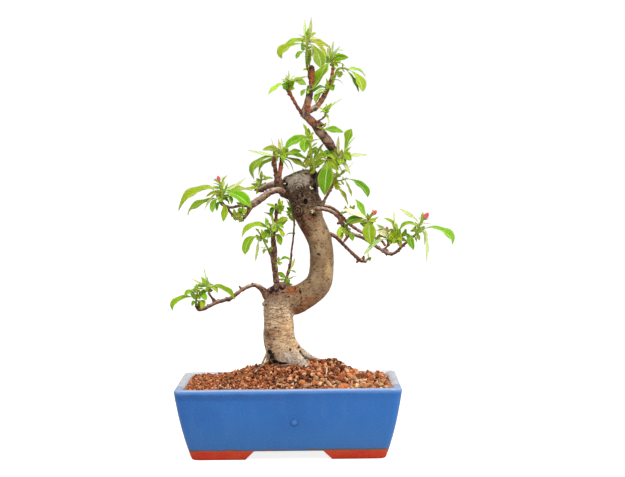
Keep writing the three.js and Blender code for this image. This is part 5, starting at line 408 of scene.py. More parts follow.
        ('g', 4.6, 0, 0.46, [(-23.5, 18.9, 268.9), (-29.4, 23.9, 270.6)]),
        ('g', 9.7, 0, 0.5, [(-23.3, 18.8, 267.8), (-25.7, 29.9, 272.2), (-28.1, 41, 272)]),
    ]),
    'shoot_right_inner': ([[(39.7, -27.3, 249, 1.1), (39, -30, 248.8, 1.1), (37.3, -32.5, 249.8, 1), (36.2, -33.5, 250.1, 1)]], [
        ('y', 6.5, 22, 0.6, [(36.5, -33.2, 249.8), (31.4, -35.8, 252.2), (29.4, -39.2, 242.8)]),
        ('y', 4.7, 6, 0.6, [(36.6, -33.1, 250), (36.5, -33.1, 249.6), (33.1, -35.7, 246.6), (32.2, -38.1, 240.5)]),
        ('o', 4.5, 0, 0.46, [(36.8, -32.8, 249.6), (39.7, -37.8, 244.4)]),
        ('g', 6.2, 19, 0.6, [(38.2, -30.9, 248.9), (43.1, -34.7, 245.3), (44.8, -37.9, 238.7)]),
        ('d', 3.9, 21, 0.46, [(37.6, -32.1, 249.8), (39.1, -35.1, 258.8)]),
        ('y', 4.5, 0, 0.46, [(36.4, -33.3, 249.8), (30.2, -28.3, 254.2)]),
        ('g', 9.9, 0, 0.5, [(37.8, -31.7, 249.5), (39.4, -20.3, 253.3), (40.9, -9, 252.4)]),
        ('g', 8.8, 0, 0.5, [(37.8, -31.7, 249.5), (35.4, -37.3, 250.2), (33, -43, 248.5)]),
    ]),
    'shoot_right_upper': ([[(31.1, 17.8, 268, 1), (32.1, 15, 267.6, 1), (36.4, 14, 269.5, 1), (41, 12, 270.8, 0.9), (45.5, 10, 271.6, 0.7)]], [
        ('g', 3.7, 0, 0.46, [(44.4, 10.5, 271.3), (43.6, 7.5, 278.5)]),
        ('g', 3.7, 0, 0.46, [(45.2, 10.2, 271.5), (48.8, 7.2, 278.4)]),
        ('o', 3.7, 0, 0.46, [(41, 12, 270.8), (35.5, 8, 275.1)]),
        ('g', 3.9, 0, 0.46, [(36.7, 13.9, 269.5), (31.4, 7.9, 269.2)]),
        ('d', 4.3, 42, 0.46, [(43.2, 11, 271.3), (53, 15, 269.1)]),
        ('y', 3.7, 0, 0.46, [(44.4, 10.5, 271.3), (46.4, 14.5, 276.1)]),
        ('g', 8.8, 0, 0.5, [(41.4, 11.8, 270.9), (44, 21.9, 271.5), (46.5, 32, 267.9)]),
        ('g', 7.9, 0, 0.5, [(37.5, 13.5, 269.8), (39.4, 22.5, 273.4), (41.4, 31.5, 273.2)]),
    ]),
    'shoot_right_big': ([[(58.1, -32, 240.9, 1.2), (59, -34.6, 243.2, 1.2), (60.3, -35, 250.8, 1.2), (61.5, -35.5, 258.6, 1.2), (62.3, -36, 263.6, 1.2)], [(62.3, -36, 262.5, 1), (64.5, -37, 265.3, 1.3), (67.1, -38, 268.9, 1.8)]], [
        ('g', 11, 43, 0.52, [(62.3, -36, 263.9), (59, -33.8, 267), (56.1, -32, 270.7), (53.5, -30, 276.5), (51.1, -28.5, 281), (48.2, -27, 285.3)]),
        ('w', 9.6, 47, 0.5, [(62.3, -36, 263.4), (53.9, -39.4, 267.4), (44.3, -42.3, 271.2), (34, -45, 274.7)]),
        ('d', 10.4, 37, 0.62, [(61.8, -35.8, 262), (54.4, -38.1, 263.6), (45.4, -40.1, 262.8), (37.9, -41.8, 258.5)]),
        ('y', 8.6, 64, 0.46, [(61.6, -35.6, 259.7), (51.2, -30.8, 259.2), (41.9, -27.6, 256.9)]),
        ('g', 17.3, 0, 0.44, [(62.2, -35.9, 262.5), (63.1, -37.3, 259.8), (63.4, -41.2, 247.6), (65.3, -44.9, 233.6)]),
        ('g', 3.6, 0, 0.46, [(62.3, -36, 262.5), (61.7, -39, 270.2)]),
        ('s', 1.2, 0, 0.46, [(63.1, -36.3, 263.3), (71.1, -38.9, 263.1), (74.8, -40.3, 267.2)]),
        ('y', 4.9, 54, 0.46, [(62.3, -35.9, 262.3), (71.3, -43.9, 259.5)]),
        ('y', 5.4, 52, 0.46, [(62.5, -36.2, 263.1), (68, -33.6, 261.9), (74, -31.2, 265.4)]),
        ('g', 4, 0, 0.46, [(62.1, -35.7, 260.8), (56.3, -29.7, 256.8)]),
        ('g', 11.3, 0, 0.5, [(61.7, -35.6, 259.7), (59.5, -22.7, 259.6), (57.4, -9.7, 254)]),
        ('g', 12.2, 0, 0.5, [(61.5, -35.5, 258.6), (64.8, -21.5, 260), (68.2, -7.5, 255.5)]),
        ('y', 8.8, 0, 0.5, [(61.8, -35.7, 260.3), (64, -25.7, 264.1), (66.3, -15.7, 263.7)]),
    ]),
    'shoot_right_mid': ([[(84.5, -36, 238.8, 1.3), (85, -38.7, 239.9, 1.3), (88.8, -39, 240.8, 1.2), (93.3, -39.5, 242.2, 1.2), (97.7, -40, 242.7, 0.9)], [(85.2, -38.8, 240, 0.9), (84.2, -39, 243.9, 0.9), (83.6, -39, 248.6, 1)]], [
        ('w', 7.2, 0, 0.5, [(84.7, -38.9, 241), (79.8, -42.8, 246.9), (72.2, -45.9, 249)]),
        ('o', 7.3, 53, 0.46, [(84.9, -38.7, 240), (76.7, -34.7, 243.3), (69.3, -31.7, 238)]),
        ('p', 7, 43, 0.5, [(85, -38.7, 239.8), (78.7, -40.2, 240.1), (73.1, -41.3, 238), (68, -42.4, 234.2), (62.3, -43.5, 228.7), (56.6, -44.7, 222.9)]),
        ('y', 5.6, 0, 0.46, [(93.3, -39.5, 242.1), (83.9, -46.5, 247.2)]),
        ('y', 5.6, 0, 0.46, [(93.6, -39.5, 242.3), (88.4, -32.5, 252.3)]),
        ('g', 5.6, 0, 0.46, [(95.5, -39.8, 242.5), (97.6, -44.8, 253.2)]),
        ('y', 5.8, 15, 0.46, [(96.6, -39.9, 242.6), (103, -36.1, 246.4), (105.2, -33.9, 251.7)]),
        ('y', 6.7, 0, 0.46, [(93.8, -39.6, 242), (89.3, -47.6, 235.6)]),
        ('o', 5.8, 0, 0.46, [(95.8, -39.8, 242.4), (98.1, -45.8, 231.3)]),
        ('o', 4.7, 0, 0.46, [(97.4, -40, 242.5), (104.8, -47, 238.1)]),
        ('g', 5.4, 45, 0.46, [(95.5, -39.7, 242.4), (107.2, -35.7, 245.8)]),
        ('g', 11.4, 68, 0.46, [(93.6, -39.5, 242.4), (93.3, -41.2, 251.7), (88.8, -42.3, 258.5), (79.7, -43.5, 264.2)]),
        ('p', 4.6, 39, 0.46, [(93.3, -39.5, 242.4), (91.3, -36.6, 253.9), (86.2, -34.5, 263.6)]),
        ('p', 6.2, 68, 0.46, [(92.7, -39.5, 242.4), (91.1, -41.1, 257.3), (90.9, -42.5, 273.3)]),
        ('g', 4.9, 0, 0.46, [(89.1, -39, 240.8), (85.2, -45, 234.7)]),
        ('g', 5.6, 0, 0.46, [(90.5, -39.2, 241.1), (83.6, -48.2, 241.7)]),
        ('y', 5.1, 23, 0.46, [(91, -39.2, 241.4), (92.9, -48.2, 250.3)]),
        ('p', 5.8, 0, 0.46, [(84.4, -39, 243.4), (79.1, -31.9, 251.6), (71.8, -27, 257.1)]),
        ('d', 6.2, 57, 0.46, [(84.2, -39, 244.5), (75.6, -35.2, 250.3), (71.2, -34, 250.1)]),
        ('g', 11.3, 0, 0.5, [(93.6, -39.5, 242.2), (96.3, -26.5, 247), (99, -13.5, 246.3)]),
        ('g', 11.2, 0, 0.5, [(89.9, -39.1, 241.1), (88.2, -26.1, 245.6), (86.6, -13, 244.7)]),
        ('y', 8.8, 0, 0.5, [(95.5, -39.8, 242.4), (97.4, -46.8, 242.4), (99.2, -53.8, 239.3)]),
        ('g', 11.2, 0, 0.5, [(93.8, -39.6, 242.2), (92.7, -26.5, 242.5), (91.6, -13.5, 237.3)]),
    ]),
    'shoot_right_tip': ([[(104.4, -43, 236.4, 1.2), (105.5, -45.3, 237.5, 1.2), (109.7, -45.5, 241.1, 1.3), (114.2, -46, 245, 1.3), (116.4, -47, 249.4, 1.3), (118.6, -47.5, 254.4, 1.3), (120.8, -48, 258.9, 1.4), (123.3, -48.5, 263.5, 2.2)]], [
        ('g', 11.2, 67, 0.5, [(118.4, -47.4, 253.3), (113.2, -45.2, 256.1), (107.7, -43.7, 257.3), (103.1, -42.5, 255.9), (99.4, -41.4, 252.9), (96.4, -40.4, 249.4)]),
        ('g', 9.1, 0, 0.42, [(113.9, -46, 244.6), (110.5, -47.9, 244), (108.6, -49.6, 240.4), (109.7, -51.5, 235.2), (111.2, -53, 231.4), (111.6, -54, 228.3)]),
        ('d', 4, 0, 0.46, [(110.8, -45.6, 242), (103.8, -51.6, 243.8)]),
        ('d', 6.9, 54, 0.46, [(111.9, -45.8, 243.1), (102.7, -41.7, 246.1), (103.4, -39.8, 252.4)]),
        ('o', 4.5, 0, 0.46, [(114.2, -46, 245), (117.3, -48.9, 243.9), (119, -52, 239)]),
        ('g', 3.7, 39, 0.46, [(113.6, -45.9, 244.4), (115.3, -50.9, 237.3)]),
        ('p', 6.1, 36, 0.6, [(118.6, -47.5, 254.2), (117.2, -46.4, 259.8), (112.5, -45.5, 264.4), (105, -44.5, 269.1), (97.6, -43.5, 274.3)]),
        ('p', 2.9, 0, 0.46, [(116.7, -47.1, 250), (117.7, -44.7, 254.4), (114.2, -42.1, 260.2)]),
        ('g', 19.7, 67, 0.66, [(118, -47.4, 253), (124.6, -49, 252.3), (131.6, -50.4, 253.4), (138.1, -51.5, 251.8), (144.6, -52.6, 248.7), (150.3, -53.7, 244.6), (153.9, -54.5, 240.2), (154.9, -55.4, 234.3)]),
        ('p', 8.8, 66, 0.5, [(118.3, -47.4, 253.6), (125.1, -50.2, 250), (125.8, -53.8, 236.2), (126.1, -58.4, 215.4)]),
        ('p', 4.6, 48, 0.46, [(117.8, -47.3, 252.4), (123.9, -44.7, 247.6), (124.9, -41.3, 233.2)]),
        ('s', 1.2, 0, 0.46, [(120.8, -48, 258.3), (125.1, -50.3, 258.3), (131.8, -53, 257.6)]),
        ('s', 1.2, 0, 0.46, [(122.5, -48.3, 261.7), (127.4, -50.1, 262.4), (131.5, -51.3, 265)]),
        ('s', 1.3, 0, 0.46, [(116.6, -47, 249.8), (119.6, -48.1, 247.5), (123.3, -49, 250.2)]),
        ('y', 4.6, 47, 0.46, [(121.4, -48.1, 260), (123.7, -45.1, 270.8)]),
        ('g', 10.2, 0, 0.5, [(115.6, -46.6, 247.8), (114.1, -34.7, 251.5), (112.7, -22.7, 250.4)]),
        ('g', 10.6, 0, 0.5, [(118, -47.4, 253), (120.9, -35.4, 252.8), (123.9, -23.4, 247.5)]),
        ('y', 8.8, 0, 0.5, [(114.7, -46.2, 246.1), (116.3, -52.7, 248.2), (117.9, -59.2, 247.6)]),
    ]),
    'leaf_lower_right': ([[(61.1, 43.5, 212.1, 1.1), (63.3, 43.5, 213.8, 1.1), (64.9, 43.5, 214.3, 0.9)]], [
        ('g', 4, 0, 0.46, [(64.5, 43.5, 214.2), (68.3, 41.5, 216.4)]),
    ]),
}
BUDS = {
    'flower_bud_left': ((-103.8, -36.5, 306.9), (-105, -37.5, 313.8), 4.7),
    'flower_bud_inner': ((67.8, -38.4, 268), (72.3, -39.4, 273.3), 5.1),
    'flower_bud_small': ((83.6, -39.2, 249.8), (82.9, -40.2, 255.2), 3.6),
    'flower_bud_right': ((124.3, -48.7, 263.4), (129.7, -49.7, 270.5), 6.2),
}
PARENTS = [('apex_leader', 'trunk'), ('apex_fork_right', 'apex_leader'), ('apex_fork_left', 'apex_leader'), ('twig_leader', 'apex_leader'), ('stub_upper_left', 'trunk'), ('branch_upper_left', 'trunk'), ('branch_back_left', 'trunk'), ('twig_up_right', 'trunk'), ('branch_right', 'trunk'), ('branch_right_back', 'trunk'), ('branch_lower_right', 'trunk'), ('twig_center_left', 'trunk'), ('twig_center_right', 'trunk'), ('branch_lower_left', 'trunk')]
# marks on the bark: kind, place, half width, half height, strength
FEATURES = [
    ('grey', -16.2, -18, 307.4, 13.7, 8.5, 1),
    ('grey', -23.1, -15.4, 300.2, 5.7, 5.7, 0.75),
    ('whorl', -16.3, -13.3, 272.7, 5.2, 5.7, 1),
    ('whorl', -15.5, -17.9, 299.1, 5.7, 4.6, 0.8),
    ('arc', -14.6, -18.1, 300.7, 18.2, 14.8, 0.3),
    ('pit', -7.5, -17.3, 283.1, 2.5, 3.3, 1),
    ('pit', -29.6, -9.5, 302.8, 2.2, 2.2, 1),
    ('dark', -11.9, -17.8, 292.1, 6.3, 1.3, 0.55),
    ('dark', -9.8, -16.7, 276.9, 4.1, 1, 0.5),
    ('dark', -22.2, -11.9, 285.4, 1.8, 4.6, 0.45),
    ('dark', -18.2, -13.7, 280.8, 4.6, 1, 0.5),
    ('dark', -20.4, -14.8, 290.1, 5.1, 1, 0.45),
    ('dark', -13.9, -12.9, 266.1, 5.7, 3.9, 0.62),
    ('dark', -10.5, -12.8, 260.4, 6.3, 4.3, 0.6),
    ('dark', -6.1, -13.4, 255.3, 3.4, 2.3, 0.5),
    ('dark', 1.4, -15, 267.7, 4.8, 3.2, 0.8),
    ('dark', -3.7, -15.2, 262.7, 3, 2.3, 0.6),
    ('dark', 1.9, -5.1, 311.8, 3.9, 6.3, 1),
    ('dark', 4.1, -7.7, 299.8, 3, 5.7, 1),
    ('dark', -1.6, -13.4, 304.5, 2.5, 3.6, 0.7),
    ('dark', -6, -14.3, 314.7, 3.4, 2.5, 0.75),
    ('dark', 0, -14.4, 292.6, 3.4, 1.8, 0.7),
    ('dark', 7.8, -9.3, 278, 3.4, 2, 0.85),
    ('dark', -27.8, -8.6, 293.9, 3.6, 3.9, 0.6),
    ('dark', -31.1, -5.3, 297.4, 2.7, 3.4, 0.7),
    ('bump', 5.9, -10.7, 282.8, 3.6, 4.1, 1),
    ('eye', 6.8, -12.6, 223.2, 5, 3.3, 0.62),
    ('dark', -2.2, -5.7, 191.2, 3.2, 1.4, 0.75),
    ('stain', -25.1, -3.4, 182.2, 10, 6.1, 1),
    ('stain', -33, -11.3, 178.9, 5.7, 3.4, 0.6),
    ('dark', -14.5, -6.2, 180.2, 1.8, 5.1, 0.7),
    ('dark', -13.6, -7.8, 171.2, 1.7, 6.3, 0.6),
    ('dark', -29.1, -9.7, 174.9, 5.1, 1.7, 0.7),
    ('stain', -2.4, -5.4, 170.9, 14.8, 5.2, 0.5),
    ('dark', -19.1, -2.9, 157.8, 3, 3.4, 0.35),
    # the tan marks are painted highlights
    ('tan', -31.1, -15, 140.1, 10.2, 10.2, 0.85),
    ('tan', -23.4, -12.2, 122.7, 8.5, 6.8, 0.7),
    ('tan', -34.5, -17.2, 129.5, 8, 5.7, 0.6),
    ('tan', 16.2, -10.1, 214.2, 3.4, 22.8, 0.55),
    ('tan', 7.4, -13.7, 243.9, 8, 10.2, 0.2),
    ('red', -45.5, -10.7, 178, 9.1, 4.6, 0.6),
    ('burr', -51.7, -6.9, 180.8, 4.1, 3.6, 0.95),
    ('burr', -45.5, -7.8, 183.5, 5.2, 4.8, 1),
    ('burr', -38.6, -8.1, 185.1, 5.5, 5.7, 1),
    ('burr', -32.4, -4.7, 187.1, 3.6, 3.4, 0.9),
    ('dark', -34.1, -11.2, 180.1, 5.1, 1, 0.8),
    ('dark', -25.2, 9.2, 187.6, 4.6, 1, 0.6),
    ('dark', -20.5, -0.9, 185, 1, 3.9, 0.7),
    ('stain', -7.1, -3.3, 164, 10.2, 3.4, 0.8),
    ('stain', -15.1, -2.9, 159.4, 9.1, 3, 0.8),
    ('stain', -46.9, -15.7, 136.3, 4.8, 4.8, 0.8),
    ('stain', -39.6, -17.6, 133.6, 3.9, 3.4, 0.5),
    ('red', -50.7, -13.6, 132.2, 3.6, 4.8, 1),
    ('dark', -51.3, -12.8, 133.3, 1.6, 1.8, 0.6),
    ('dark', -45.2, -16.8, 127.2, 2, 1.3, 0.7),
    ('dark', -42.9, -16.8, 140.4, 1.8, 1.4, 0.7),
    ('whorl', -27.6, -17, 116.9, 4.4, 4.7, 0.36),
    ('dark', -26.9, -16.9, 115.9, 1.4, 2.3, 1),
    # these four dark marks are painted shade in the hollow at the left of the foot
    ('dark', -50.6, -12.8, 118.5, 3, 3.4, 0.55),
    ('dark', -50.1, -11.4, 112.1, 4.1, 4.1, 1),
    ('dark', -47.8, -15.8, 107.4, 5, 5.5, 1),
    ('dark', -44.6, -11.2, 101.2, 5, 3.6, 1),
    # these four thin dark marks are painted shadow along the soil line
    ('dark', -36, -14.4, 99.9, 8, 1.7, 1),
    ('dark', -27, -15, 96.7, 6.8, 1.6, 1),
    ('dark', -18, -12.3, 94, 6.8, 1.4, 1),
    ('dark', -10.6, -21.5, 93.3, 4.6, 1.4, 1),
    ('dark', -31.6, -6.7, 306.2, 2.5, 2.5, 0.8),
    ('dark', -24.8, -2.6, 312.5, 5, 1.4, 0.85),
    ('dark', -16.8, -2.2, 315.5, 5, 1.3, 0.85),
    ('dark', -0.3, -6.1, 316.9, 4.6, 2.3, 0.85),
    ('dark', -14.8, -13.9, 113.5, 1.7, 2.2, 0.8),
    ('dark', -13.6, -14.7, 111.9, 1.7, 2.2, 0.8),
    ('dark', -12.4, -15.6, 110.3, 1.7, 2.2, 0.8),
    ('dark', -11, -15.7, 108.6, 1.7, 2.2, 0.8),
    ('dark', -9.8, -15.6, 107, 1.7, 2.2, 0.8),
    ('dark', -8.6, -15.4, 105.4, 1.7, 2.2, 0.8),
    ('dark', -7.3, -14.8, 103.6, 1.7, 2.2, 0.8),
    ('dark', -6.1, -13.8, 101.9, 1.7, 2.2, 0.8),
    ('dark', -4.8, -13.6, 100.1, 1.7, 2.2, 0.8),
    ('dark', -3.5, -15.5, 98.7, 1.7, 2.2, 0.8),
    ('dark', -16.8, -10.2, 117.9, 1.8, 1.9, 0.9),
    ('dark', -43.4, -9.5, 182.3, 8.5, 5.7, 0.62),
    ('dark', -48.9, -8.7, 180, 3.9, 3, 0.8),
    ('dark', -35.8, -8.1, 184.7, 4.6, 2.7, 0.75),
    ('dark', -40.3, -12.5, 177.9, 3.9, 1.4, 0.5),
    ('dark', -42.1, -15.7, 164.8, 3.6, 1.1, 0.8),
    ('dark', -28.6, -10.4, 168.1, 2.7, 1, 0.5),
    ('dark', -53.6, -8.2, 165.9, 2.3, 2.3, 0.7),
    ('red', -9.5, -8.9, 250.7, 8.5, 15.9, 1),
    ('dark', -10.8, -10.6, 255.3, 3, 4.1, 0.5),
    ('dark', -7.9, -8.4, 247.3, 1.8, 3.9, 0.4),
    ('dark', -9.9, 0, 240.2, 1.5, 3.4, 0.4),
    ('red', -5.2, 0, 232.2, 3.4, 11.4, 0.5),
    ('red', -14.5, -11.1, 263.3, 8, 8, 1),
    ('red', -28.3, -7.5, 293.9, 4.6, 5.7, 0.8),
    ('red', -0.3, -15.3, 265.5, 7.4, 6.8, 0.9),
    ('red', -49.4, -14.3, 120.3, 3.4, 4.6, 0.7),
]
EXTRA = [
    ([(-50.3, -2, 165.2), (-55.9, -5, 167)], 2.5, 2),
    ([(-18.7, -4, 115.1), (-16.6, -7, 118.5)], 1.5, 1.5),
    ([(1.1, 2, 293.5), (1.5, 3, 303.8), (0.9, 4, 313.5)], 5.5, 3),
    ([(3.8, -3, 279.9), (6.7, -2, 282.4)], 4.3, 3),
    ([(-31.9, -2, 291.7), (-27.8, 0, 299.5)], 4.8, 3),
    ([(-26.6, 0, 302.9), (-27.8, 2, 306.9)], 5.2, 3),
    ([(-47.3, -3, 180.3), (-36.5, 0, 183.4)], 5.9, 3),
    ([(-51.4, -3, 119.3), (-50.7, -2, 114.6)], 2.5, 1.5),
]
# marks on the wood: node, kind, place, half width, half height, strength
WMARKS = [
    ('stub_upper_left', 'rust', -35.5, 2.5, 321.2, 2.5, 6.8, 0.95),
    ('stub_upper_left', 'dark', -40, -2, 316.7, 2.5, 2.3, 0.6),
    ('apex_leader', 'rust', 1.2, 3, 424.8, 3.4, 9.1, 0.95),
    ('apex_leader', 'dark', 0.7, 4, 433.9, 3.6, 1.4, 0.9),
    ('apex_leader', 'dark', -2.1, 3, 416.9, 1.3, 4.6, 0.7),
    ('apex_leader', 'dark', -0.9, 1.5, 404.5, 5.1, 3.9, 1),
    # the 'light' marks are painted highlights
    ('apex_leader', 'light', -3.3, 1, 395.8, 2.5, 5.2, 0.45),
    ('apex_leader', 'rust', -2.6, 0, 391.8, 3.6, 6.3, 0.55),
    ('apex_leader', 'rust', -3, -1, 385.5, 5.7, 1.7, 0.7),
    ('apex_leader', 'dark', -4.2, -1, 380.6, 6.3, 1.7, 0.9),
    ('apex_leader', 'light', -8.6, 0, 385.1, 1.1, 6.8, 0.6),
    ('apex_leader', 'rust', 0.2, -1, 373, 3, 4.6, 0.6),
    ('apex_leader', 'dark', 4.9, -2, 370.7, 1.6, 5.7, 0.7),
    ('apex_leader', 'dark', 7.9, -3, 364.5, 5.7, 1.4, 1),
    ('apex_leader', 'light', 10.9, -3, 359.3, 3.6, 4.1, 0.45),
    ('apex_leader', 'light', 19.1, -3, 353.5, 3.4, 4.1, 0.6),
    ('apex_leader', 'dark', 21.3, -2, 348, 5.9, 1.1, 0.9),
    ('apex_leader', 'dark', 22.1, -1, 341.6, 5.1, 4.8, 0.9),
    ('apex_leader', 'dark', 0.7, -2, 365.6, 2, 3.4, 0.6),
    ('apex_fork_right', 'rust', 24.9, 24, 426.2, 3, 13.7, 0.85),
    ('apex_fork_right', 'rust', 18.9, 19, 407.7, 3.4, 10.2, 0.55),
    ('apex_fork_right', 'rust', 11.3, 13, 393.9, 4.6, 6.8, 0.5),
    ('apex_fork_right', 'light', 16.6, 17, 408.8, 1.6, 4.6, 0.4),
    ('apex_fork_left', 'rust', -22, -13, 401.1, 3.4, 10.2, 0.5),
    ('apex_fork_left', 'dark', -11.5, -4, 383.8, 2.7, 2.7, 0.7),
]
# tufts of bud scales on the trunk: place, size, share of green
BARKBUDS = [
    (-1.1, -14.5, 297.7, 2.5, 0.25),
    (0.4, -15.7, 273, 3.1, 0.35),
    (-30.3, -8.7, 303.9, 1.5, 0.3),
    (-9.5, -3, 318, 2.2, 0.8),
    (-17.5, -4.1, 314.9, 1.3, 0.7),
    (-2.9, -0.8, 407.6, 2.2, 0.1),
    (-50.4, -13.1, 118.8, 1.4, 0),
]
STONES = [(-40.1, -11.0, 3.6, (124, 108, 98)), (-33.9, -12.0, 3.4, (138, 120, 108)), (-46.1, -8.0, 2.2, (98, 84, 76)), (-53.0, -8.0, 3.4, (168, 108, 70)), (-6.0, -24.0, 3.6, (96, 74, 62)), (-9.8, -29.0, 2.2, (108, 84, 74)), (-15.6, -35.0, 2.8, (206, 150, 104)), (23.2, 15.0, 2.6, (120, 70, 48)), (-10.5, -44.0, 3.6, (232, 190, 144)), (-1.6, -45.0, 3.2, (226, 170, 118)), (81.2, -25.0, 3.6, (236, 190, 134)), (74.3, -58.0, 3.0, (226, 176, 128)), (70.4, 23.0, 2.8, (224, 168, 126))]
ROOTLETS = [([(12.6, -18.0, 1.0), (14.5, -33.0, 3.2), (13.4, -46.0, 1.2)], 0.75, (232, 214, 192))]
PIMPLE = (-22, 42.5)
CUT_POINT = (-18.8, 3.0, 315.6)
CUT_NORMAL = (-0.34, -0.16, 0.93)
TRUNK_STEP = 0.88
WOOD_STEP = (0.35, 0.6)
FLOOR_GLOW = 0.86
WORLD = 0.46
EXPOSURE = 0.0
LIGHTS = [('key', (0.9, -1.5, 1.5), (0, 0, 0.2), (1.0, 1.0), 32.0, (1.0, 0.99, 0.97)), ('side_left', (-1.6, -0.4, 0.8), (0, 0, 0.2), (1.0, 1.4), 11.0, (0.98, 0.99, 1.0)), ('side_right', (1.7, 0.2, 0.7), (0, 0, 0.2), (1.0, 1.4), 11.0, (0.98, 0.99, 1.0)), ('top', (0, 0.1, 1.8), (0, 0, 0.1), (1.4, 1.0), 12.0, (1, 1, 1))]

# ---------------------------------------------------------------- camera
CAM_D, CAM_H = 2.089, 0.3146
PITCH, ROLL = math.atan(65.0 / 1836.0), math.radians(0.6)
F_ = Vector((0, math.cos(PITCH), -math.sin(PITCH)))
R0 = Vector((1, 0, 0))
U0 = Vector((0, math.sin(PITCH), math.cos(PITCH)))
R_ = R0 * math.cos(ROLL) - U0 * math.sin(ROLL)
U_ = R0 * math.sin(ROLL) + U0 * math.cos(ROLL)
cd = bpy.data.cameras.new("photo_camera")
cam = bpy.data.objects.new("photo_camera", cd)
bpy.context.scene.collection.objects.link(cam)
cam.matrix_world = Matrix(((R_.x, U_.x, -F_.x, 0), (R_.y, U_.y, -F_.y, -CAM_D), (R_.z, U_.z, -F_.z, CAM_H), (0, 0, 0, 1)))
cd.sensor_fit = "HORIZONTAL"
cd.sensor_width = 36.0
cd.lens = 36.0 * 1836.0 / 625.0
cd.clip_start, cd.clip_end = 0.05, 100.0
bpy.context.scene.camera = cam


# ---------------------------------------------------------------- numbers
def lin(r, g, b):
    out = []
    for c in (r, g, b):
        c = c / 255.0
        out.append(c / 12.92 if c <= 0.04045 else ((c + 0.055) / 1.055) ** 2.4)
    return tuple(out)


def smooth(a, b, x):
    t = np.clip((x - a) / (b - a), 0, 1)
    return t * t * (3 - 2 * t)


def _h(a, b, c, seed):
    n = (a * 73856093) ^ (b * 19349663) ^ (c * 83492791) ^ (seed * 26544357)
    n = ((n ^ (n >> 13)) * 1274126177) & 0xFFFFFFFF
    n = n ^ (n >> 15)
    n = (n * 2246822519) & 0xFFFFFFFF
    n = n ^ (n >> 13)
    return (n & 0xFFFF) / 32767.5 - 1.0


def vnoise(p, seed=1):
    i = np.floor(p).astype(np.int64)
    f = p - i
    f = f * f * f * (f * (f * 6 - 15) + 10)
    x, y, z = i[:, 0], i[:, 1], i[:, 2]
    fx, fy, fz = f[:, 0], f[:, 1], f[:, 2]
    r = 0
    for dx in (0, 1):
        for dy in (0, 1):
            for dz in (0, 1):
                w = (fx if dx else 1 - fx) * (fy if dy else 1 - fy) * (fz if dz else 1 - fz)
                r = r + w * _h(x + dx, y + dy, z + dz, seed)
    return r


def fbm(p, size, octaves=3, seed=1, gain=0.5):
    r, a, s = 0, 1.0, 1.0 / size
    t = 0
    for k in range(octaves):
        r = r + a * vnoise(p * s + 17.3 * k, seed + 31 * k)
        t += a
        a *= gain
        s *= 2.03
    return r / t


def catmull(P, step=1.5, least=2):
    """Centripetal curve through P (n, 3 or 4); a fourth column runs straight between the points."""
    P = np.asarray(P, float)
    if len(P) == 2:
        k = max(least, int(math.ceil(np.linalg.norm(P[1, :3] - P[0, :3]) / step)) + 1)
        t = np.linspace(0, 1, k)[:, None]
        return P[0] * (1 - t) + P[1] * t
    Q = np.vstack([2 * P[0] - P[1], P, 2 * P[-1] - P[-2]])
    out = []
    for i in range(len(P) - 1):
        p0, p1, p2, p3 = (Q[i + j, :3] for j in range(4))
        t0 = 0.0
        t1 = t0 + max(np.linalg.norm(p1 - p0), 1e-6) ** 0.5
        t2 = t1 + max(np.linalg.norm(p2 - p1), 1e-6) ** 0.5
        t3 = t2 + max(np.linalg.norm(p3 - p2), 1e-6) ** 0.5
        k = max(least, int(math.ceil(np.linalg.norm(p2 - p1) / step)))
        t = np.linspace(t1, t2, k + 1)[:-1, None]
        a1 = (t1 - t) / (t1 - t0) * p0 + (t - t0) / (t1 - t0) * p1
        a2 = (t2 - t) / (t2 - t1) * p1 + (t - t1) / (t2 - t1) * p2
        a3 = (t3 - t) / (t3 - t2) * p2 + (t - t2) / (t3 - t2) * p3
        b1 = (t2 - t) / (t2 - t0) * a1 + (t - t0) / (t2 - t0) * a2
        b2 = (t3 - t) / (t3 - t1) * a2 + (t - t1) / (t3 - t1) * a3
        c = (t2 - t) / (t2 - t1) * b1 + (t - t1) / (t2 - t1) * b2
        if P.shape[1] == 4:
            w = (t - t1) / (t2 - t1)
            c = np.hstack([c, P[i, 3] * (1 - w) + P[i + 1, 3] * w])
        out.append(c)
    out.append(P[-1:])
    return np.vstack(out)


def arc_points(C, u):
    """Points of the polyline C at the shares u of its length."""
    d = np.r_[0, np.cumsum(np.linalg.norm(np.diff(C[:, :3], axis=0), axis=1))]
    s = np.asarray(u) * d[-1]
    return np.stack([np.interp(s, d, C[:, k]) for k in range(C.shape[1])], 1), d[-1]


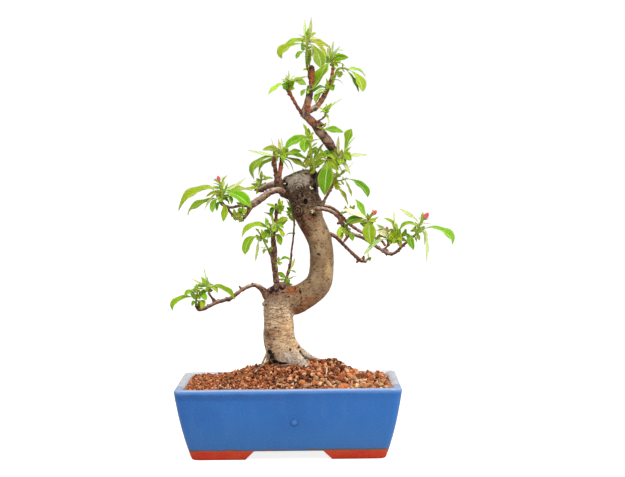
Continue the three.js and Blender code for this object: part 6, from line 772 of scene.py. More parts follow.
# ---------------------------------------------------------------- distance field and its surface
class Field:
    def __init__(self, lo, hi, h):
        self.h = h
        self.o = np.asarray(lo, float)
        self.n = np.ceil((np.asarray(hi) - self.o) / h).astype(int) + 1
        self.f = np.full(self.n, 30.0, np.float32)

    def _box(self, lo, hi):
        a = np.maximum(np.floor((lo - self.o) / self.h).astype(int), 0)
        b = np.minimum(np.ceil((hi - self.o) / self.h).astype(int) + 1, self.n)
        return a, b

    def tube(self, S, k):
        """Joins the tapered tube through S (m, 4) with a fillet of about k."""
        S = np.asarray(S, float)
        m = 1.3 * k + 3 * self.h
        rm = S[:, 3].max() + m
        A, B = self._box(S[:, :3].min(0) - rm, S[:, :3].max(0) + rm)
        if (B <= A).any():
            return
        g = np.full(B - A, 30.0, np.float32)
        segs = list(zip(S[:-1], S[1:])) if len(S) > 1 else [(S[0], S[0] + 1e-6)]
        for p, q in segs:
            rr = max(p[3], q[3]) + m
            a, b = self._box(np.minimum(p, q)[:3] - rr, np.maximum(p, q)[:3] + rr)
            a, b = np.maximum(a, A), np.minimum(b, B)
            if (b <= a).any():
                continue
            X = (self.o[0] + self.h * np.arange(a[0], b[0]) - p[0])[:, None, None]
            Y = (self.o[1] + self.h * np.arange(a[1], b[1]) - p[1])[None, :, None]
            Z = (self.o[2] + self.h * np.arange(a[2], b[2]) - p[2])[None, None, :]
            d = q[:3] - p[:3]
            L2 = max(float(d @ d), 1e-9)
            t = np.clip((X * d[0] + Y * d[1] + Z * d[2]) / L2, 0, 1)
            D = np.sqrt((X - t * d[0]) ** 2 + (Y - t * d[1]) ** 2 + (Z - t * d[2]) ** 2) - (p[3] + t * (q[3] - p[3]))
            s = tuple(slice(a[i] - A[i], b[i] - A[i]) for i in range(3))
            np.minimum(g[s], D.astype(np.float32), out=g[s])
        s = tuple(slice(A[i], B[i]) for i in range(3))
        f = self.f[s]
        if k > 0:
            w = np.maximum(k - np.abs(f - g), 0) / k
            self.f[s] = np.minimum(f, g) - w * w * k * 0.25
        else:
            self.f[s] = np.minimum(f, g)

    def cut(self, point, normal, k):
        """Takes away what lies past a plane, with the edge rounded by about k."""
        n = np.asarray(normal, float)
        n = n / np.linalg.norm(n)
        X, Y, Z = (self.o[i] + self.h * np.arange(self.n[i]) - point[i] for i in range(3))
        g = (X[:, None, None] * n[0] + Y[None, :, None] * n[1] + Z[None, None, :] * n[2]).astype(np.float32)
        w = np.maximum(k - np.abs(self.f - g), 0) / k
        self.f = np.maximum(self.f, g) + w * w * k * 0.25

    def surface(self):
        f, h = self.f, self.h
        ins = f < 0
        n = np.array(f.shape)
        cell = np.array([(n[1] - 1) * (n[2] - 1), n[2] - 1, 1])
        ids, pos, edges = [], [], []
        for ax in range(3):
            a = [slice(None)] * 3
            b = [slice(None)] * 3
            a[ax], b[ax] = slice(0, -1), slice(1, None)
            idx = np.argwhere(ins[tuple(a)] != ins[tuple(b)])
            fa = f[tuple(a)][tuple(idx.T)]
            fb = f[tuple(b)][tuple(idx.T)]
            p = idx.astype(np.float64)
            p[:, ax] += fa / (fa - fb)
            o1, o2 = [k for k in range(3) if k != ax]
            four = []
            for d1, d2 in ((-1, -1), (0, -1), (0, 0), (-1, 0)):
                c = idx.copy()
                c[:, o1] += d1
                c[:, o2] += d2
                four.append(c @ cell)
                ids.append(four[-1])
                pos.append(p)
            q = np.stack(four, 1)
            flip = (fa >= 0) != (ax == 1)
            q[flip] = q[flip][:, ::-1]
            edges.append(q)
        ids, pos = np.concatenate(ids), np.concatenate(pos)
        uniq, inv = np.unique(ids, return_inverse=True)
        c = np.bincount(inv)
        V = np.stack([np.bincount(inv, pos[:, k]) / c for k in range(3)], 1)
        Q = np.searchsorted(uniq, np.concatenate(edges))
        V = V * h + self.o
        used, Q2 = np.unique(Q, return_inverse=True)
        return V[used], Q2.reshape(Q.shape)


def largest(V, F):
    """Keeps the largest connected surface."""
    n = len(V)
    lab = np.arange(n)
    e = np.concatenate([F[:, [0, 1]], F[:, [1, 2]], F[:, [2, 3 % F.shape[1]]]])
    for _ in range(400):
        m = np.minimum(lab[e[:, 0]], lab[e[:, 1]])
        new = lab.copy()
        np.minimum.at(new, e[:, 0], m)
        np.minimum.at(new, e[:, 1], m)
        new = new[new]
        if (new == lab).all():
            break
        lab = new
    c = np.bincount(lab, minlength=n)
    keep = lab == c.argmax()
    F = F[keep[F[:, 0]]]
    ren = np.cumsum(keep) - 1
    return V[keep], ren[F]


def normals(V, F):
    a, b, c = V[F[:, 0]], V[F[:, 1]], V[F[:, 2]]
    if F.shape[1] == 4:
        fn = np.cross(c - a, V[F[:, 3]] - b)
    else:
        fn = np.cross(b - a, c - a)
    N = np.stack([sum(np.bincount(F[:, j], fn[:, k], minlength=len(V)) for j in range(F.shape[1])) for k in range(3)], 1)
    return N / np.maximum(np.linalg.norm(N, axis=1, keepdims=True), 1e-12)


def relax(V, F, times=1, w=0.5):
    k = F.shape[1]
    e = np.concatenate([F[:, [j, (j + 1) % k]] for j in range(k)])
    e = np.concatenate([e, e[:, ::-1]])
    cnt = np.maximum(np.bincount(e[:, 0], minlength=len(V)), 1)
    for _ in range(times):
        S = np.stack([np.bincount(e[:, 0], V[e[:, 1], j], minlength=len(V)) for j in range(3)], 1) / cnt[:, None]
        V = V * (1 - w) + S * w
    return V


def make(name, V, Fs, mat, attrs=None, colors=None, flat=False):
    if isinstance(Fs, np.ndarray):
        Fs = [Fs]
    me = bpy.data.meshes.new(name)
    faces = []
    for F in Fs:
        faces += F.tolist()
    me.from_pydata((np.asarray(V) * MM).tolist(), [], faces)
    me.polygons.foreach_set("use_smooth", np.full(len(me.polygons), not flat))
    for k, v in (attrs or {}).items():
        a = me.attributes.new(k, "FLOAT", "POINT")
        a.data.foreach_set("value", np.asarray(v, np.float32))
    for k, v in (colors or {}).items():
        a = me.attributes.new(k, "FLOAT_COLOR", "POINT")
        c = np.ones((len(V), 4), np.float32)
        c[:, :3] = v
        a.data.foreach_set("color", c.ravel())
    me.materials.append(mat)
    me.update()
    ob = bpy.data.objects.new(name, me)
    bpy.context.scene.collection.objects.link(ob)
    return ob


# ---------------------------------------------------------------- materials
class Mat:
    def __init__(self, name, rough=0.6, spec=0.4):
        self.m = bpy.data.materials.new(name)
        self.m.use_nodes = True
        self.t = self.m.node_tree
        self.t.nodes.clear()
        self.out = self.t.nodes.new("ShaderNodeOutputMaterial")
        self.p = self.t.nodes.new("ShaderNodeBsdfPrincipled")
        self.t.links.new(self.p.outputs[0], self.out.inputs[0])
        self.p.inputs["Roughness"].default_value = rough
        self.p.inputs["Specular IOR Level"].default_value = spec
        self.tc = self.t.nodes.new("ShaderNodeTexCoord").outputs["Object"]

    def node(self, kind, **props):
        n = self.t.nodes.new(kind)
        for k, v in props.items():
            setattr(n, k, v)
        return n

    def put(self, socket, v):
        if hasattr(v, "is_output") or isinstance(v, bpy.types.NodeSocket):
            self.t.links.new(v, socket)
        elif isinstance(v, (tuple, list)) and len(v) == 3 and socket.type == "RGBA":
            socket.default_value = (*v, 1)
        else:
            socket.default_value = v

    def set(self, name, v):
        self.put(self.p.inputs[name], v)

    def vec(self, scale=(1, 1, 1), loc=(0, 0, 0), src=None):
        n = self.node("ShaderNodeMapping")
        self.put(n.inputs["Vector"], src or self.tc)
        n.inputs["Scale"].default_value = scale
        n.inputs["Location"].default_value = loc
        return n.outputs[0]

    def noise(self, scale, detail=3, rough=0.55, src=None, dist=0.0):
        n = self.node("ShaderNodeTexNoise")
        self.put(n.inputs["Vector"], src or self.tc)
        n.inputs["Scale"].default_value = scale
        n.inputs["Detail"].default_value = detail
        n.inputs["Roughness"].default_value = rough
        n.inputs["Distortion"].default_value = dist
        return n.outputs[0]

    def voronoi(self, scale, feature="F1", src=None, rnd=1.0):
        n = self.node("ShaderNodeTexVoronoi", feature=feature)
        self.put(n.inputs["Vector"], src or self.tc)
        n.inputs["Scale"].default_value = scale
        n.inputs["Randomness"].default_value = rnd
        return n.outputs["Distance"]

    def attr(self, name, out="Fac"):
        return self.node("ShaderNodeAttribute", attribute_name=name).outputs[out]

    def math(self, op, a, b=0.0, clamp=False, c=None):
        n = self.node("ShaderNodeMath", operation=op, use_clamp=clamp)
        self.put(n.inputs[0], a)
        self.put(n.inputs[1], b)
        if c is not None:
            self.put(n.inputs[2], c)
        return n.outputs[0]

    def range(self, v, a, b, lo=0.0, hi=1.0):
        n = self.node("ShaderNodeMapRange", interpolation_type="SMOOTHSTEP")
        self.put(n.inputs["Value"], v)
        for k, x in (("From Min", a), ("From Max", b), ("To Min", lo), ("To Max", hi)):
            n.inputs[k].default_value = x
        return n.outputs["Result"]

    def mix(self, f, a, b, blend="MIX"):
        n = self.node("ShaderNodeMix", data_type="RGBA", blend_type=blend, clamp_factor=True)
        self.put(n.inputs[0], f)
        self.put(n.inputs[6], a)
        self.put(n.inputs[7], b)
        return n.outputs[2]

    def away(self, centre, radii):
        """distance from a point given in millimetres, in units of the radii (0 leaves an axis out)"""
        s = [1000.0 / r if r else 0.0 for r in radii]
        v = self.vec(tuple(s), tuple(-c * k / 1000.0 for c, k in zip(centre, s)))
        n = self.node("ShaderNodeVectorMath", operation="LENGTH")
        self.put(n.inputs[0], v)
        return n.outputs["Value"]

    def z(self):
        n = self.node("ShaderNodeSeparateXYZ")
        self.put(n.inputs[0], self.tc)
        return n.outputs

    def bump(self, h, strength, dist, normal=None):
        n = self.node("ShaderNodeBump")
        n.inputs["Strength"].default_value = strength
        n.inputs["Distance"].default_value = dist
        self.put(n.inputs["Height"], h)
        if normal is not None:
            self.put(n.inputs["Normal"], normal)
        return n.outputs[0]


def bark_material():
    m = Mat("trunk_bark", 0.82, 0.22)
    big = m.noise(62, 3, 0.6)
    mid = m.noise(240, 4, 0.62)
    fine = m.noise(900, 3, 0.6)
    # limb: grey tan; lower trunk: pale tan; knob: dark, with a greyer sawn face
    limb = m.mix(m.range(mid, 0.36, 0.60), lin(*C_LIMB_D), lin(*C_LIMB))
    limb = m.mix(m.range(big, 0.45, 0.66), limb, lin(*C_LIMB_L))
    pale = m.mix(m.range(mid, 0.34, 0.58), lin(*C_PALE_D), lin(*C_PALE))
    pale = m.mix(m.range(big, 0.46, 0.66), pale, lin(*C_PALE_L))
    knob = m.mix(m.range(mid, 0.40, 0.62), lin(*C_KNOB_D), lin(*C_KNOB))
    face = m.mix(m.range(mid, 0.34, 0.60), lin(*C_FACE_D), lin(*C_FACE))
    c = m.mix(m.attr("pale"), limb, pale)
    c = m.mix(m.attr("grey"), c, m.mix(m.range(mid, 0.34, 0.6), lin(108, 86, 68), lin(152, 126, 102)))
    c = m.mix(m.attr("knob"), c, knob)
    c = m.mix(m.attr("face"), c, face)
    c = m.mix(m.attr("ash"), c, m.mix(m.range(mid, 0.36, 0.6), lin(188, 170, 150), lin(240, 224, 204)))
    # orange and red-brown stains, and pale tan patches that are painted highlights
    c = m.mix(m.math("MULTIPLY", m.attr("tan"), m.range(big, 0.35, 0.6, 0.4, 1.0)), c, lin(*C_TAN_HIGHLIGHT))
    c = m.mix(m.math("MULTIPLY", m.attr("red"), m.range(mid, 0.34, 0.58, 0.45, 1.0)), c, lin(*C_RED))
    c = m.mix(m.math("MULTIPLY", m.attr("stain"), m.range(mid, 0.34, 0.60, 0.25, 1.0)), c, lin(*C_ORANGE))
    c = m.mix(m.math("MULTIPLY", m.attr("burr"), m.range(mid, 0.28, 0.42, 0.65, 1.0)), c, m.mix(m.range(m.noise(300, 2, 0.5), 0.42, 0.62), lin(76, 44, 38), lin(158, 116, 104)))
    # horizontal wrinkles of the lower trunk, with painted shade in their creases, darker on the knob
    zz = m.vec((74, 74, 520))
    wr = m.noise(1.0, 4, 0.65, zz, 1.5)
    crease = m.math("MULTIPLY", m.range(wr, 0.49, 0.37), m.attr("wrinkle"))
    c = m.mix(m.math("MULTIPLY", crease, 0.50), c, lin(*C_CREASE_SHADE))
    c = m.mix(m.math("MULTIPLY", m.math("MULTIPLY", crease, m.attr("knob")), 0.75), c, lin(58, 40, 32))
    # fine cracks of the knob
    k1 = m.math("ABSOLUTE", m.math("SUBTRACT", m.noise(150, 3, 0.6, m.vec((1, 1, 1.25), (2, 4, 1)), 0.6), 0.5))
    net = m.math("MULTIPLY", m.range(k1, 0.030, 0.008), m.math("MAXIMUM", m.attr("knob"), m.math("MAXIMUM", m.math("MULTIPLY", m.attr("stain"), 0.7), m.attr("red"))))
    c = m.mix(m.math("MULTIPLY", net, 0.85), c, lin(34, 22, 18))
    # lenticels: small dark dashes in loose drifts, and finer specks between them
    wide = m.vec((0.62, 0.62, 1.25))
    sp = m.voronoi(330, src=wide)
    patch = m.range(m.noise(120, 2), 0.40, 0.58, 0.30, 1.0)
    dots = m.math("MULTIPLY", m.range(sp, 0.31, 0.22), patch)
    c = m.mix(m.math("MULTIPLY", dots, m.math("SUBTRACT", 0.88, m.math("MULTIPLY", m.attr("pale"), 0.28))), c, lin(*C_SPECK))
    sp3 = m.voronoi(760, src=m.vec((0.7, 0.7, 1.2), (0.17, 0.33, 0.71)))
    dots3 = m.math("MULTIPLY", m.range(sp3, 0.34, 0.18), m.range(m.noise(160, 2, 0.5, m.vec((1, 1, 1), (5, 2, 7))), 0.42, 0.6))
    c = m.mix(m.math("MULTIPLY", dots3, 0.6), c, lin(*C_SPECK))
    sp2 = m.voronoi(520, src=m.vec((0.8, 0.8, 1.2), (0.3, 0.1, 0.2)))
    dots2 = m.math("MULTIPLY", m.range(sp2, 0.26, 0.12), m.range(m.noise(90, 2, 0.5, m.vec((1, 1, 1), (3, 1, 2))), 0.48, 0.6))
    c = m.mix(m.math("MULTIPLY", dots2, 0.55), c, lin(*C_FLECK))
    c = m.mix(m.math("MULTIPLY", m.range(fine, 0.50, 0.34), 0.34), c, lin(*C_SPECK))
    # rings of old branch scars
    rings = None
    for kind, cx, cy, cz, rx, rz, a in FEATURES:
        if kind in ("whorl", "arc"):
            d = m.away((cx, cy, cz), (rx, 1.8 * rx, rz))
            d = m.math("ADD", d, m.math("MULTIPLY", m.math("SUBTRACT", m.noise(260, 2, 0.5), 0.5), 0.42))
            step = 0.52 if kind == "whorl" else 0.24
            sn = m.math("SINE", m.math("MULTIPLY", d, 2 * math.pi / step))
            ln = m.math("MULTIPLY", m.range(sn, -0.05, 0.65), m.range(d, 1.38, 1.24))
            ln = m.math("MULTIPLY", ln, a)
            rings = ln if rings is None else m.math("MAXIMUM", rings, ln)
    if rings is not None:
        c = m.mix(m.math("MULTIPLY", rings, m.range(fine, 0.35, 0.6, 0.75, 1.0)), c, lin(42, 28, 22))
    ragged = m.math("ADD", m.math("MULTIPLY", m.math("SUBTRACT", m.noise(420, 3, 0.6), 0.5), 1.4), m.math("MULTIPLY", m.math("SUBTRACT", mid, 0.5), 0.8))
    dk = m.math("ADD", m.attr("dark"), ragged)
    c = m.mix(m.math("MULTIPLY", m.range(dk, 0.30, 0.52), m.range(m.attr("dark"), 0.04, 0.20, 0.0, 0.5)), c, lin(70, 42, 30))
    c = m.mix(m.range(dk, 0.42, 0.76), c, lin(*C_DARK))
    m.set("Base Color", c)
    hgt = m.math("ADD", m.math("MULTIPLY", mid, 0.55), m.math("MULTIPLY", fine, 0.40))
    hgt = m.math("SUBTRACT", hgt, m.math("MULTIPLY", dots, 0.45))
    hgt = m.math("SUBTRACT", hgt, m.math("MULTIPLY", crease, 0.7))
    m.set("Normal", m.bump(hgt, 0.9, 0.0013))
    m.set("Roughness", m.range(fine, 0.3, 0.7, 0.72, 0.9))
    return m.m


def twig_material():
    m = Mat("twig_bark", 0.62, 0.35)
    mid = m.noise(330, 4, 0.6)
    fine = m.noise(1300, 2, 0.6)
    old = m.mix(m.range(mid, 0.38, 0.62), lin(*C_TWIG_OD), lin(*C_TWIG_O))
    young = m.mix(m.range(mid, 0.36, 0.62), lin(*C_TWIG_YD), lin(*C_TWIG_Y))
    c = m.mix(m.attr("young"), old, young)
    # painted top light, mottled, on the upper side of the lying branches, and painted shade on their undersides
    ge = m.node("ShaderNodeNewGeometry")
    sx = m.node("ShaderNodeSeparateXYZ")
    m.put(sx.inputs[0], ge.outputs["Normal"])
    up = m.math("MULTIPLY", m.range(sx.outputs[2], -0.15, 0.75), m.math("MULTIPLY", m.attr("lying"), m.range(m.noise(120, 2), 0.3, 0.6, 0.45, 1.0)))
    under = m.math("MULTIPLY", m.range(sx.outputs[2], -0.2, -0.8), m.attr("lying"))
    c = m.mix(up, c, lin(*C_TWIG_PAINTED_TOP_LIGHT))
    c = m.mix(m.math("MULTIPLY", under, 0.6), c, lin(50, 32, 27))
    sp = m.voronoi(520)
    dots = m.math("MULTIPLY", m.range(sp, 0.26, 0.14), m.range(m.noise(200, 1), 0.42, 0.52))
    c = m.mix(m.math("MULTIPLY", dots, 0.5), c, lin(196, 176, 148))
    c = m.mix(m.math("MULTIPLY", m.range(fine, 0.5, 0.34), 0.45), c, lin(38, 22, 18))
    c = m.mix(m.math("MULTIPLY", m.attr("dark"), 0.9), c, lin(34, 22, 20))
    # painted highlights from the 'light' marks
    c = m.mix(m.math("MULTIPLY", m.attr("light"), m.range(mid, 0.3, 0.55, 0.55, 1.0)), c, lin(188, 160, 132))
    c = m.mix(m.math("MULTIPLY", m.attr("rust"), m.range(mid, 0.28, 0.5, 0.6, 1.0)), c, m.mix(m.range(mid, 0.4, 0.6), lin(138, 60, 26), lin(186, 94, 44)))
    m.set("Base Color", c)
    hgt = m.math("ADD", m.math("MULTIPLY", mid, 0.7), m.math("MULTIPLY", fine, 0.3))
    hgt = m.math("ADD", hgt, m.math("MULTIPLY", dots, 0.3))
    m.set("Normal", m.bump(hgt, 0.6, 0.0006))
    m.set("Roughness", m.range(fine, 0.3, 0.7, 0.5, 0.72))
    return m.m


def leaf_material():
    m = Mat("leaf_blade", 0.45, 0.07)
    lu, lv, bl = m.attr("along"), m.attr("across"), m.attr("blade")
    av = m.math("ABSOLUTE", lv)
    c = m.node("ShaderNodeAttribute", attribute_name="tint").outputs["Color"]
    mot = m.noise(420, 2, 0.5)
    c = m.mix(m.math("MULTIPLY", m.range(mot, 0.4, 0.62), 0.45), c, m.mix(1.0, c, (0.62, 0.72, 0.45), "MULTIPLY"))
    c = m.mix(m.math("MULTIPLY", m.range(m.noise(95, 2), 0.42, 0.62), 0.35), c, m.mix(1.0, c, (0.60, 0.74, 0.55), "MULTIPLY"))
    # midrib and side veins
    rib = m.math("MULTIPLY", m.range(av, 0.10, 0.02), bl)
    w = m.math("SUBTRACT", m.math("MULTIPLY", lu, 11.0), m.math("MULTIPLY", m.math("POWER", av, 1.3), 1.7))
    tri = m.math("ABSOLUTE", m.math("SUBTRACT", m.math("FRACT", w), 0.5))
    vein = m.math("MULTIPLY", m.math("MULTIPLY", m.range(tri, 0.40, 0.49), bl), m.range(av, 0.98, 0.8))
    # a paler midrib, partly its own colour and partly a painted highlight
    c = m.mix(m.math("MULTIPLY", rib, 0.80), c, m.mix(0.7, c, lin(220, 230, 164)))
    c = m.mix(m.math("MULTIPLY", vein, 0.35), c, m.mix(0.5, c, lin(204, 220, 120)))
    # painted highlight along the margin
    edge = m.math("MULTIPLY", m.range(av, 0.74, 1.0), bl)
    c = m.mix(m.math("MULTIPLY", edge, 0.40), c, lin(204, 214, 118))
    m.set("Base Color", c)
    hgt = m.math("ADD", m.math("MULTIPLY", rib, -0.6), m.math("MULTIPLY", vein, -0.35))
    hgt = m.math("ADD", hgt, m.math("MULTIPLY", m.noise(1100, 2), 0.25))
    m.set("Normal", m.bump(hgt, 0.5, 0.0004))
    m.set("Roughness", m.range(mot, 0.3, 0.7, 0.36, 0.52))
    m.p.inputs["Subsurface Weight"].default_value = LEAF_SSS
    m.p.inputs["Subsurface Radius"].default_value = (0.8, 0.9, 0.3)
    m.p.inputs["Subsurface Scale"].default_value = 0.0016
    m.p.inputs["Sheen Weight"].default_value = 0.0
    return m.m


def petal_material():
    m = Mat("petal_pink", 0.5, 0.35)
    c = m.node("ShaderNodeAttribute", attribute_name="tint").outputs["Color"]
    st = m.noise(1.0, 2, 0.5, m.vec((1500, 1500, 260)))
    c = m.mix(m.math("MULTIPLY", m.range(st, 0.42, 0.62), 0.35), c, m.mix(1.0, c, (0.75, 0.5, 0.55), "MULTIPLY"))
    m.set("Base Color", c)
    m.set("Normal", m.bump(st, 0.4, 0.0003))
    m.set("Roughness", m.range(st, 0.3, 0.7, 0.42, 0.56))
    m.p.inputs["Subsurface Weight"].default_value = 0.15
    m.p.inputs["Subsurface Radius"].default_value = (1.0, 0.4, 0.4)
    m.p.inputs["Subsurface Scale"].default_value = 0.001
    return m.m


def grain_material():
    m = Mat("baked_clay_granules", 0.88, 0.2)
    c = m.node("ShaderNodeAttribute", attribute_name="tint").outputs["Color"]
    n1 = m.noise(900, 4, 0.65)
    n2 = m.noise(330, 2, 0.5)
    c = m.mix(m.math("MULTIPLY", m.range(n1, 0.55, 0.35), 0.55), c, m.mix(1.0, c, (0.42, 0.34, 0.30), "MULTIPLY"))
    c = m.mix(m.math("MULTIPLY", m.range(n2, 0.55, 0.72), 0.30), c, lin(214, 150, 100))
    m.set("Base Color", c)
    vo = m.voronoi(1500)
    h = m.math("ADD", m.math("MULTIPLY", n1, 0.8), m.math("MULTIPLY", vo, 0.3))
    m.set("Normal", m.bump(h, 0.8, 0.0006))
    m.set("Roughness", m.range(n1, 0.3, 0.7, 0.8, 0.95))
    return m.m


def pot_material():
    m = Mat("glazed_stoneware", 0.22, 0.5)
    s = m.z()
    big = m.noise(9, 2, 0.5)
    mid = m.noise(60, 3, 0.55)
    fine = m.noise(700, 3, 0.6)
    glaze = m.mix(m.range(big, 0.35, 0.65), lin(*C_GLAZE), lin(*C_GLAZE2))
    glaze = m.mix(m.math("MULTIPLY", m.range(mid, 0.4, 0.62), 0.25), glaze, lin(*C_GLAZE3))
    # vertical streaks where the glaze ran
    run = m.noise(1.0, 2, 0.5, m.vec((150, 150, 9)))
    glaze = m.mix(m.math("MULTIPLY", m.range(run, 0.5, 0.66), 0.05), glaze, lin(120, 150, 200))
    # fine pale specks and pinholes
    vo = m.voronoi(270)
    fleck = m.math("MULTIPLY", m.range(vo, 0.09, 0.04), m.range(m.noise(40, 2), 0.56, 0.66))
    glaze = m.mix(m.math("MULTIPLY", fleck, 0.35), glaze, lin(150, 180, 220))
    pin = m.math("MULTIPLY", m.range(m.voronoi(120, src=m.vec((1, 1, 1), (0.5, 0.2, 0.7))), 0.07, 0.03), m.range(m.noise(23, 1), 0.5, 0.6))
    glaze = m.mix(m.math("MULTIPLY", pin, 0.7), glaze, lin(30, 50, 95))
    # a darker band below the rim is painted shade under the lip, stronger on the left; paler thin glaze near the lip;
    # paler towards the bottom of the wall
    zn = m.math("ADD", s[2], m.math("MULTIPLY", m.math("SUBTRACT", mid, 0.5), 0.006))
    painted_rim_shade = m.math("MULTIPLY", m.range(zn, 0.0655, 0.0700), m.range(zn, 0.0752, 0.0730))
    left = m.range(s[0], 0.02, -0.11)
    glaze = m.mix(m.math("MULTIPLY", painted_rim_shade, m.math("ADD", 0.25, m.math("MULTIPLY", left, 0.45))), glaze, lin(24, 80, 150))
    zl = m.math("ADD", s[2], m.math("MULTIPLY", m.math("SUBTRACT", mid, 0.5), 0.0016))
    lipm = m.range(zl, 0.0738, 0.0778)
    glaze = m.mix(m.math("MULTIPLY", lipm, 0.85), glaze, lin(*C_LIP))
    # the round bead in the glaze on the front: a painted shade ring round it and a painted highlight in its middle
    dp = m.away((PIMPLE[0], 0, PIMPLE[1]), (1.0, 0, 1.0))
    onf = m.range(s[1], -0.03, -0.05)
    glaze = m.mix(m.math("MULTIPLY", m.math("MULTIPLY", m.range(dp, 5.4, 4.5), m.range(dp, 3.0, 3.9)), m.math("MULTIPLY", onf, 0.60)), glaze, lin(24, 70, 136))
    glaze = m.mix(m.math("MULTIPLY", m.range(dp, 3.6, 1.6), m.math("MULTIPLY", onf, 0.40)), glaze, lin(96, 148, 214))
    low = m.range(zn, 0.050, 0.012)
    glaze = m.mix(m.math("MULTIPLY", low, 0.45), glaze, lin(*C_GLAZE_LOW))
    # rim and inside
    rimc = m.mix(m.range(mid, 0.38, 0.62), lin(*C_RIM), lin(*C_RIM2))
    rimc = m.mix(m.math("MULTIPLY", m.range(m.noise(300, 3), 0.55, 0.68), 0.5), rimc, lin(130, 140, 160))
    rimc = m.mix(m.math("MULTIPLY", m.range(m.voronoi(600), 0.2, 0.1), 0.35), rimc, lin(120, 100, 92))
    # the front lip is thinner glaze over blue
    rimc = m.mix(m.math("MULTIPLY", m.range(s[1], -0.048, -0.056), 0.75), rimc, lin(130, 152, 196))
    inner = m.mix(m.range(mid, 0.36, 0.62), lin(112, 140, 188), lin(164, 176, 202))
    c = m.mix(m.attr("inner"), glaze, inner)
    c = m.mix(m.attr("rim"), c, rimc)
    # unglazed red clay below the glaze line
    line = m.math("ADD", s[2], m.math("MULTIPLY", m.math("SUBTRACT", m.noise(55, 3, 0.6), 0.5), 0.0030))
    bare = m.math("MAXIMUM", m.range(line, 0.01035, 0.0098), m.attr("bare"))
    clay = m.mix(m.range(mid, 0.36, 0.66), lin(*C_CLAY), lin(*C_CLAY2))
    clay = m.mix(m.math("MULTIPLY", m.range(fine, 0.5, 0.66), 0.35), clay, lin(236, 116, 62))
    clay = m.mix(m.math("MULTIPLY", m.range(m.voronoi(420), 0.16, 0.07), 0.5), clay, lin(120, 36, 18))
    halo = m.math("MULTIPLY", m.range(line, 0.0092, 0.0102), m.range(line, 0.0136, 0.0114))
    c = m.mix(m.math("MULTIPLY", halo, m.range(m.noise(30, 2), 0.3, 0.6, 0.45, 1.0)), c, lin(100, 92, 92))
    c = m.mix(bare, c, clay)
    m.set("Base Color", c)
    r = m.range(fine, 0.3, 0.7, 0.20, 0.30)
    rr = m.node("ShaderNodeMix", data_type="FLOAT")
    m.put(rr.inputs[0], bare)
    m.put(rr.inputs[2], r)
    m.put(rr.inputs[3], m.range(fine, 0.3, 0.7, 0.62, 0.8))
    m.set("Roughness", rr.outputs[0])
    hg = m.math("ADD", m.math("MULTIPLY", mid, 0.5), m.math("MULTIPLY", fleck, 0.12))
    hg = m.math("SUBTRACT", hg, m.math("MULTIPLY", pin, 0.3))
    hb = m.math("MULTIPLY", m.math("MULTIPLY", fine, bare), 0.6)
    m.set("Normal", m.bump(m.math("ADD", hg, hb), 0.30, 0.0009))
    return m.m


def screen_material():
    m = Mat("mesh_plastic", 0.5, 0.4)
    n1 = m.noise(500, 3)
    c = m.mix(m.range(n1, 0.35, 0.65), lin(28, 30, 32), lin(58, 60, 62))
    c = m.mix(m.math("MULTIPLY", m.range(m.noise(180, 3), 0.5, 0.65), 0.6), c, lin(120, 74, 50))
    m.set("Base Color", c)
    m.set("Roughness", m.range(n1, 0.3, 0.7, 0.4, 0.7))
    m.set("Normal", m.bump(n1, 0.3, 0.0005))
    return m.m


# colours read as sRGB
C_LIMB, C_LIMB_D, C_LIMB_L = (158, 128, 96), (130, 102, 74), (178, 152, 116)
C_PALE, C_PALE_D, C_PALE_L = (222, 188, 150), (184, 150, 116), (240, 214, 178)
C_KNOB, C_KNOB_D = (146, 118, 92), (98, 74, 56)
C_FACE, C_FACE_D = (168, 154, 138), (134, 118, 104)
C_ORANGE, C_TAN_HIGHLIGHT, C_RED = (170, 92, 38), (228, 184, 128), (112, 48, 28)
C_CREASE_SHADE, C_SPECK, C_FLECK, C_DARK = (112, 84, 64), (46, 30, 24), (204, 180, 150), (16, 9, 8)
C_TWIG_O, C_TWIG_OD = (150, 105, 76), (66, 36, 27)
C_TWIG_Y, C_TWIG_YD = (148, 84, 58), (70, 34, 27)
# painted top light of the lying branches
C_TWIG_PAINTED_TOP_LIGHT = (212, 188, 164)
C_GLAZE, C_GLAZE2, C_GLAZE3, C_GLAZE_LOW = (32, 100, 176), (36, 107, 184), (44, 113, 190), (66, 120, 178)
C_LIP = (104, 148, 208)
C_RIM, C_RIM2 = (212, 212, 217), (194, 198, 208)
C_CLAY, C_CLAY2 = (204, 44, 4), (212, 66, 24)
LEAF_SSS = 0.12

BARK, TWIG, LEAF, PETAL = bark_material(), twig_material(), leaf_material(), petal_material()
GRAIN, POTM, SCREENM = grain_material(), pot_material(), screen_material()


# ---------------------------------------------------------------- trunk
def all_points():
    """Every wood polyline as (node, index, resampled points)."""
    out = []
    for n, q in TRUNK.items():
        out.append(("trunk", n, catmull(q, 2.0)))
    for n, qs in WOOD.items():
        for i, q in enumerate(qs):
            out.append((n, i, catmull(q, 1.0)))
    return out


LINES = all_points()
PARENT = {n: p for n, p in PARENTS}


def base_of(node, length, grow):
    """The first length of a wood node's main line, a little thicker: a collar on what carries it."""
    S = catmull(WOOD[node][0], 1.0)
    d = np.r_[0, np.cumsum(np.linalg.norm(np.diff(S[:, :3], axis=0), axis=1))]
    S = S[d <= length].copy()
    S[:, 3] *= np.linspace(grow, 0.8, len(S))
    return S


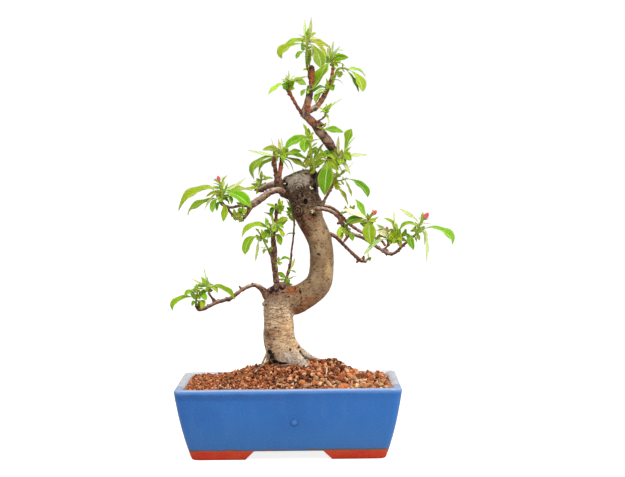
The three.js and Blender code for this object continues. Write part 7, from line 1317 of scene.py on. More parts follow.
def build_trunk():
    h = TRUNK_STEP
    P = np.vstack([s for n, _, s in LINES if n == "trunk"])
    rm = P[:, 3].max() + 8
    lo, hi = P[:, :3].min(0) - 14, P[:, :3].max(0) + 14
    lo[2] = 58
    lo = np.minimum(lo, (P[:, :3] - P[:, 3:4]).min(0) - 4)
    hi = np.maximum(hi, (P[:, :3] + P[:, 3:4]).max(0) + 6)
    lo[2] = 60
    fld = Field(lo, hi, h)
    fld.tube(catmull(TRUNK["trunk_low"], 2.0), 1)
    fld.tube(catmull(TRUNK["limb"], 2.0), 5)
    fld.cut(CUT_POINT, CUT_NORMAL, 8.0)
    for k, fil in (("root_right", 4.0), ("root_front", 6.0), ("root_left", 2.5), ("root_back", 5.0), ("root_thin_a", 1.0), ("root_thin_b", 1.0)):
        fld.tube(catmull(TRUNK[k], 1.5), fil)
    for p, r0, k in EXTRA:
        fld.tube(np.array([[*q, r0] for q in p], float), k)
    for n, p in PARENTS:
        if p == "trunk":
            r = WOOD[n][0][0][3]
            fld.tube(base_of(n, 9 + 1.5 * r, 1.25), 3.2)
    fld.cut((0, 0, 64), (0, 0, -1), 1.0)
    V, F = fld.surface()
    V, F = largest(V, F)
    V = relax(V, F, 1, 0.5)
    N = normals(V, F)
    z = V[:, 2]
    # which part of the trunk a point belongs to
    low = catmull(TRUNK["trunk_low"], 2.0)
    limb = catmull(TRUNK["limb"], 2.0)

    def near(S):
        d = np.full(len(V), 1e9)
        at = np.zeros(len(V))
        s = np.linspace(0, 1, len(S))
        for q, t in zip(S, s):
            e = np.linalg.norm(V - q[:3], axis=1) - q[3]
            m = e < d
            d[m] = e[m]
            at[m] = t
        return d, at

    d1, t1 = near(low)
    d2, t2 = near(limb)
    w = fbm(V, 9, 2, 5)
    pale = smooth(-3.0, 3.0, d2 - d1 + 2.5 * w)
    pale = np.maximum(pale, smooth(150, 130, z))
    kn = smooth(0.70, 0.82, t2 + 0.03 * w) * (1 - pale)
    cutn = np.asarray(CUT_NORMAL, float)
    cutn /= np.linalg.norm(cutn)
    dcut = (V - np.asarray(CUT_POINT)) @ cutn
    face = 0.8 * smooth(-4.0, -1.0, dcut) * smooth(0.55, 0.90, N @ cutn)
    for kind, cx, cy, cz, rx, rz, a in FEATURES:
        if kind == "grey":
            q = np.sqrt(((V[:, 0] - cx) / rx) ** 2 + ((V[:, 2] - cz) / rz) ** 2) + 0.12 * w
            face = np.maximum(face, a * smooth(1.25, 0.75, q) * smooth(cy + 16, cy + 9, V[:, 1]))
    # large and small lumps
    disp = 0.55 * fbm(V, 16, 2, 11) + 0.30 * fbm(V, 5.5, 2, 23) * (1 - 0.5 * face)
    disp += kn * (1 - face) * (1.0 * fbm(V, 6.5, 3, 37) + 0.35 * np.abs(fbm(V, 3.2, 2, 41)))
    # furrows in the knob, the collar and the foot
    rough = np.maximum(kn * (1 - 0.75 * face), 0.5 * smooth(112, 96, z))
    cr = np.abs(fbm(V * np.array([1.0, 1.0, 0.8]), 7.5, 2, 43))
    crack = smooth(0.085, 0.015, cr) * rough
    cr2 = np.abs(fbm(V, 3.6, 2, 47))
    crack2 = smooth(0.10, 0.02, cr2) * rough * 0.6
    disp -= 0.9 * crack + 0.35 * crack2
    # creases across the lower trunk, strongest at mid height
    ww = smooth(118, 132, z) * smooth(176, 160, z) * pale
    ph = V[:, 2] + 8.0 * fbm(V * np.array([1, 1, 0.5]), 13, 2, 51) + 0.010 * (V[:, 0] + 38) ** 2
    disp += 0.22 * ww * np.sin(2 * math.pi * ph / 3.1) * (0.5 + 0.5 * fbm(V, 10, 1, 57))
    disp += 0.14 * pale * np.sin(2 * math.pi * (ph * 0.45 + V[:, 0] * 0.03)) * smooth(110, 120, z)
    # painted shade darkens the furrows
    dark = np.maximum(0.75 * crack, 0.6 * crack2)
    dark = np.maximum(dark, kn * (1 - face) * 0.55 * smooth(0.10, 0.42, -fbm(V, 9, 3, 49)))
    stain = np.zeros(len(V))
    tan = np.zeros(len(V))
    red = np.zeros(len(V))
    bud = np.zeros(len(V))
    burr = np.zeros(len(V))
    wob = 1 + 0.11 * fbm(V, 8.0, 2, 77)
    for kind, cx, cy, cz, rx, rz, a in FEATURES:
        dx, dy, dz = V[:, 0] - cx, V[:, 1] - cy, V[:, 2] - cz
        front = smooth(max(13.0, 1.8 * rx), max(8.0, 1.1 * rx), np.abs(dy))
        q = np.sqrt((dx / rx) ** 2 + (dz / rz) ** 2 + (dy / max(6.0, 1.3 * rx)) ** 2 * 0.3) * wob
        g = np.exp(-q ** 2) * front
        if kind == "ring":
            ring = np.exp(-((q - 1.0) / 0.26) ** 2) * front
            inner = np.exp(-((q - 0.55) / 0.2) ** 2) * front
            pit = np.exp(-(q / 0.28) ** 2) * front
            clear = np.exp(-(q / 1.15) ** 4) * front
            dark *= 1 - 0.85 * clear
            disp += a * (1.25 * ring - 0.45 * inner - 1.2 * pit)
            dark = np.maximum(dark, a * (0.85 * np.exp(-((q - 1.36) / 0.15) ** 2) + 0.70 * np.exp(-((q - 0.70) / 0.11) ** 2) + 0.55 * np.exp(-((q - 0.42) / 0.09) ** 2) + 0.9 * pit) * front)
        elif kind == "whorl":
            clear = np.exp(-(q / 1.25) ** 4) * front
            dark *= 1 - 0.8 * a * clear
            disp += a * 1.3 * np.exp(-(q / 0.95) ** 2) * front
            arcs = (0.5 + 0.5 * np.cos(2 * math.pi * (q / 0.36 + 0.25 * np.sin(2 * np.arctan2(dz, dx))))) ** 3 * smooth(1.35, 1.0, q)
            disp -= 0.55 * a * arcs * front
            rim_ = np.exp(-((q - 1.28) / 0.16) ** 2) * front
            disp -= 0.7 * a * rim_
            dark = np.maximum(dark, a * 0.42 * rim_)
        elif kind == "pit":
            disp -= a * 2.6 * g
            disp += a * 0.9 * np.exp(-((q - 1.35) / 0.35) ** 2) * front
            # painted shade in the pit
            dark = np.maximum(dark, np.minimum(1, 1.35 * a * np.exp(-(q / 1.0) ** 4)) * front)
        elif kind == "eye":
            disp += 0.6 * a * g - 1.3 * a * np.exp(-(q / 0.4) ** 2) * front
            dark = np.maximum(dark, a * (0.95 * np.exp(-(q / 0.42) ** 2) + 0.35 * g))
        elif kind == "dark":
            # dark marks on the bark; those in the hollow at the left foot and along the soil line are painted shade
            dark = np.maximum(dark, a * g)
            disp -= 0.35 * a * g
        elif kind == "bump":
            disp += a * 1.6 * g
            dark = np.maximum(dark, 0.35 * a * np.exp(-((q - 1.1) / 0.25) ** 2) * front)
        elif kind == "stain":
            stain = np.maximum(stain, a * np.exp(-q ** 4) * front)
        elif kind == "tan":
            # pale tan patches: painted highlights
            tan = np.maximum(tan, a * g)
        elif kind == "red":
            red = np.maximum(red, a * g)
        elif kind == "bud":
            disp += 1.1 * np.exp(-(q / 0.8) ** 2) * front
            bud = np.maximum(bud, np.exp(-(q / 0.8) ** 4) * front)
        elif kind == "burr":
            burr = np.maximum(burr, a * np.exp(-q ** 4) * front)
    # the crust of old bud scales between the twigs: round warts, with painted shade in the gaps between them
    wart = np.abs(fbm(V, 3.4, 2, 91))
    disp += burr * (2.6 * np.minimum(wart, 0.5) - 0.2)
    dark = np.maximum(dark, 0.95 * burr * smooth(0.13, 0.03, wart))
    disp = np.clip(disp, -3.2, 2.8)
    V = V + N * disp[:, None]
    knob = kn * (1 - face)
    # greyer bark at the top and at the foot of the lower trunk
    grey = pale * np.maximum(smooth(163, 172, z + 3 * w), 0.7 * smooth(116, 100, z + 4 * w)) * 0.8
    ash = pale * smooth(118, 106, z + 4 * w) * smooth(-44, -34, V[:, 0]) * (1 - 0.6 * stain)
    wrinkle = np.clip(0.25 * pale + smooth(116, 128, z) * smooth(172, 162, z) * pale * 0.75 + 0.7 * kn * (1 - face), 0, 1) * (1 - 0.5 * tan)
    # soil shadow at the foot
    dark = np.maximum(dark, 0.55 * smooth(94, 89, V[:, 2]))
    ob = make("trunk_wood", V, F, BARK, {"pale": pale, "knob": knob, "dark": np.clip(dark, 0, 1), "stain": stain, "tan": tan, "red": red, "burr": burr, "grey": grey, "ash": ash, "face": face, "wrinkle": wrinkle})
    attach(ob, "root")
    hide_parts("trunk")
    return len(F) * 2


def build_wood(node, seed):
    rng = np.random.default_rng(seed)
    lines = [catmull(q, 0.8) for q in WOOD[node]]
    P = np.vstack(lines)
    rmin = P[:, 3].min()
    h = float(np.clip(0.30 * rmin, WOOD_STEP[0], WOOD_STEP[1]))
    lo = (P[:, :3] - P[:, 3:4]).min(0) - 4
    hi = (P[:, :3] + P[:, 3:4]).max(0) + 4
    fld = Field(lo, hi, h)
    for i, S in enumerate(lines):
        S = S.copy()
        d = np.r_[0, np.cumsum(np.linalg.norm(np.diff(S[:, :3], axis=0), axis=1))]
        # swollen joints along the line
        at = 3.0
        sw = np.zeros(len(S))
        joints = []
        while at < d[-1] - 1.5:
            sw += 0.16 * np.exp(-((d - at) / (0.45 * S[0, 3] + 0.8)) ** 2)
            joints.append(at)
            at += rng.uniform(4.5, 9.0)
        S[:, 3] *= 1 + sw + 0.05 * np.sin(d * 0.9 + rng.uniform(0, 6))
        fld.tube(S, 1.8 if i else 0.5)
        for a in joints:
            j = int(np.argmin(abs(d - a)))
            if d[-1] < 8 or rng.random() < 0.25:
                continue
            t = S[min(j + 1, len(S) - 1), :3] - S[max(j - 1, 0), :3]
            t /= np.linalg.norm(t) + 1e-9
            v = np.cross(t, rng.normal(size=3))
            v /= np.linalg.norm(v) + 1e-9
            r = S[j, 3]
            b0 = S[j, :3] + v * r * 0.7
            b1 = S[j, :3] + v * (r + rng.uniform(0.3, 0.9)) + t * rng.uniform(0.6, 1.6)
            fld.tube(np.array([[*b0, min(0.55 * r, 1.1)], [*b1, min(0.34 * r, 0.65)]]), 0.6)
    for n, p in PARENTS:
        if p == node:
            fld.tube(base_of(n, 3 + 1.5 * WOOD[n][0][0][3], 1.2), 1.6)
    V, F = fld.surface()
    V, F = largest(V, F)
    V = relax(V, F, 1, 0.5)
    N = normals(V, F)
    r = P[:, 3].mean()
    disp = 0.10 * min(r, 3) * fbm(V, 2.6, 3, seed) + 0.06 * min(r, 3) * fbm(V, 7, 2, seed + 5)
    V = V + N * disp[:, None]
    # age: stout wood is old, thin wood young
    best = np.full(len(V), 1e9)
    rad = np.zeros(len(V))
    slope = np.zeros(len(V))
    for S in lines:
        T = np.gradient(S[:, :3], axis=0)
        T /= np.linalg.norm(T, axis=1, keepdims=True) + 1e-9
        for q, t in zip(S[::2], T[::2]):
            e = np.linalg.norm(V - q[:3], axis=1) - q[3]
            m = e < best
            best[m] = e[m]
            rad[m] = q[3]
            slope[m] = abs(t[2])
    young = smooth(3.2, 1.7, rad + 0.3 * fbm(V, 8, 2, seed + 3))
    lying = smooth(0.75, 0.35, slope)
    dark = np.clip(smooth(0.20, 0.62, -fbm(V, 3.0, 2, seed + 9)) * 0.55, 0, 1)
    rust = np.zeros(len(V))
    light = np.zeros(len(V))
    wav = 1 + 0.25 * fbm(V, 2.6, 2, seed + 21)
    for n, kind, cx, cy, cz, rx, rz, a in WMARKS:
        if n == node:
            q = np.sqrt(((V[:, 0] - cx) / rx) ** 2 + ((V[:, 2] - cz) / rz) ** 2) * wav
            g = a * np.exp(-q ** 4)
            if kind == "rust":
                rust = np.maximum(rust, g)
                dark *= 1 - 0.7 * g
            elif kind == "light":
                # painted highlight
                light = np.maximum(light, g)
                dark *= 1 - 0.8 * g
            else:
                dark = np.maximum(dark, g)
                V = V - N * (0.35 * g)[:, None]
    name = node + "_wood"
    ob = make(name, V, F, TWIG, {"young": young, "lying": lying, "dark": dark, "rust": rust, "light": light})
    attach(ob, "root")
    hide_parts(node)
    return len(F) * 2


def bark_buds():
    """Tufts of pale scales where buds break from the old bark."""
    rng = np.random.default_rng(4242)
    bag = Bag()
    none = dict(along=0.0, across=1.0, blade=0.0)
    for cx, cy, cz, r, green in BARKBUDS:
        c = np.array([cx, cy, cz])
        out = np.array([0.15, -1.0, 0.25])
        out /= np.linalg.norm(out)
        for k in range(9):
            v = out * 0.9 + rng.normal(size=3) * np.array([0.75, 0.3, 0.75])
            v /= np.linalg.norm(v)
            b0 = c - out * 0.8 + np.array([rng.normal(), 0, rng.normal()]) * 0.22 * r
            L = r * rng.uniform(0.75, 1.25)
            q = np.array([[*b0, 0.26 * r], [*(b0 + v * L * 0.5), 0.30 * r], [*(b0 + v * L * 0.95 + np.array([0, 0, 0.12 * L])), 0.07 * r]])
            col = np.array(lin(246, 242, 196)) if rng.random() > green else np.array(lin(170, 190, 76))
            tube(bag, catmull(q, 0.5, 3), 8, np.minimum(col * (0.9 + 0.2 * rng.random()), 1), 0.05, rng, **none)
    ob = bag.make("trunk_bark_buds", LEAF)
    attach(ob, "root")
    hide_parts("trunk")
    return bag.tris()


# ---------------------------------------------------------------- leaves
TONE = {  # top, underside
    "g": ((134, 174, 16), (186, 204, 86)),
    "G": ((102, 160, 0), (150, 184, 48)),
    "y": ((164, 190, 16), (198, 212, 92)),
    "d": ((80, 130, 4), (134, 162, 54)),
    "h": ((140, 182, 26), (180, 206, 98)),
    "o": ((144, 144, 40), (176, 170, 90)),
    "u": ((152, 176, 46), (182, 194, 92)),
    "p": ((212, 222, 152), (232, 238, 196)),
    "w": ((232, 234, 206), (238, 240, 218)),
    "s": ((170, 180, 78), (188, 192, 108)),
}


class Bag:
    """Collects the parts of one mesh."""

    def __init__(self):
        self.V, self.F4, self.F3, self.A, self.n = [], [], [], {}, 0
        self.C = []

    def add(self, V, F4=None, F3=None, color=(1, 1, 1), **attrs):
        V = np.asarray(V, float)
        if F4 is not None and len(F4):
            self.F4.append(np.asarray(F4) + self.n)
        if F3 is not None and len(F3):
            self.F3.append(np.asarray(F3) + self.n)
        self.V.append(V)
        c = np.asarray(color, float)
        self.C.append(np.tile(c, (len(V), 1)) if c.ndim == 1 else c)
        for k, v in attrs.items():
            self.A.setdefault(k, []).append(np.full(len(V), v, float) if np.ndim(v) == 0 else np.asarray(v, float))
        self.n += len(V)

    def make(self, name, mat, flat=False):
        Fs = []
        if self.F4:
            Fs.append(np.vstack(self.F4))
        if self.F3:
            Fs.append(np.vstack(self.F3))
        return make(name, np.vstack(self.V), Fs, mat, {k: np.concatenate(v) for k, v in self.A.items()}, {"tint": np.vstack(self.C)}, flat)

    def tris(self):
        return 2 * sum(len(f) for f in self.F4) + sum(len(f) for f in self.F3)


def grid_faces(nu, nv, off=0, wrap=False, flip=False):
    i = np.arange(nu - 1)[:, None] * nv
    j = np.arange(nv if wrap else nv - 1)[None, :]
    j1 = (j + 1) % nv
    a, b, c, d = i + j, i + j1, i + nv + j1, i + nv + j
    q = np.stack([np.broadcast_to(x, (nu - 1, j.shape[1])).ravel() for x in (a, b, c, d)], 1) + off
    return q[:, ::-1] if flip else q


def frames(C):
    T = np.gradient(C, axis=0)
    T[0] = C[1] - C[0]
    T /= np.linalg.norm(T, axis=1, keepdims=True) + 1e-12
    return T


def tube(bag, S, sides, color, bumps=0.0, rng=None, taper_end=True, **attrs):
    """A closed round tube through S (m, 4)."""
    C, R = S[:, :3], S[:, 3].copy()
    T = frames(C)
    up = np.array([0.3, -1.0, 0.2])
    s = np.cross(T[0], up)
    s /= np.linalg.norm(s)
    rings = []
    a = np.linspace(0, 2 * math.pi, sides, endpoint=False)
    for k in range(len(C)):
        s = s - T[k] * (s @ T[k])
        s /= np.linalg.norm(s) + 1e-12
        n = np.cross(T[k], s)
        r = R[k]
        if bumps and rng is not None:
            r = r * (1 + bumps * rng.normal(size=sides) * 0.5)
        rings.append(C[k] + np.outer(np.cos(a) * r, s) + np.outer(np.sin(a) * r, n))
    V = np.vstack(rings + [C[:1], C[-1:] + (T[-1:] * R[-1] * 0.6 if taper_end else 0)])
    n = len(C)
    F = grid_faces(n, sides, wrap=True)
    j = np.arange(sides)
    c0 = np.stack([np.full(sides, n * sides), (j + 1) % sides, j], 1)
    c1 = np.stack([np.full(sides, n * sides + 1), (n - 1) * sides + j, (n - 1) * sides + (j + 1) % sides], 1)
    color = np.asarray(color, float)
    if color.ndim == 2:
        color = np.vstack([np.repeat(color, sides, 0), color[:1], color[-1:]])
    bag.add(V, F, np.vstack([c0, c1]), color, **attrs)


FOLD = math.radians(22)


def leaf(bag, kind, W, roll, m, pts, rng):
    P = np.asarray(pts, float)
    C0 = catmull(P, 0.6, 6) if len(P) > 2 else catmull(P, 0.6, 8)
    L = float(np.linalg.norm(np.diff(C0, axis=0), axis=1).sum())
    thin = kind == "s"
    if thin:
        nu, vs = 12, np.array([-1, 0, 1.0])
    elif L > 17:
        nu, vs = 27, np.array([-1, -0.78, -0.5, -0.22, 0, 0.22, 0.5, 0.78, 1.0])
    elif L > 9:
        nu, vs = 19, np.array([-1, -0.66, -0.3, 0, 0.3, 0.66, 1.0])
    else:
        nu, vs = 13, np.array([-1, -0.5, 0, 0.5, 1.0])
    pet = np.array([0, 0.05, 0.10])
    u = np.r_[pet, np.linspace(0.13, 1.0, nu - 3)]
    C, _ = arc_points(C0, u)
    T = frames(C)
    k = int(np.argmin(abs(u - 0.5)))
    S0 = np.cross(T[k], (0, -1, 0))
    if np.linalg.norm(S0) < 0.05:
        S0 = np.cross(T[k], (0, 0, 1))
    S0 /= np.linalg.norm(S0)
    N0 = np.cross(S0, T[k])
    rho = math.radians(roll)
    best = None
    for sg in (1, -1):
        S = S0 * math.cos(rho) + sg * N0 * math.sin(rho)
        N = np.cross(S, T[k])
        if best is None or N[2] > best[0]:
            best = (N[2], S)
    S = np.tile(best[1], (len(u), 1))
    S = S - T * (S * T).sum(1, keepdims=True)
    S /= np.linalg.norm(S, axis=1, keepdims=True) + 1e-9
    N = np.cross(S, T)
    # a slight twist along the blade
    tw = rng.normal() * 0.16 * (u - 0.5)
    S, N = S * np.cos(tw)[:, None] + N * np.sin(tw)[:, None], N * np.cos(tw)[:, None] - S * np.sin(tw)[:, None]
    m = min(max(m, 0.25), 0.75)
    q = math.log(0.5) / math.log(m)
    s = np.clip((u - 0.12) / 0.88, 0, 1)
    w = W / 2 * np.sin(math.pi * s ** q).clip(0, 1) ** 0.85
    pr = min(0.55, 0.10 + 0.05 * W) if not thin else 0.28
    w = np.maximum(w, pr * np.where(u < 0.14, 1, np.clip((1 - u) * 8, 0, 1)))
    if L > 17:  # fine teeth along the margin
        teeth = 1 + 0.014 * np.where(np.arange(len(u)) % 2 == 0, 1, -1) * smooth(0.2, 0.3, u) * smooth(1.0, 0.9, u)
    else:
        teeth = np.ones(len(u))
    if thin:
        w = W / 2 * (1 - u) ** 0.6 * (0.6 + 0.4 * np.sin(math.pi * np.clip(u, 0, 1))) + 0.05
    v = vs[None, :]
    ww = (w * teeth)[:, None]
    inner = (w)[:, None]
    wid = np.where(np.abs(v) > 0.99, ww, inner)
    fold = FOLD * (1.0 + 0.25 * rng.normal()) * (0.4 if thin else 1)
    fold = min(max(fold, 0.15), 0.75)
    bl = smooth(0.10, 0.22, u)[:, None]
    off = v * wid * (1 - bl * (1 - math.cos(fold)))
    ph = rng.uniform(0, 6.28)
    lift = bl * wid * (math.sin(fold) * np.abs(v) ** 1.25 - 0.10 * v ** 4)
    amp = 0.05 if thin else 0.10
    lift = lift + bl * amp * wid * v ** 2 * np.sin(2 * math.pi * (2.3 * u[:, None]) + ph + 1.3 * np.sign(v))
    # the blade between the side veins swells a little
    if L > 9 and not thin:
        ph2 = 11.0 * u[:, None] - 1.7 * np.abs(v) ** 1.3
        lift = lift + bl * 0.10 * np.abs(np.sin(math.pi * ph2)) * (np.abs(v) > 0.1) * (np.abs(v) < 0.99)
    th = np.where(u < 0.13, pr * 0.9, 0.17)[:, None] * np.ones_like(v)
    th = th + bl * 0.10 * np.exp(-(v / 0.2) ** 2)
    if thin:
        th = np.full((len(u), len(vs)), 0.22)
    th = th * np.where(np.abs(v) > 0.99, 0.0, 1.0) * (0.35 + 0.65 * np.clip((1 - u) * 6, 0, 1))[:, None]
    groove = -0.14 * bl * np.exp(-(v / 0.1) ** 2) if not thin else 0
    base = C[:, None, :] + S[:, None, :] * off[..., None] + N[:, None, :] * (lift + groove)[..., None]
    top = base + N[:, None, :] * th[..., None]
    bot = base - N[:, None, :] * th[..., None]
    nu_, nv_ = len(u), len(vs)
    # top grid holds every vertex; the underside shares the two margins
    inn = np.arange(1, nv_ - 1)
    Vt = top.reshape(-1, 3)
    Vb = bot[:, inn].reshape(-1, 3)
    idt = np.arange(nu_ * nv_).reshape(nu_, nv_)
    idb = idt.copy()
    idb[:, inn] = nu_ * nv_ + np.arange(nu_ * len(inn)).reshape(nu_, len(inn))
    def quads(I, flip):
        a, b, c, d = I[:-1, :-1], I[:-1, 1:], I[1:, 1:], I[1:, :-1]
        Q = np.stack([a.ravel(), b.ravel(), c.ravel(), d.ravel()], 1)
        return Q[:, ::-1] if flip else Q
    Q = np.vstack([quads(idt, False), quads(idb, True)])
    # the two open ends: the foot of the stalk and the point
    ends = []
    for row, fl in ((0, True), (nu_ - 1, False)):
        loop_t, loop_b = idt[row], idb[row]
        for j in range(nv_ - 1):
            f = [loop_t[j], loop_t[j + 1], loop_b[j + 1], loop_b[j]]
            f = [x for i, x in enumerate(f) if x not in f[:i]]
            if len(f) == 4:
                ends.append(("q", f[::-1] if fl else f))
            elif len(f) == 3:
                ends.append(("t", f[::-1] if fl else f))
    Fq = np.vstack([Q] + [np.array([f]) for t, f in ends if t == "q"])
    Ft = np.array([f for t, f in ends if t == "t"])
    tc, bc = TONE[kind]
    j1 = rng.normal(size=3) * np.array([10, 8, 7]) + rng.normal() * 8
    tc = np.clip(np.array(tc) + j1, 8, 250)
    bc = np.clip(np.array(bc) + j1, 8, 250)
    tcl, bcl = np.array(lin(*tc)), np.array(lin(*bc))
    ct = np.tile(tcl, (nu_ * nv_, 1)).reshape(nu_, nv_, 3)
    yel = np.array(lin(206, 214, 96))
    red = np.array(lin(176, 120, 62))
    g1 = (0.35 * smooth(0.45, 0.10, u))[:, None, None]
    ct = ct * (1 - g1) + yel * g1
    if kind in "ypw":
        g2 = (0.22 * smooth(0.8, 1.0, u))[:, None, None]
        ct = ct * (1 - g2) + red * g2
    stalk = (smooth(0.16, 0.08, u))[:, None, None]
    stc = np.array(lin(168, 176, 78)) * 0.8 + 0.2 * red
    ct = ct * (1 - 0.7 * stalk) + stc * 0.7 * stalk
    cb = np.tile(bcl, (nu_ * len(inn), 1)).reshape(nu_, len(inn), 3)
    cb = cb * (1 - 0.7 * stalk) + stc * 0.7 * stalk
    ct[:, 0] = ct[:, -1] = ct[:, 1] * 0.5 + cb[:, 0] * 0.5
    V = np.vstack([Vt, Vb])
    along = np.r_[np.repeat(u, nv_), np.repeat(u, len(inn))]
    across = np.r_[np.tile(vs, nu_), np.tile(vs[inn], nu_)]
    blade = smooth(0.12, 0.2, along) * (0 if thin else 1)
    if kind in "pw":
        blade = blade * 0.5
    bag.add(V, Fq, Ft if len(Ft) else None, np.vstack([ct.reshape(-1, 3), cb.reshape(-1, 3)]), along=along, across=across, blade=blade)


def build_shoot(name, stems, leaves, seed):
    rng = np.random.default_rng(seed)
    bag = Bag()
    none = dict(along=0.0, across=1.0, blade=0.0)
    for i, q in enumerate(stems):
        S = catmull(q, 1.0, 3)
        d = np.r_[0, np.cumsum(np.linalg.norm(np.diff(S[:, :3], axis=0), axis=1))]
        S = S.copy()
        S[:, 3] *= 1 + 0.35 * np.exp(-(d / 1.6) ** 2) + 0.10 * np.sin(d * 1.7 + rng.uniform(0, 6)) + 0.12 * (np.sin(d * 3.1 + i) > 0.75)
        t = (d / max(d[-1], 1e-6))[:, None]
        c = np.array(lin(122, 76, 48)) * (1 - smooth(0.0, 0.45, t)) + np.array(lin(156, 168, 66)) * smooth(0.0, 0.45, t)
        tube(bag, S, 10, c, 0.05, rng, **none)
    # bud scales around the foot of the shoot
    S = catmull(stems[0], 1.0, 3)
    T = frames(S[:, :3])
    for k in range(7):
        j = min(len(S) - 1, int(rng.integers(0, max(2, min(5, len(S))))))
        ax = T[j]
        v = np.cross(ax, rng.normal(size=3))
        v /= np.linalg.norm(v) + 1e-9
        r = S[j, 3]
        b0 = S[j, :3] + v * r * 0.75
        tip = b0 + v * rng.uniform(0.5, 1.2) + ax * rng.uniform(1.2, 2.4)
        q = np.array([[*b0, 0.55], [*(b0 * 0.45 + tip * 0.55 + v * 0.25), 0.5], [*tip, 0.12]])
        col = np.array(lin(134, 82, 50)) if rng.random() < 0.6 else np.array(lin(178, 186, 92))
        tube(bag, q, 6, col, **none)
    for lf in leaves:
        leaf(bag, lf[0], lf[1], lf[2], lf[3], lf[4], rng)
    # the small unfolding leaves between them
    dense = name in DENSE
    for q in stems:
        S = catmull(q, 1.0, 3)
        T = frames(S[:, :3])
        for k in range(int(min(8, 3 + len(S) // 6) if dense else min(5, 2 + len(S) // 9))):
            j = min(len(S) - 1, int(len(S) * rng.uniform(0.45, 1.0)))
            v = np.cross(T[j], rng.normal(size=3))
            v /= np.linalg.norm(v) + 1e-9
            L = rng.uniform(6.0, 12.0) if dense else rng.uniform(4.5, 9.0)
            b0 = S[j, :3] + v * 0.4 * S[j, 3]
            d1 = 0.55 * v + 0.75 * T[j]
            d2 = 0.95 * v + 0.35 * T[j] + np.array([0, 0, rng.uniform(-0.25, 0.35)])
            pts = [b0, b0 + d1 * 0.18 * L, b0 + (0.4 * d1 + 0.6 * d2) * 0.55 * L, b0 + d2 * L]
            leaf(bag, "ypyug"[int(rng.integers(0, 5))], L * rng.uniform(0.26, 0.38), rng.uniform(-30, 60), 0.5, pts, rng)
    ob = bag.make(name + "_leaves", LEAF)
    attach(ob, "root")
    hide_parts(name)
    return bag.tris()


DENSE = ("shoot_knob_top", "shoot_knob_right", "shoot_leader_right", "shoot_stub_top", "shoot_apex_top", "shoot_apex_right", "shoot_center_left", "shoot_upper_left_end", "shoot_right_mid")


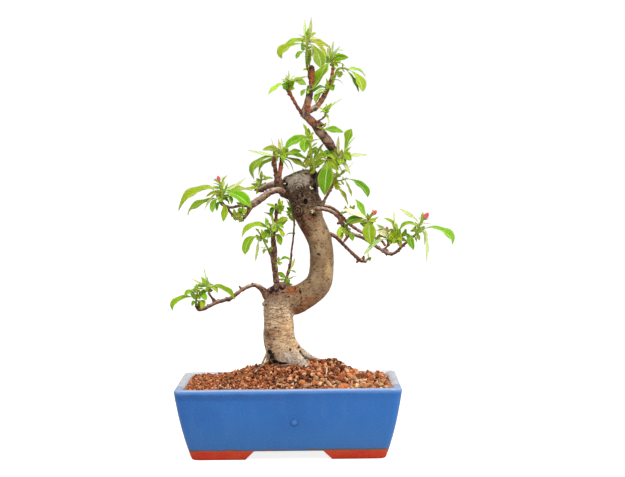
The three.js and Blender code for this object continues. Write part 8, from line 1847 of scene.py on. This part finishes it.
# ---------------------------------------------------------------- flower buds
def build_bud(name, p0, p1, width, seed):
    rng = np.random.default_rng(seed)
    bag = Bag()
    p0, p1 = np.array(p0, float), np.array(p1, float)
    ax = p1 - p0
    L = np.linalg.norm(ax)
    ax /= L
    L, width = 0.90 * L, 0.82 * width
    s = np.cross(ax, (0, -1, 0.1))
    s /= np.linalg.norm(s)
    n = np.cross(ax, s)
    R = width / 2
    nz, nt = 14, 11

    def prof(t):
        return R * np.sin(math.pi * np.clip(0.06 + 0.88 * t, 0, 1) ** 0.85) ** 0.75

    # closed heart of the bud, then five petals wrapped round it
    for k in range(6):
        heart = k == 0
        span = 2 * math.pi if heart else math.radians(118)
        a0 = k * math.radians(144) + rng.normal() * 0.1
        t = np.linspace(0.0, 1.0, nz)
        th = np.linspace(-0.5, 0.5, nt) * span
        tt, aa = np.meshgrid(t, th, indexing="ij")
        edge = (1 - (2 * np.abs(aa) / span) ** 2.5 * smooth(0.55, 1.0, tt) * 0.35) if not heart else 1
        r = prof(tt * edge) * (0.80 if heart else 0.90 + 0.055 * (k % 3))
        r = r + (0 if heart else 0.12 * (np.abs(aa) / span * 2) ** 2 * (1 + 0.3 * np.sin(5 * tt)))
        ang = a0 + aa + 0.5 * tt
        z = tt * edge * L * (0.94 if heart else 1.0 - 0.03 * (k % 2))
        mid = p0 + ax * z[..., None] + (s * np.cos(ang)[..., None] + n * np.sin(ang)[..., None]) * r[..., None]
        rad = s * np.cos(ang)[..., None] + n * np.sin(ang)[..., None]
        tone = rng.uniform(-8, 8)
        top = np.array(lin(*np.clip(np.array([228, 74, 92]) + tone, 0, 255)))
        bas = np.array(lin(*np.clip(np.array([240, 158, 150]) + tone, 0, 255)))
        col = bas * (1 - smooth(0.05, 0.6, tt))[..., None] + top * smooth(0.05, 0.6, tt)[..., None]
        if heart:
            V = mid[:, :-1].reshape(-1, 3)
            cc = col[:, :-1].reshape(-1, 3)
            m = nt - 1
            F = grid_faces(nz, m, wrap=True)
            V = np.vstack([V, p0, p0 + ax * L * 0.96])
            cc = np.vstack([cc, bas, top])
            j = np.arange(m)
            c0 = np.stack([np.full(m, nz * m), (j + 1) % m, j], 1)
            c1 = np.stack([np.full(m, nz * m + 1), (nz - 1) * m + j, (nz - 1) * m + (j + 1) % m], 1)
            bag.add(V, F, np.vstack([c0, c1]), cc)
        else:
            out = (mid + rad * 0.14).reshape(-1, 3)
            inn = (mid - rad * 0.14).reshape(-1, 3)
            N_ = nz * nt
            V = np.vstack([out, inn])
            F = [grid_faces(nz, nt), grid_faces(nz, nt, N_, flip=True)]
            rim = list(range(nt)) + [i * nt + nt - 1 for i in range(1, nz)] + [(nz - 1) * nt + j for j in range(nt - 2, -1, -1)] + [i * nt for i in range(nz - 2, 0, -1)]
            rim = np.array(rim)
            nx = np.roll(rim, -1)
            F.append(np.stack([nx, rim, rim + N_, nx + N_], 1))
            bag.add(V, np.vstack(F), None, np.vstack([col.reshape(-1, 3)] * 2))
    # cup and sepals
    t = np.linspace(-0.28, 0.22, 7)
    S = np.array([[*(p0 + ax * L * a), R * b] for a, b in zip(t, (0.26, 0.34, 0.46, 0.58, 0.66, 0.66, 0.5))])
    tube(bag, S, 12, np.array(lin(150, 140, 70)))
    for k in range(5):
        a = k * 2 * math.pi / 5 + 0.4
        v = s * math.cos(a) + n * math.sin(a)
        side = np.cross(ax, v)
        q = []
        for t, ro, w in ((0.02, 0.62, 0.34), (0.16, 0.86, 0.30), (0.30, 1.02, 0.20), (0.44, 1.10, 0.07)):
            q.append((p0 + ax * L * t + v * R * ro, w * R))
        V, F = [], []
        for c, w in q:
            V += [c - side * w, c + v * 0.12, c + side * w, c - v * 0.12]
        F = grid_faces(4, 4, wrap=True)
        bag.add(np.array(V), np.vstack([F, [[0, 1, 2, 3]], [[15, 14, 13, 12]]]), None, np.array(lin(168, 120, 72)))
    ob = bag.make(name + "_petals", PETAL)
    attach(ob, "root")
    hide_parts(name)
    return bag.tris()


# ---------------------------------------------------------------- pot
POT_X, POT_TOP = -28.7, 79.5
RIM_HX, RIM_HY, BASE_HX, BASE_HY, RIM_R, BASE_R = 125.7, 95.7, 107.0, 77.0, 11.5, 9.5
BULGE, WALL = 2.3, 10.5


def pot_half(z):
    t = z / POT_TOP
    b = BULGE * np.sin(math.pi * np.clip(t, 0, 1)).clip(0, 1) ** 0.8
    return BASE_HX + (RIM_HX - BASE_HX) * t + b, BASE_HY + (RIM_HY - BASE_HY) * t + b, BASE_R + (RIM_R - BASE_R) * t


def ring(hx, hy, r, fx, bx, sy, nc=12):
    """Rounded rectangle from stations: fx, bx shares along the front and back, sy along the ends."""
    pts = []
    lx, ly = hx - r, hy - r

    def corner(cx, cy, a0):
        a = a0 + np.linspace(0, math.pi / 2, nc + 1)[1:-1]
        return [(cx + r * math.cos(t), cy + r * math.sin(t)) for t in a]

    pts += [(-lx + 2 * lx * t, -hy) for t in fx]
    pts += corner(lx, -ly, -math.pi / 2)
    pts += [(hx, -ly + 2 * ly * t) for t in sy]
    pts += corner(lx, ly, 0)
    pts += [(lx - 2 * lx * t, hy) for t in bx]
    pts += corner(-lx, ly, math.pi / 2)
    pts += [(-hx, ly - 2 * ly * t) for t in sy]
    pts += corner(-lx, -ly, math.pi)
    return np.array(pts)


def sd_round(x, y, hx, hy, r):
    qx, qy = np.abs(x) - (hx - r), np.abs(y) - (hy - r)
    return np.hypot(np.maximum(qx, 0), np.maximum(qy, 0)) + np.minimum(np.maximum(qx, qy), 0) - r


def build_pot():
    px, pz = PIMPLE
    lx = pot_half(pz)[0] - pot_half(pz)[2]
    tp = (px - POT_X + lx) / (2 * lx)
    fx = np.unique(np.round(np.r_[np.linspace(0, 1, 41), tp + np.linspace(-6, 6, 17) / (2 * lx)], 5))
    bx = np.linspace(0, 1, 33)
    sy = np.linspace(0, 1, 25)
    prof = [(0.0, 1.2), (0.35, 0.55), (1.4, 0.0)]
    zs = np.unique(np.round(np.r_[np.linspace(3.0, 75.0, 25), pz + np.linspace(-6, 6, 17)], 3))
    prof += [(z, 0.0) for z in zs]
    prof += [(76.6, 0.02), (77.5, 0.3), (78.4, 0.9), (79.0, 1.8), (79.4, 3.0), (79.55, 4.6), (79.5, 6.2), (79.2, 7.7), (78.6, 9.0), (77.7, 9.9), (76.4, 10.35)]
    prof += [(z, WALL) for z in np.linspace(74, 26, 13)]
    prof += [(23.5, 10.6), (21.2, 11.4), (19.8, 12.9), (19.2, 14.8), (19.0, 17.0)]
    rings = []
    for z, ins in prof:
        hx, hy, r = pot_half(z)
        p = ring(hx - ins, hy - ins, max(r - ins * 0.8, 4.0), fx, bx, sy)
        rings.append(np.c_[p[:, 0] + POT_X, p[:, 1], np.full(len(p), z)])
    m = len(rings[0])
    n = len(rings)
    V = np.vstack(rings)
    # the wall is hand made: slightly wavy, with a pimple in the glaze on the front
    P = V.copy()
    d = P - np.array([POT_X, 0, 0])
    nrm = d[:, :2].copy()
    nx = np.where(np.abs(sd_round(d[:, 0], d[:, 1], *[np.array([pot_half(z)[k] for z in P[:, 2]]) for k in range(3)])) >= 0, 1, 1)
    hx = np.array([pot_half(z)[0] for z in P[:, 2]])
    hy = np.array([pot_half(z)[1] for z in P[:, 2]])
    rr = np.array([pot_half(z)[2] for z in P[:, 2]])
    qx, qy = np.abs(d[:, 0]) - (hx - rr), np.abs(d[:, 1]) - (hy - rr)
    g = np.c_[np.where(qx > qy, np.sign(d[:, 0]), 0), np.where(qx > qy, 0, np.sign(d[:, 1]))]
    both = (qx > 0) & (qy > 0)
    gg = np.c_[np.sign(d[:, 0]) * np.maximum(qx, 0), np.sign(d[:, 1]) * np.maximum(qy, 0)]
    gg /= np.maximum(np.linalg.norm(gg, axis=1, keepdims=True), 1e-9)
    g[both] = gg[both]
    wav = 0.35 * fbm(P, 70, 2, 201) + 0.10 * fbm(P, 22, 2, 207)
    wav *= smooth(2.0, 14.0, P[:, 2])
    V[:, :2] += g * wav[:, None]
    V[:, 2] += 0.22 * fbm(P, 45, 2, 211) * smooth(66, 79, P[:, 2])
    outer = np.arange(len(V)) < m * (3 + len(zs))
    dist = np.hypot(P[:, 0] - px, P[:, 2] - pz)
    front = (P[:, 1] < 0) & outer & (np.abs(P[:, 1] + hy) < 1.0)
    V[:, 1] -= np.where(front, 1.5 * np.exp(-(dist / 3.5) ** 4) + 0.22 * np.exp(-((dist - 3.1) / 0.9) ** 2) * 0, 0)
    F = grid_faces(n, m, wrap=True)
    # bottom and inner floor
    V = np.vstack([V, [[POT_X, 0, 0.0]], [[POT_X, 0, 19.0]]])
    j = np.arange(m)
    bottom = np.stack([np.full(m, n * m), (j + 1) % m, j], 1)
    floor = np.stack([np.full(m, n * m + 1), (n - 1) * m + j, (n - 1) * m + (j + 1) % m], 1)
    ob = make("pot_body", V, [F, np.vstack([bottom, floor])], POTM)

    def cutter(name, V, F):
        me = bpy.data.meshes.new(name)
        me.from_pydata((np.array(V) * MM).tolist(), [], F)
        me.update()
        c = bpy.data.objects.new(name, me)
        bpy.context.scene.collection.objects.link(c)
        return c

    def prism(axis, half, reach):
        # trapezoid that widens downwards, with its upper corners softened
        sec = [(-half - 11, -1), (half + 11, -1), (half + 0.6, 9.4), (half - 0.2, 9.85), (half - 1.2, 10.0), (-half + 1.2, 10.0), (-half + 0.2, 9.85), (-half - 0.6, 9.4)]
        V, k = [], len(sec)
        for s in (-reach, reach):
            for a, z in sec:
                V.append((POT_X + a, s, z) if axis == "y" else (POT_X + s, a, z))
        F = [tuple(range(k)), tuple(range(2 * k - 1, k - 1, -1))] + [(i, k + i, k + (i + 1) % k, (i + 1) % k) for i in range(k)]
        return V, F

    cuts = []
    V1, F1 = prism("y", 38.0, 160)
    cuts.append(cutter("cut_a", V1, F1))
    V2, F2 = prism("x", 29.0, 190)
    cuts.append(cutter("cut_b", V2, F2))
    x0, x1, y0, y1 = POT_X - 90, POT_X + 90, -60, 60
    B = [(x, y, z) for z in (-1, 10.0) for x, y in ((x0, y0), (x1, y0), (x1, y1), (x0, y1))]
    cuts.append(cutter("cut_c", B, [(0, 3, 2, 1), (4, 5, 6, 7), (0, 1, 5, 4), (1, 2, 6, 5), (2, 3, 7, 6), (3, 0, 4, 7)]))
    for k, sx in enumerate((-52, 52)):
        a = np.linspace(0, 2 * math.pi, 48, endpoint=False)
        B = [(POT_X + sx + 11 * math.cos(t), 11 * math.sin(t), z) for z in (5.0, 25.0) for t in a]
        Fc = [tuple(range(47, -1, -1)), tuple(range(48, 96))] + [(i, (i + 1) % 48, 48 + (i + 1) % 48, 48 + i) for i in range(48)]
        cuts.append(cutter("cut_d%d" % k, B, Fc))
    for c in cuts:
        md = c.modifiers.new("tri", "TRIANGULATE")
        b = ob.modifiers.new("bool", "BOOLEAN")
        b.operation = "DIFFERENCE"
        b.solver = "EXACT"
        b.object = c
    deps = bpy.context.evaluated_depsgraph_get()
    me = bpy.data.meshes.new_from_object(ob.evaluated_get(deps))
    ob.modifiers.clear()
    old = ob.data
    ob.data = me
    me.name = "pot_body"
    bpy.data.meshes.remove(old)
    for c in cuts:
        cm = c.data
        bpy.data.objects.remove(c)
        bpy.data.meshes.remove(cm)
    if not me.materials:
        me.materials.append(POTM)
    nv = len(me.vertices)
    co = np.zeros(nv * 3, np.float32)
    me.vertices.foreach_get("co", co)
    co = co.reshape(-1, 3).astype(float) / MM
    hx, hy, r = pot_half(np.clip(co[:, 2], 0, POT_TOP))
    sd = sd_round(co[:, 0] - POT_X, co[:, 1], hx, hy, r)
    rim = smooth(77.2, 78.6, co[:, 2] + 0.25 * fbm(co, 12, 2, 301)) * smooth(0.2, -0.6, sd + 0.4) 
    rim = np.maximum(rim, smooth(77.6, 78.4, co[:, 2] + 0.2 * fbm(co, 10, 2, 305)) * 0.85)
    inner = smooth(-4.0, -6.5, sd) * smooth(12, 16, co[:, 2])
    rim = np.maximum(rim, inner * smooth(71, 76, co[:, 2]))
    bare = smooth(-3.0, -6.0, sd) * smooth(15.0, 12.0, co[:, 2])
    bare = np.maximum(bare, inner * smooth(40, 24, co[:, 2]))
    for k, v in (("rim", rim), ("inner", inner), ("bare", bare)):
        a = me.attributes.get(k) or me.attributes.new(k, "FLOAT", "POINT")
        a.data.foreach_set("value", v.astype(np.float32))
    me.polygons.foreach_set("use_smooth", np.full(len(me.polygons), True))
    me.set_sharp_from_angle(angle=math.radians(38))
    me.update()
    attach(ob, "root")
    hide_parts("pot")
    return len(me.polygons)


# ---------------------------------------------------------------- soil
def soil_top(x, y):
    g = ((x + 8) / np.where(x < -8, 92.0, 58.0)) ** 2 + ((y - 8) / 62.0) ** 2
    return (76.5 + 5.5 * np.exp(-((x - 24) / 11) ** 2 - ((y - 18) / 16) ** 2) + 2.0 / (1 + np.exp((y + 40) / 14)) + 20.5 * np.exp(-g ** 1.8)
            + 0.5 * np.sin(0.31 * x + 1.3) * np.cos(0.27 * y) + 0.35 * np.sin(0.13 * x - 0.19 * y))


def rock():
    """A cube-sphere style base for the granules: an octahedron with each face split in four."""
    v = [(1, 0, 0), (-1, 0, 0), (0, 1, 0), (0, -1, 0), (0, 0, 1), (0, 0, -1)]
    f = [(0, 2, 4), (2, 1, 4), (1, 3, 4), (3, 0, 4), (2, 0, 5), (1, 2, 5), (3, 1, 5), (0, 3, 5)]
    v = [np.array(p, float) for p in v]
    mid, out = {}, []

    def m(a, b):
        k = (min(a, b), max(a, b))
        if k not in mid:
            p = v[a] + v[b]
            v.append(p / np.linalg.norm(p))
            mid[k] = len(v) - 1
        return mid[k]

    for a, b, c in f:
        ab, bc, ca = m(a, b), m(b, c), m(c, a)
        out += [(a, ab, ca), (b, bc, ab), (c, ca, bc), (ab, bc, ca)]
    return np.array(v), np.array(out)


def build_soil():
    rng = np.random.default_rng(77)
    RV, RF = rock()
    nv = len(RV)
    hx, hy = pot_half(76.0)[0] - 11.0, pot_half(76.0)[1] - 11.0
    rr = 5.0
    pts = []

    def layer(step, lift, jit, grow):
        x = -hx
        col = 0
        while x < hx:
            fx = float(smooth(-85, 60, np.array(POT_X + x)))
            loc = step * (0.72 + 0.42 * fx)
            y = -hy + (col % 2) * loc * 0.5
            while y < hy:
                f = fx * float(0.45 + 0.55 * smooth(30, -15, np.array(y)))
                px_ = x + rng.normal() * jit * loc
                py_ = y + rng.normal() * jit * loc
                if sd_round(np.array(px_), np.array(py_), hx, hy, rr) < -0.25 * loc:
                    s = loc * grow * math.exp(rng.normal() * 0.24)
                    pts.append((POT_X + px_, py_, lift + rng.normal() * 0.14 * loc, s, f))
                y += loc
            x += loc * 0.87
            col += 1

    layer(3.7, -0.7, 0.22, 0.66)
    small = len(pts)
    layer(5.6, 0.9, 0.34, 0.56)
    more = len(pts)
    layer(10.5, 1.9, 0.45, 0.36)
    pts[more:] = [q for q in pts[more:] if q[4] > 0.25 + 0.5 * rng.random() and q[1] < 6]
    pts = np.array(pts)
    # none stands inside the trunk
    base = np.vstack([s for n, _, s in LINES if n == "trunk"])
    base = base[(base[:, 2] > 70) & (base[:, 2] < 116)]
    z = soil_top(pts[:, 0], pts[:, 1]) + pts[:, 2]
    keep = np.ones(len(pts), bool)
    for b in base:
        dd = np.sqrt((pts[:, 0] - b[0]) ** 2 + (pts[:, 1] - b[1]) ** 2 + (z - b[2]) ** 2)
        keep &= dd > b[3] - 1.0
    small = int(keep[:small].sum())
    pts, z = pts[keep], z[keep]
    n = len(pts)
    edge = sd_round(pts[:, 0] - POT_X, pts[:, 1], hx, hy, rr)
    z = z - 0.8 * smooth(-4, 0, edge)
    sz = pts[:, 3] * 0.5 * 1.22
    sz = np.minimum(sz, 4.6)
    # random turn, squash and dents for each granule
    q = rng.normal(size=(n, 4))
    q /= np.linalg.norm(q, axis=1, keepdims=True)
    w, x, y, zz = q.T
    M = np.stack([1 - 2 * (y * y + zz * zz), 2 * (x * y - zz * w), 2 * (x * zz + y * w),
                  2 * (x * y + zz * w), 1 - 2 * (x * x + zz * zz), 2 * (y * zz - x * w),
                  2 * (x * zz - y * w), 2 * (y * zz + x * w), 1 - 2 * (x * x + y * y)], 1).reshape(n, 3, 3)
    sq = np.stack([rng.uniform(0.95, 1.5, n), rng.uniform(0.72, 1.05, n), rng.uniform(0.55, 0.88, n)], 1)
    dent = 1 + 0.17 * rng.normal(size=(n, nv))
    G = RV[None] * dent[..., None] * sq[:, None, :] * sz[:, None, None]
    G = np.einsum("nij,nkj->nki", M, G)
    G = G + np.stack([pts[:, 0], pts[:, 1], z], 1)[:, None, :]
    # colours: orange brown on the left, with paler grains towards the right and the front
    f = pts[:, 4]
    fr = smooth(60, -70, pts[:, 1])
    ptan = 0.05 + 0.36 * f * (0.35 + 0.65 * fr)
    pick = rng.random(n)
    tone = np.empty((n, 3))
    A = np.array([lin(188, 118, 76), lin(160, 94, 60), lin(212, 146, 100), lin(124, 70, 46), lin(194, 116, 70), lin(174, 96, 58)])
    Bc = np.array([lin(232, 186, 142), lin(220, 166, 120), lin(238, 204, 166), lin(206, 150, 108)])
    tone[:] = A[rng.integers(0, len(A), n)]
    t = pick < ptan
    tone[t] = Bc[rng.integers(0, len(Bc), t.sum())]
    dk = (pick > 0.955)
    tone[dk] = lin(74, 46, 36)
    tone *= np.exp(rng.normal(size=(n, 1)) * 0.20)
    tone = np.clip(tone * np.exp(rng.normal(size=(n, 1)) * 0.26 - 0.02), 0, 1)
    bag = Bag()
    big = np.arange(small, n)
    F = (RF[None] + (np.arange(len(big)) * nv)[:, None, None]).reshape(-1, 3)
    bag.add(G[small:].reshape(-1, 3), None, F, np.repeat(tone[small:], nv, 0))
    # the finer ones below are plain twelve-cornered crumbs
    t = (1 + 5 ** 0.5) / 2
    IV = np.array([(-1, t, 0), (1, t, 0), (-1, -t, 0), (1, -t, 0), (0, -1, t), (0, 1, t), (0, -1, -t), (0, 1, -t), (t, 0, -1), (t, 0, 1), (-t, 0, -1), (-t, 0, 1)], float) / math.hypot(1, t)
    IF = np.array([(0, 11, 5), (0, 5, 1), (0, 1, 7), (0, 7, 10), (0, 10, 11), (1, 5, 9), (5, 11, 4), (11, 10, 2), (10, 7, 6), (7, 1, 8), (3, 9, 4), (3, 4, 2), (3, 2, 6), (3, 6, 8), (3, 8, 9), (4, 9, 5), (2, 4, 11), (6, 2, 10), (8, 6, 7), (9, 8, 1)])
    k = small
    C = IV[None] * (1 + 0.14 * rng.normal(size=(k, 12)))[..., None] * sq[:k, None, :] * sz[:k, None, None]
    C = np.einsum("nij,nkj->nki", M[:k], C) + np.stack([pts[:k, 0], pts[:k, 1], z[:k]], 1)[:, None, :]
    F = (IF[None] + (np.arange(k) * 12)[:, None, None]).reshape(-1, 3)
    bag.add(C.reshape(-1, 3), None, F, np.repeat(tone[:k], 12, 0))
    # larger grey stones by the foot of the trunk
    for cx, cy, r, c in STONES:
        D = RV.copy()
        E = D[RF].mean(1)
        s = np.array([r * rng.uniform(1.0, 1.3), r * rng.uniform(0.8, 1.0), r * 0.62])
        a = rng.uniform(0, 3.14)
        Q = np.array([[math.cos(a), -math.sin(a), 0], [math.sin(a), math.cos(a), 0], [0, 0, 1]])
        V = (D * (1 + 0.10 * rng.normal(size=(nv, 1))) * s) @ Q.T
        V = V + np.array([cx, cy, float(soil_top(np.array(cx), np.array(cy))) + 0.9])
        bag.add(V, None, RF, np.array(lin(*c)))
    ob = bag.make("soil_granules", GRAIN, flat=True)
    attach(ob, "root")
    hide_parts("soil")
    g = bag.tris()

    # the bed that the granules lie in: a closed body with a crumbly top
    bed = Bag()
    nx, ny = 118, 88
    tx = np.linspace(-1, 1, nx)
    ty = np.linspace(-1, 1, ny)
    bx, by = np.meshgrid(tx, ty, indexing="ij")

    def square_to_round(bx, by, hx, hy, r):
        x, y = bx * hx, by * hy
        qx, qy = np.abs(x) - (hx - r), np.abs(y) - (hy - r)
        both = (qx > 0) & (qy > 0)
        L = np.hypot(qx, qy)
        mx = np.maximum(qx, qy)
        k = np.where(both, mx / np.maximum(L, 1e-9), 1)
        x = np.where(both, np.sign(x) * ((hx - r) + qx * k), x)
        y = np.where(both, np.sign(y) * ((hy - r) + qy * k), y)
        return x, y

    gx, gy = square_to_round(bx, by, hx + 0.4, hy + 0.4, rr)
    gx = gx + POT_X
    P = np.c_[gx.ravel(), gy.ravel(), np.zeros(gx.size)]
    zt = soil_top(P[:, 0], P[:, 1]) - 1.9 + 1.1 * fbm(P, 4.0, 3, 401)
    V = np.c_[P[:, 0], P[:, 1], zt]
    lowx, lowy = square_to_round(bx, by, pot_half(24)[0] - 12.0, pot_half(24)[1] - 12.0, 5.0)
    VB = np.c_[(lowx + POT_X).ravel(), lowy.ravel(), np.full(gx.size, 21.4)]
    F1 = grid_faces(nx, ny, flip=True)
    rim = np.array(list(range(ny)) + [i * ny + ny - 1 for i in range(1, nx)] + [(nx - 1) * ny + j for j in range(ny - 2, -1, -1)] + [i * ny for i in range(nx - 2, 0, -1)])
    nxt = np.roll(rim, -1)
    # bottom as a fan
    k = len(rim)
    VR = VB[rim]
    V = np.vstack([V, VR, [[POT_X, 0, 21.4]]])
    o = gx.size
    j = np.arange(k)
    side = np.stack([rim, nxt, o + (j + 1) % k, o + j], 1)
    fan = np.stack([np.full(k, o + k), o + j, o + (j + 1) % k], 1)
    # dark soil, darkened further as painted shade where it shows between the granules and along the wall
    c0 = np.array(lin(58, 34, 26))
    c1 = np.array(lin(96, 56, 40))
    w = (0.5 + 0.5 * fbm(V, 3.0, 2, 411))[:, None]
    bed.add(V, np.vstack([F1, side]), fan, c0 * (1 - w) + c1 * w)
    # the pale rootlet that lies on the surface
    for line, r, c in ROOTLETS:
        S = []
        for (x_, y_, up) in line:
            S.append((x_, y_, float(soil_top(np.array(x_), np.array(y_))) + up, r))
        S = catmull(np.array(S), 1.0, 3)
        tube(bed, S, 8, np.array(lin(*c)), 0.08, rng)
    ob = bed.make("soil_bed", GRAIN)
    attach(ob, "root")
    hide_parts("soil")
    return g + bed.tris()


# ---------------------------------------------------------------- make everything
count = {}
count["trunk"] = build_trunk()
for i, n in enumerate(WOOD):
    count[n] = build_wood(n, 500 + 7 * i)
for i, (n, (stems, leaves)) in enumerate(SHOOTS.items()):
    count[n] = build_shoot(n, stems, leaves, 900 + 13 * i)
for i, (n, (p0, p1, w)) in enumerate(BUDS.items()):
    count[n] = build_bud(n, p0, p1, w, 1500 + i)
count["bark_buds"] = bark_buds()
count["pot"] = build_pot()
count["soil"] = build_soil()
for n in ("drain_screen_left", "drain_screen_right"):
    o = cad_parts[n]
    if o.data.materials:
        for s in o.material_slots:
            s.material = SCREENM
    else:
        o.data.materials.append(SCREENM)
print("triangles", sum(count.values()), {k: v for k, v in count.items() if v > 15000})

# ---------------------------------------------------------------- floor, light
fm = Mat("studio_floor", 0.9, 0.1)
nz = fm.noise(3, 2)
fm.set("Base Color", fm.mix(fm.range(nz, 0.3, 0.7), (0.50, 0.50, 0.50), (0.53, 0.53, 0.53)))
# the glow whitens the floor in the picture and adds no light of its own
lp = fm.node("ShaderNodeLightPath")
em = fm.node("ShaderNodeEmission")
em.inputs[1].default_value = FLOOR_GLOW
tr = fm.node("ShaderNodeEmission")
tr.inputs[1].default_value = 0.0
sw = fm.node("ShaderNodeMixShader")
ad = fm.node("ShaderNodeAddShader")
fm.t.links.new(lp.outputs["Is Camera Ray"], sw.inputs[0])
fm.t.links.new(tr.outputs[0], sw.inputs[1])
fm.t.links.new(em.outputs[0], sw.inputs[2])
fm.t.links.new(sw.outputs[0], ad.inputs[0])
fm.t.links.new(fm.p.outputs[0], ad.inputs[1])
fm.t.links.new(ad.outputs[0], fm.out.inputs[0])
me = bpy.data.meshes.new("studio_floor")
me.from_pydata([(-12, -6, 0), (12, -6, 0), (12, 30, 0), (-12, 30, 0)], [], [(0, 1, 2, 3)])
me.materials.append(fm.m)
floor = bpy.data.objects.new("studio_floor", me)
bpy.context.scene.collection.objects.link(floor)

world = bpy.data.worlds.new("studio")
bpy.context.scene.world = world
world.use_nodes = True
wt = world.node_tree
bg = wt.nodes["Background"]
bg.inputs[0].default_value = (1.0, 1.0, 1.0, 1)
bg.inputs[1].default_value = WORLD
bg2 = wt.nodes.new("ShaderNodeBackground")
bg2.inputs[0].default_value = (1.0, 1.0, 1.0, 1)
bg2.inputs[1].default_value = 1.0
wl = wt.nodes.new("ShaderNodeLightPath")
wm = wt.nodes.new("ShaderNodeMixShader")
wt.links.new(wl.outputs["Is Camera Ray"], wm.inputs[0])
wt.links.new(bg.outputs[0], wm.inputs[1])
wt.links.new(bg2.outputs[0], wm.inputs[2])
wt.links.new(wm.outputs[0], wt.nodes["World Output"].inputs[0])


def area(name, loc, target, size, power, color=(1, 1, 1)):
    d = bpy.data.lights.new(name, "AREA")
    d.shape = "RECTANGLE"
    d.size, d.size_y = size
    d.energy = power
    d.color = color
    o = bpy.data.objects.new(name, d)
    bpy.context.scene.collection.objects.link(o)
    v = Vector(loc) - Vector(target)
    o.location = loc
    o.rotation_euler = v.to_track_quat("Z", "Y").to_euler()
    return o


for a in LIGHTS:
    area(*a)

vs_ = bpy.context.scene.view_settings
vs_.view_transform = "Standard"
vs_.look = "None"
vs_.exposure = EXPOSURE
vs_.gamma = 1.0
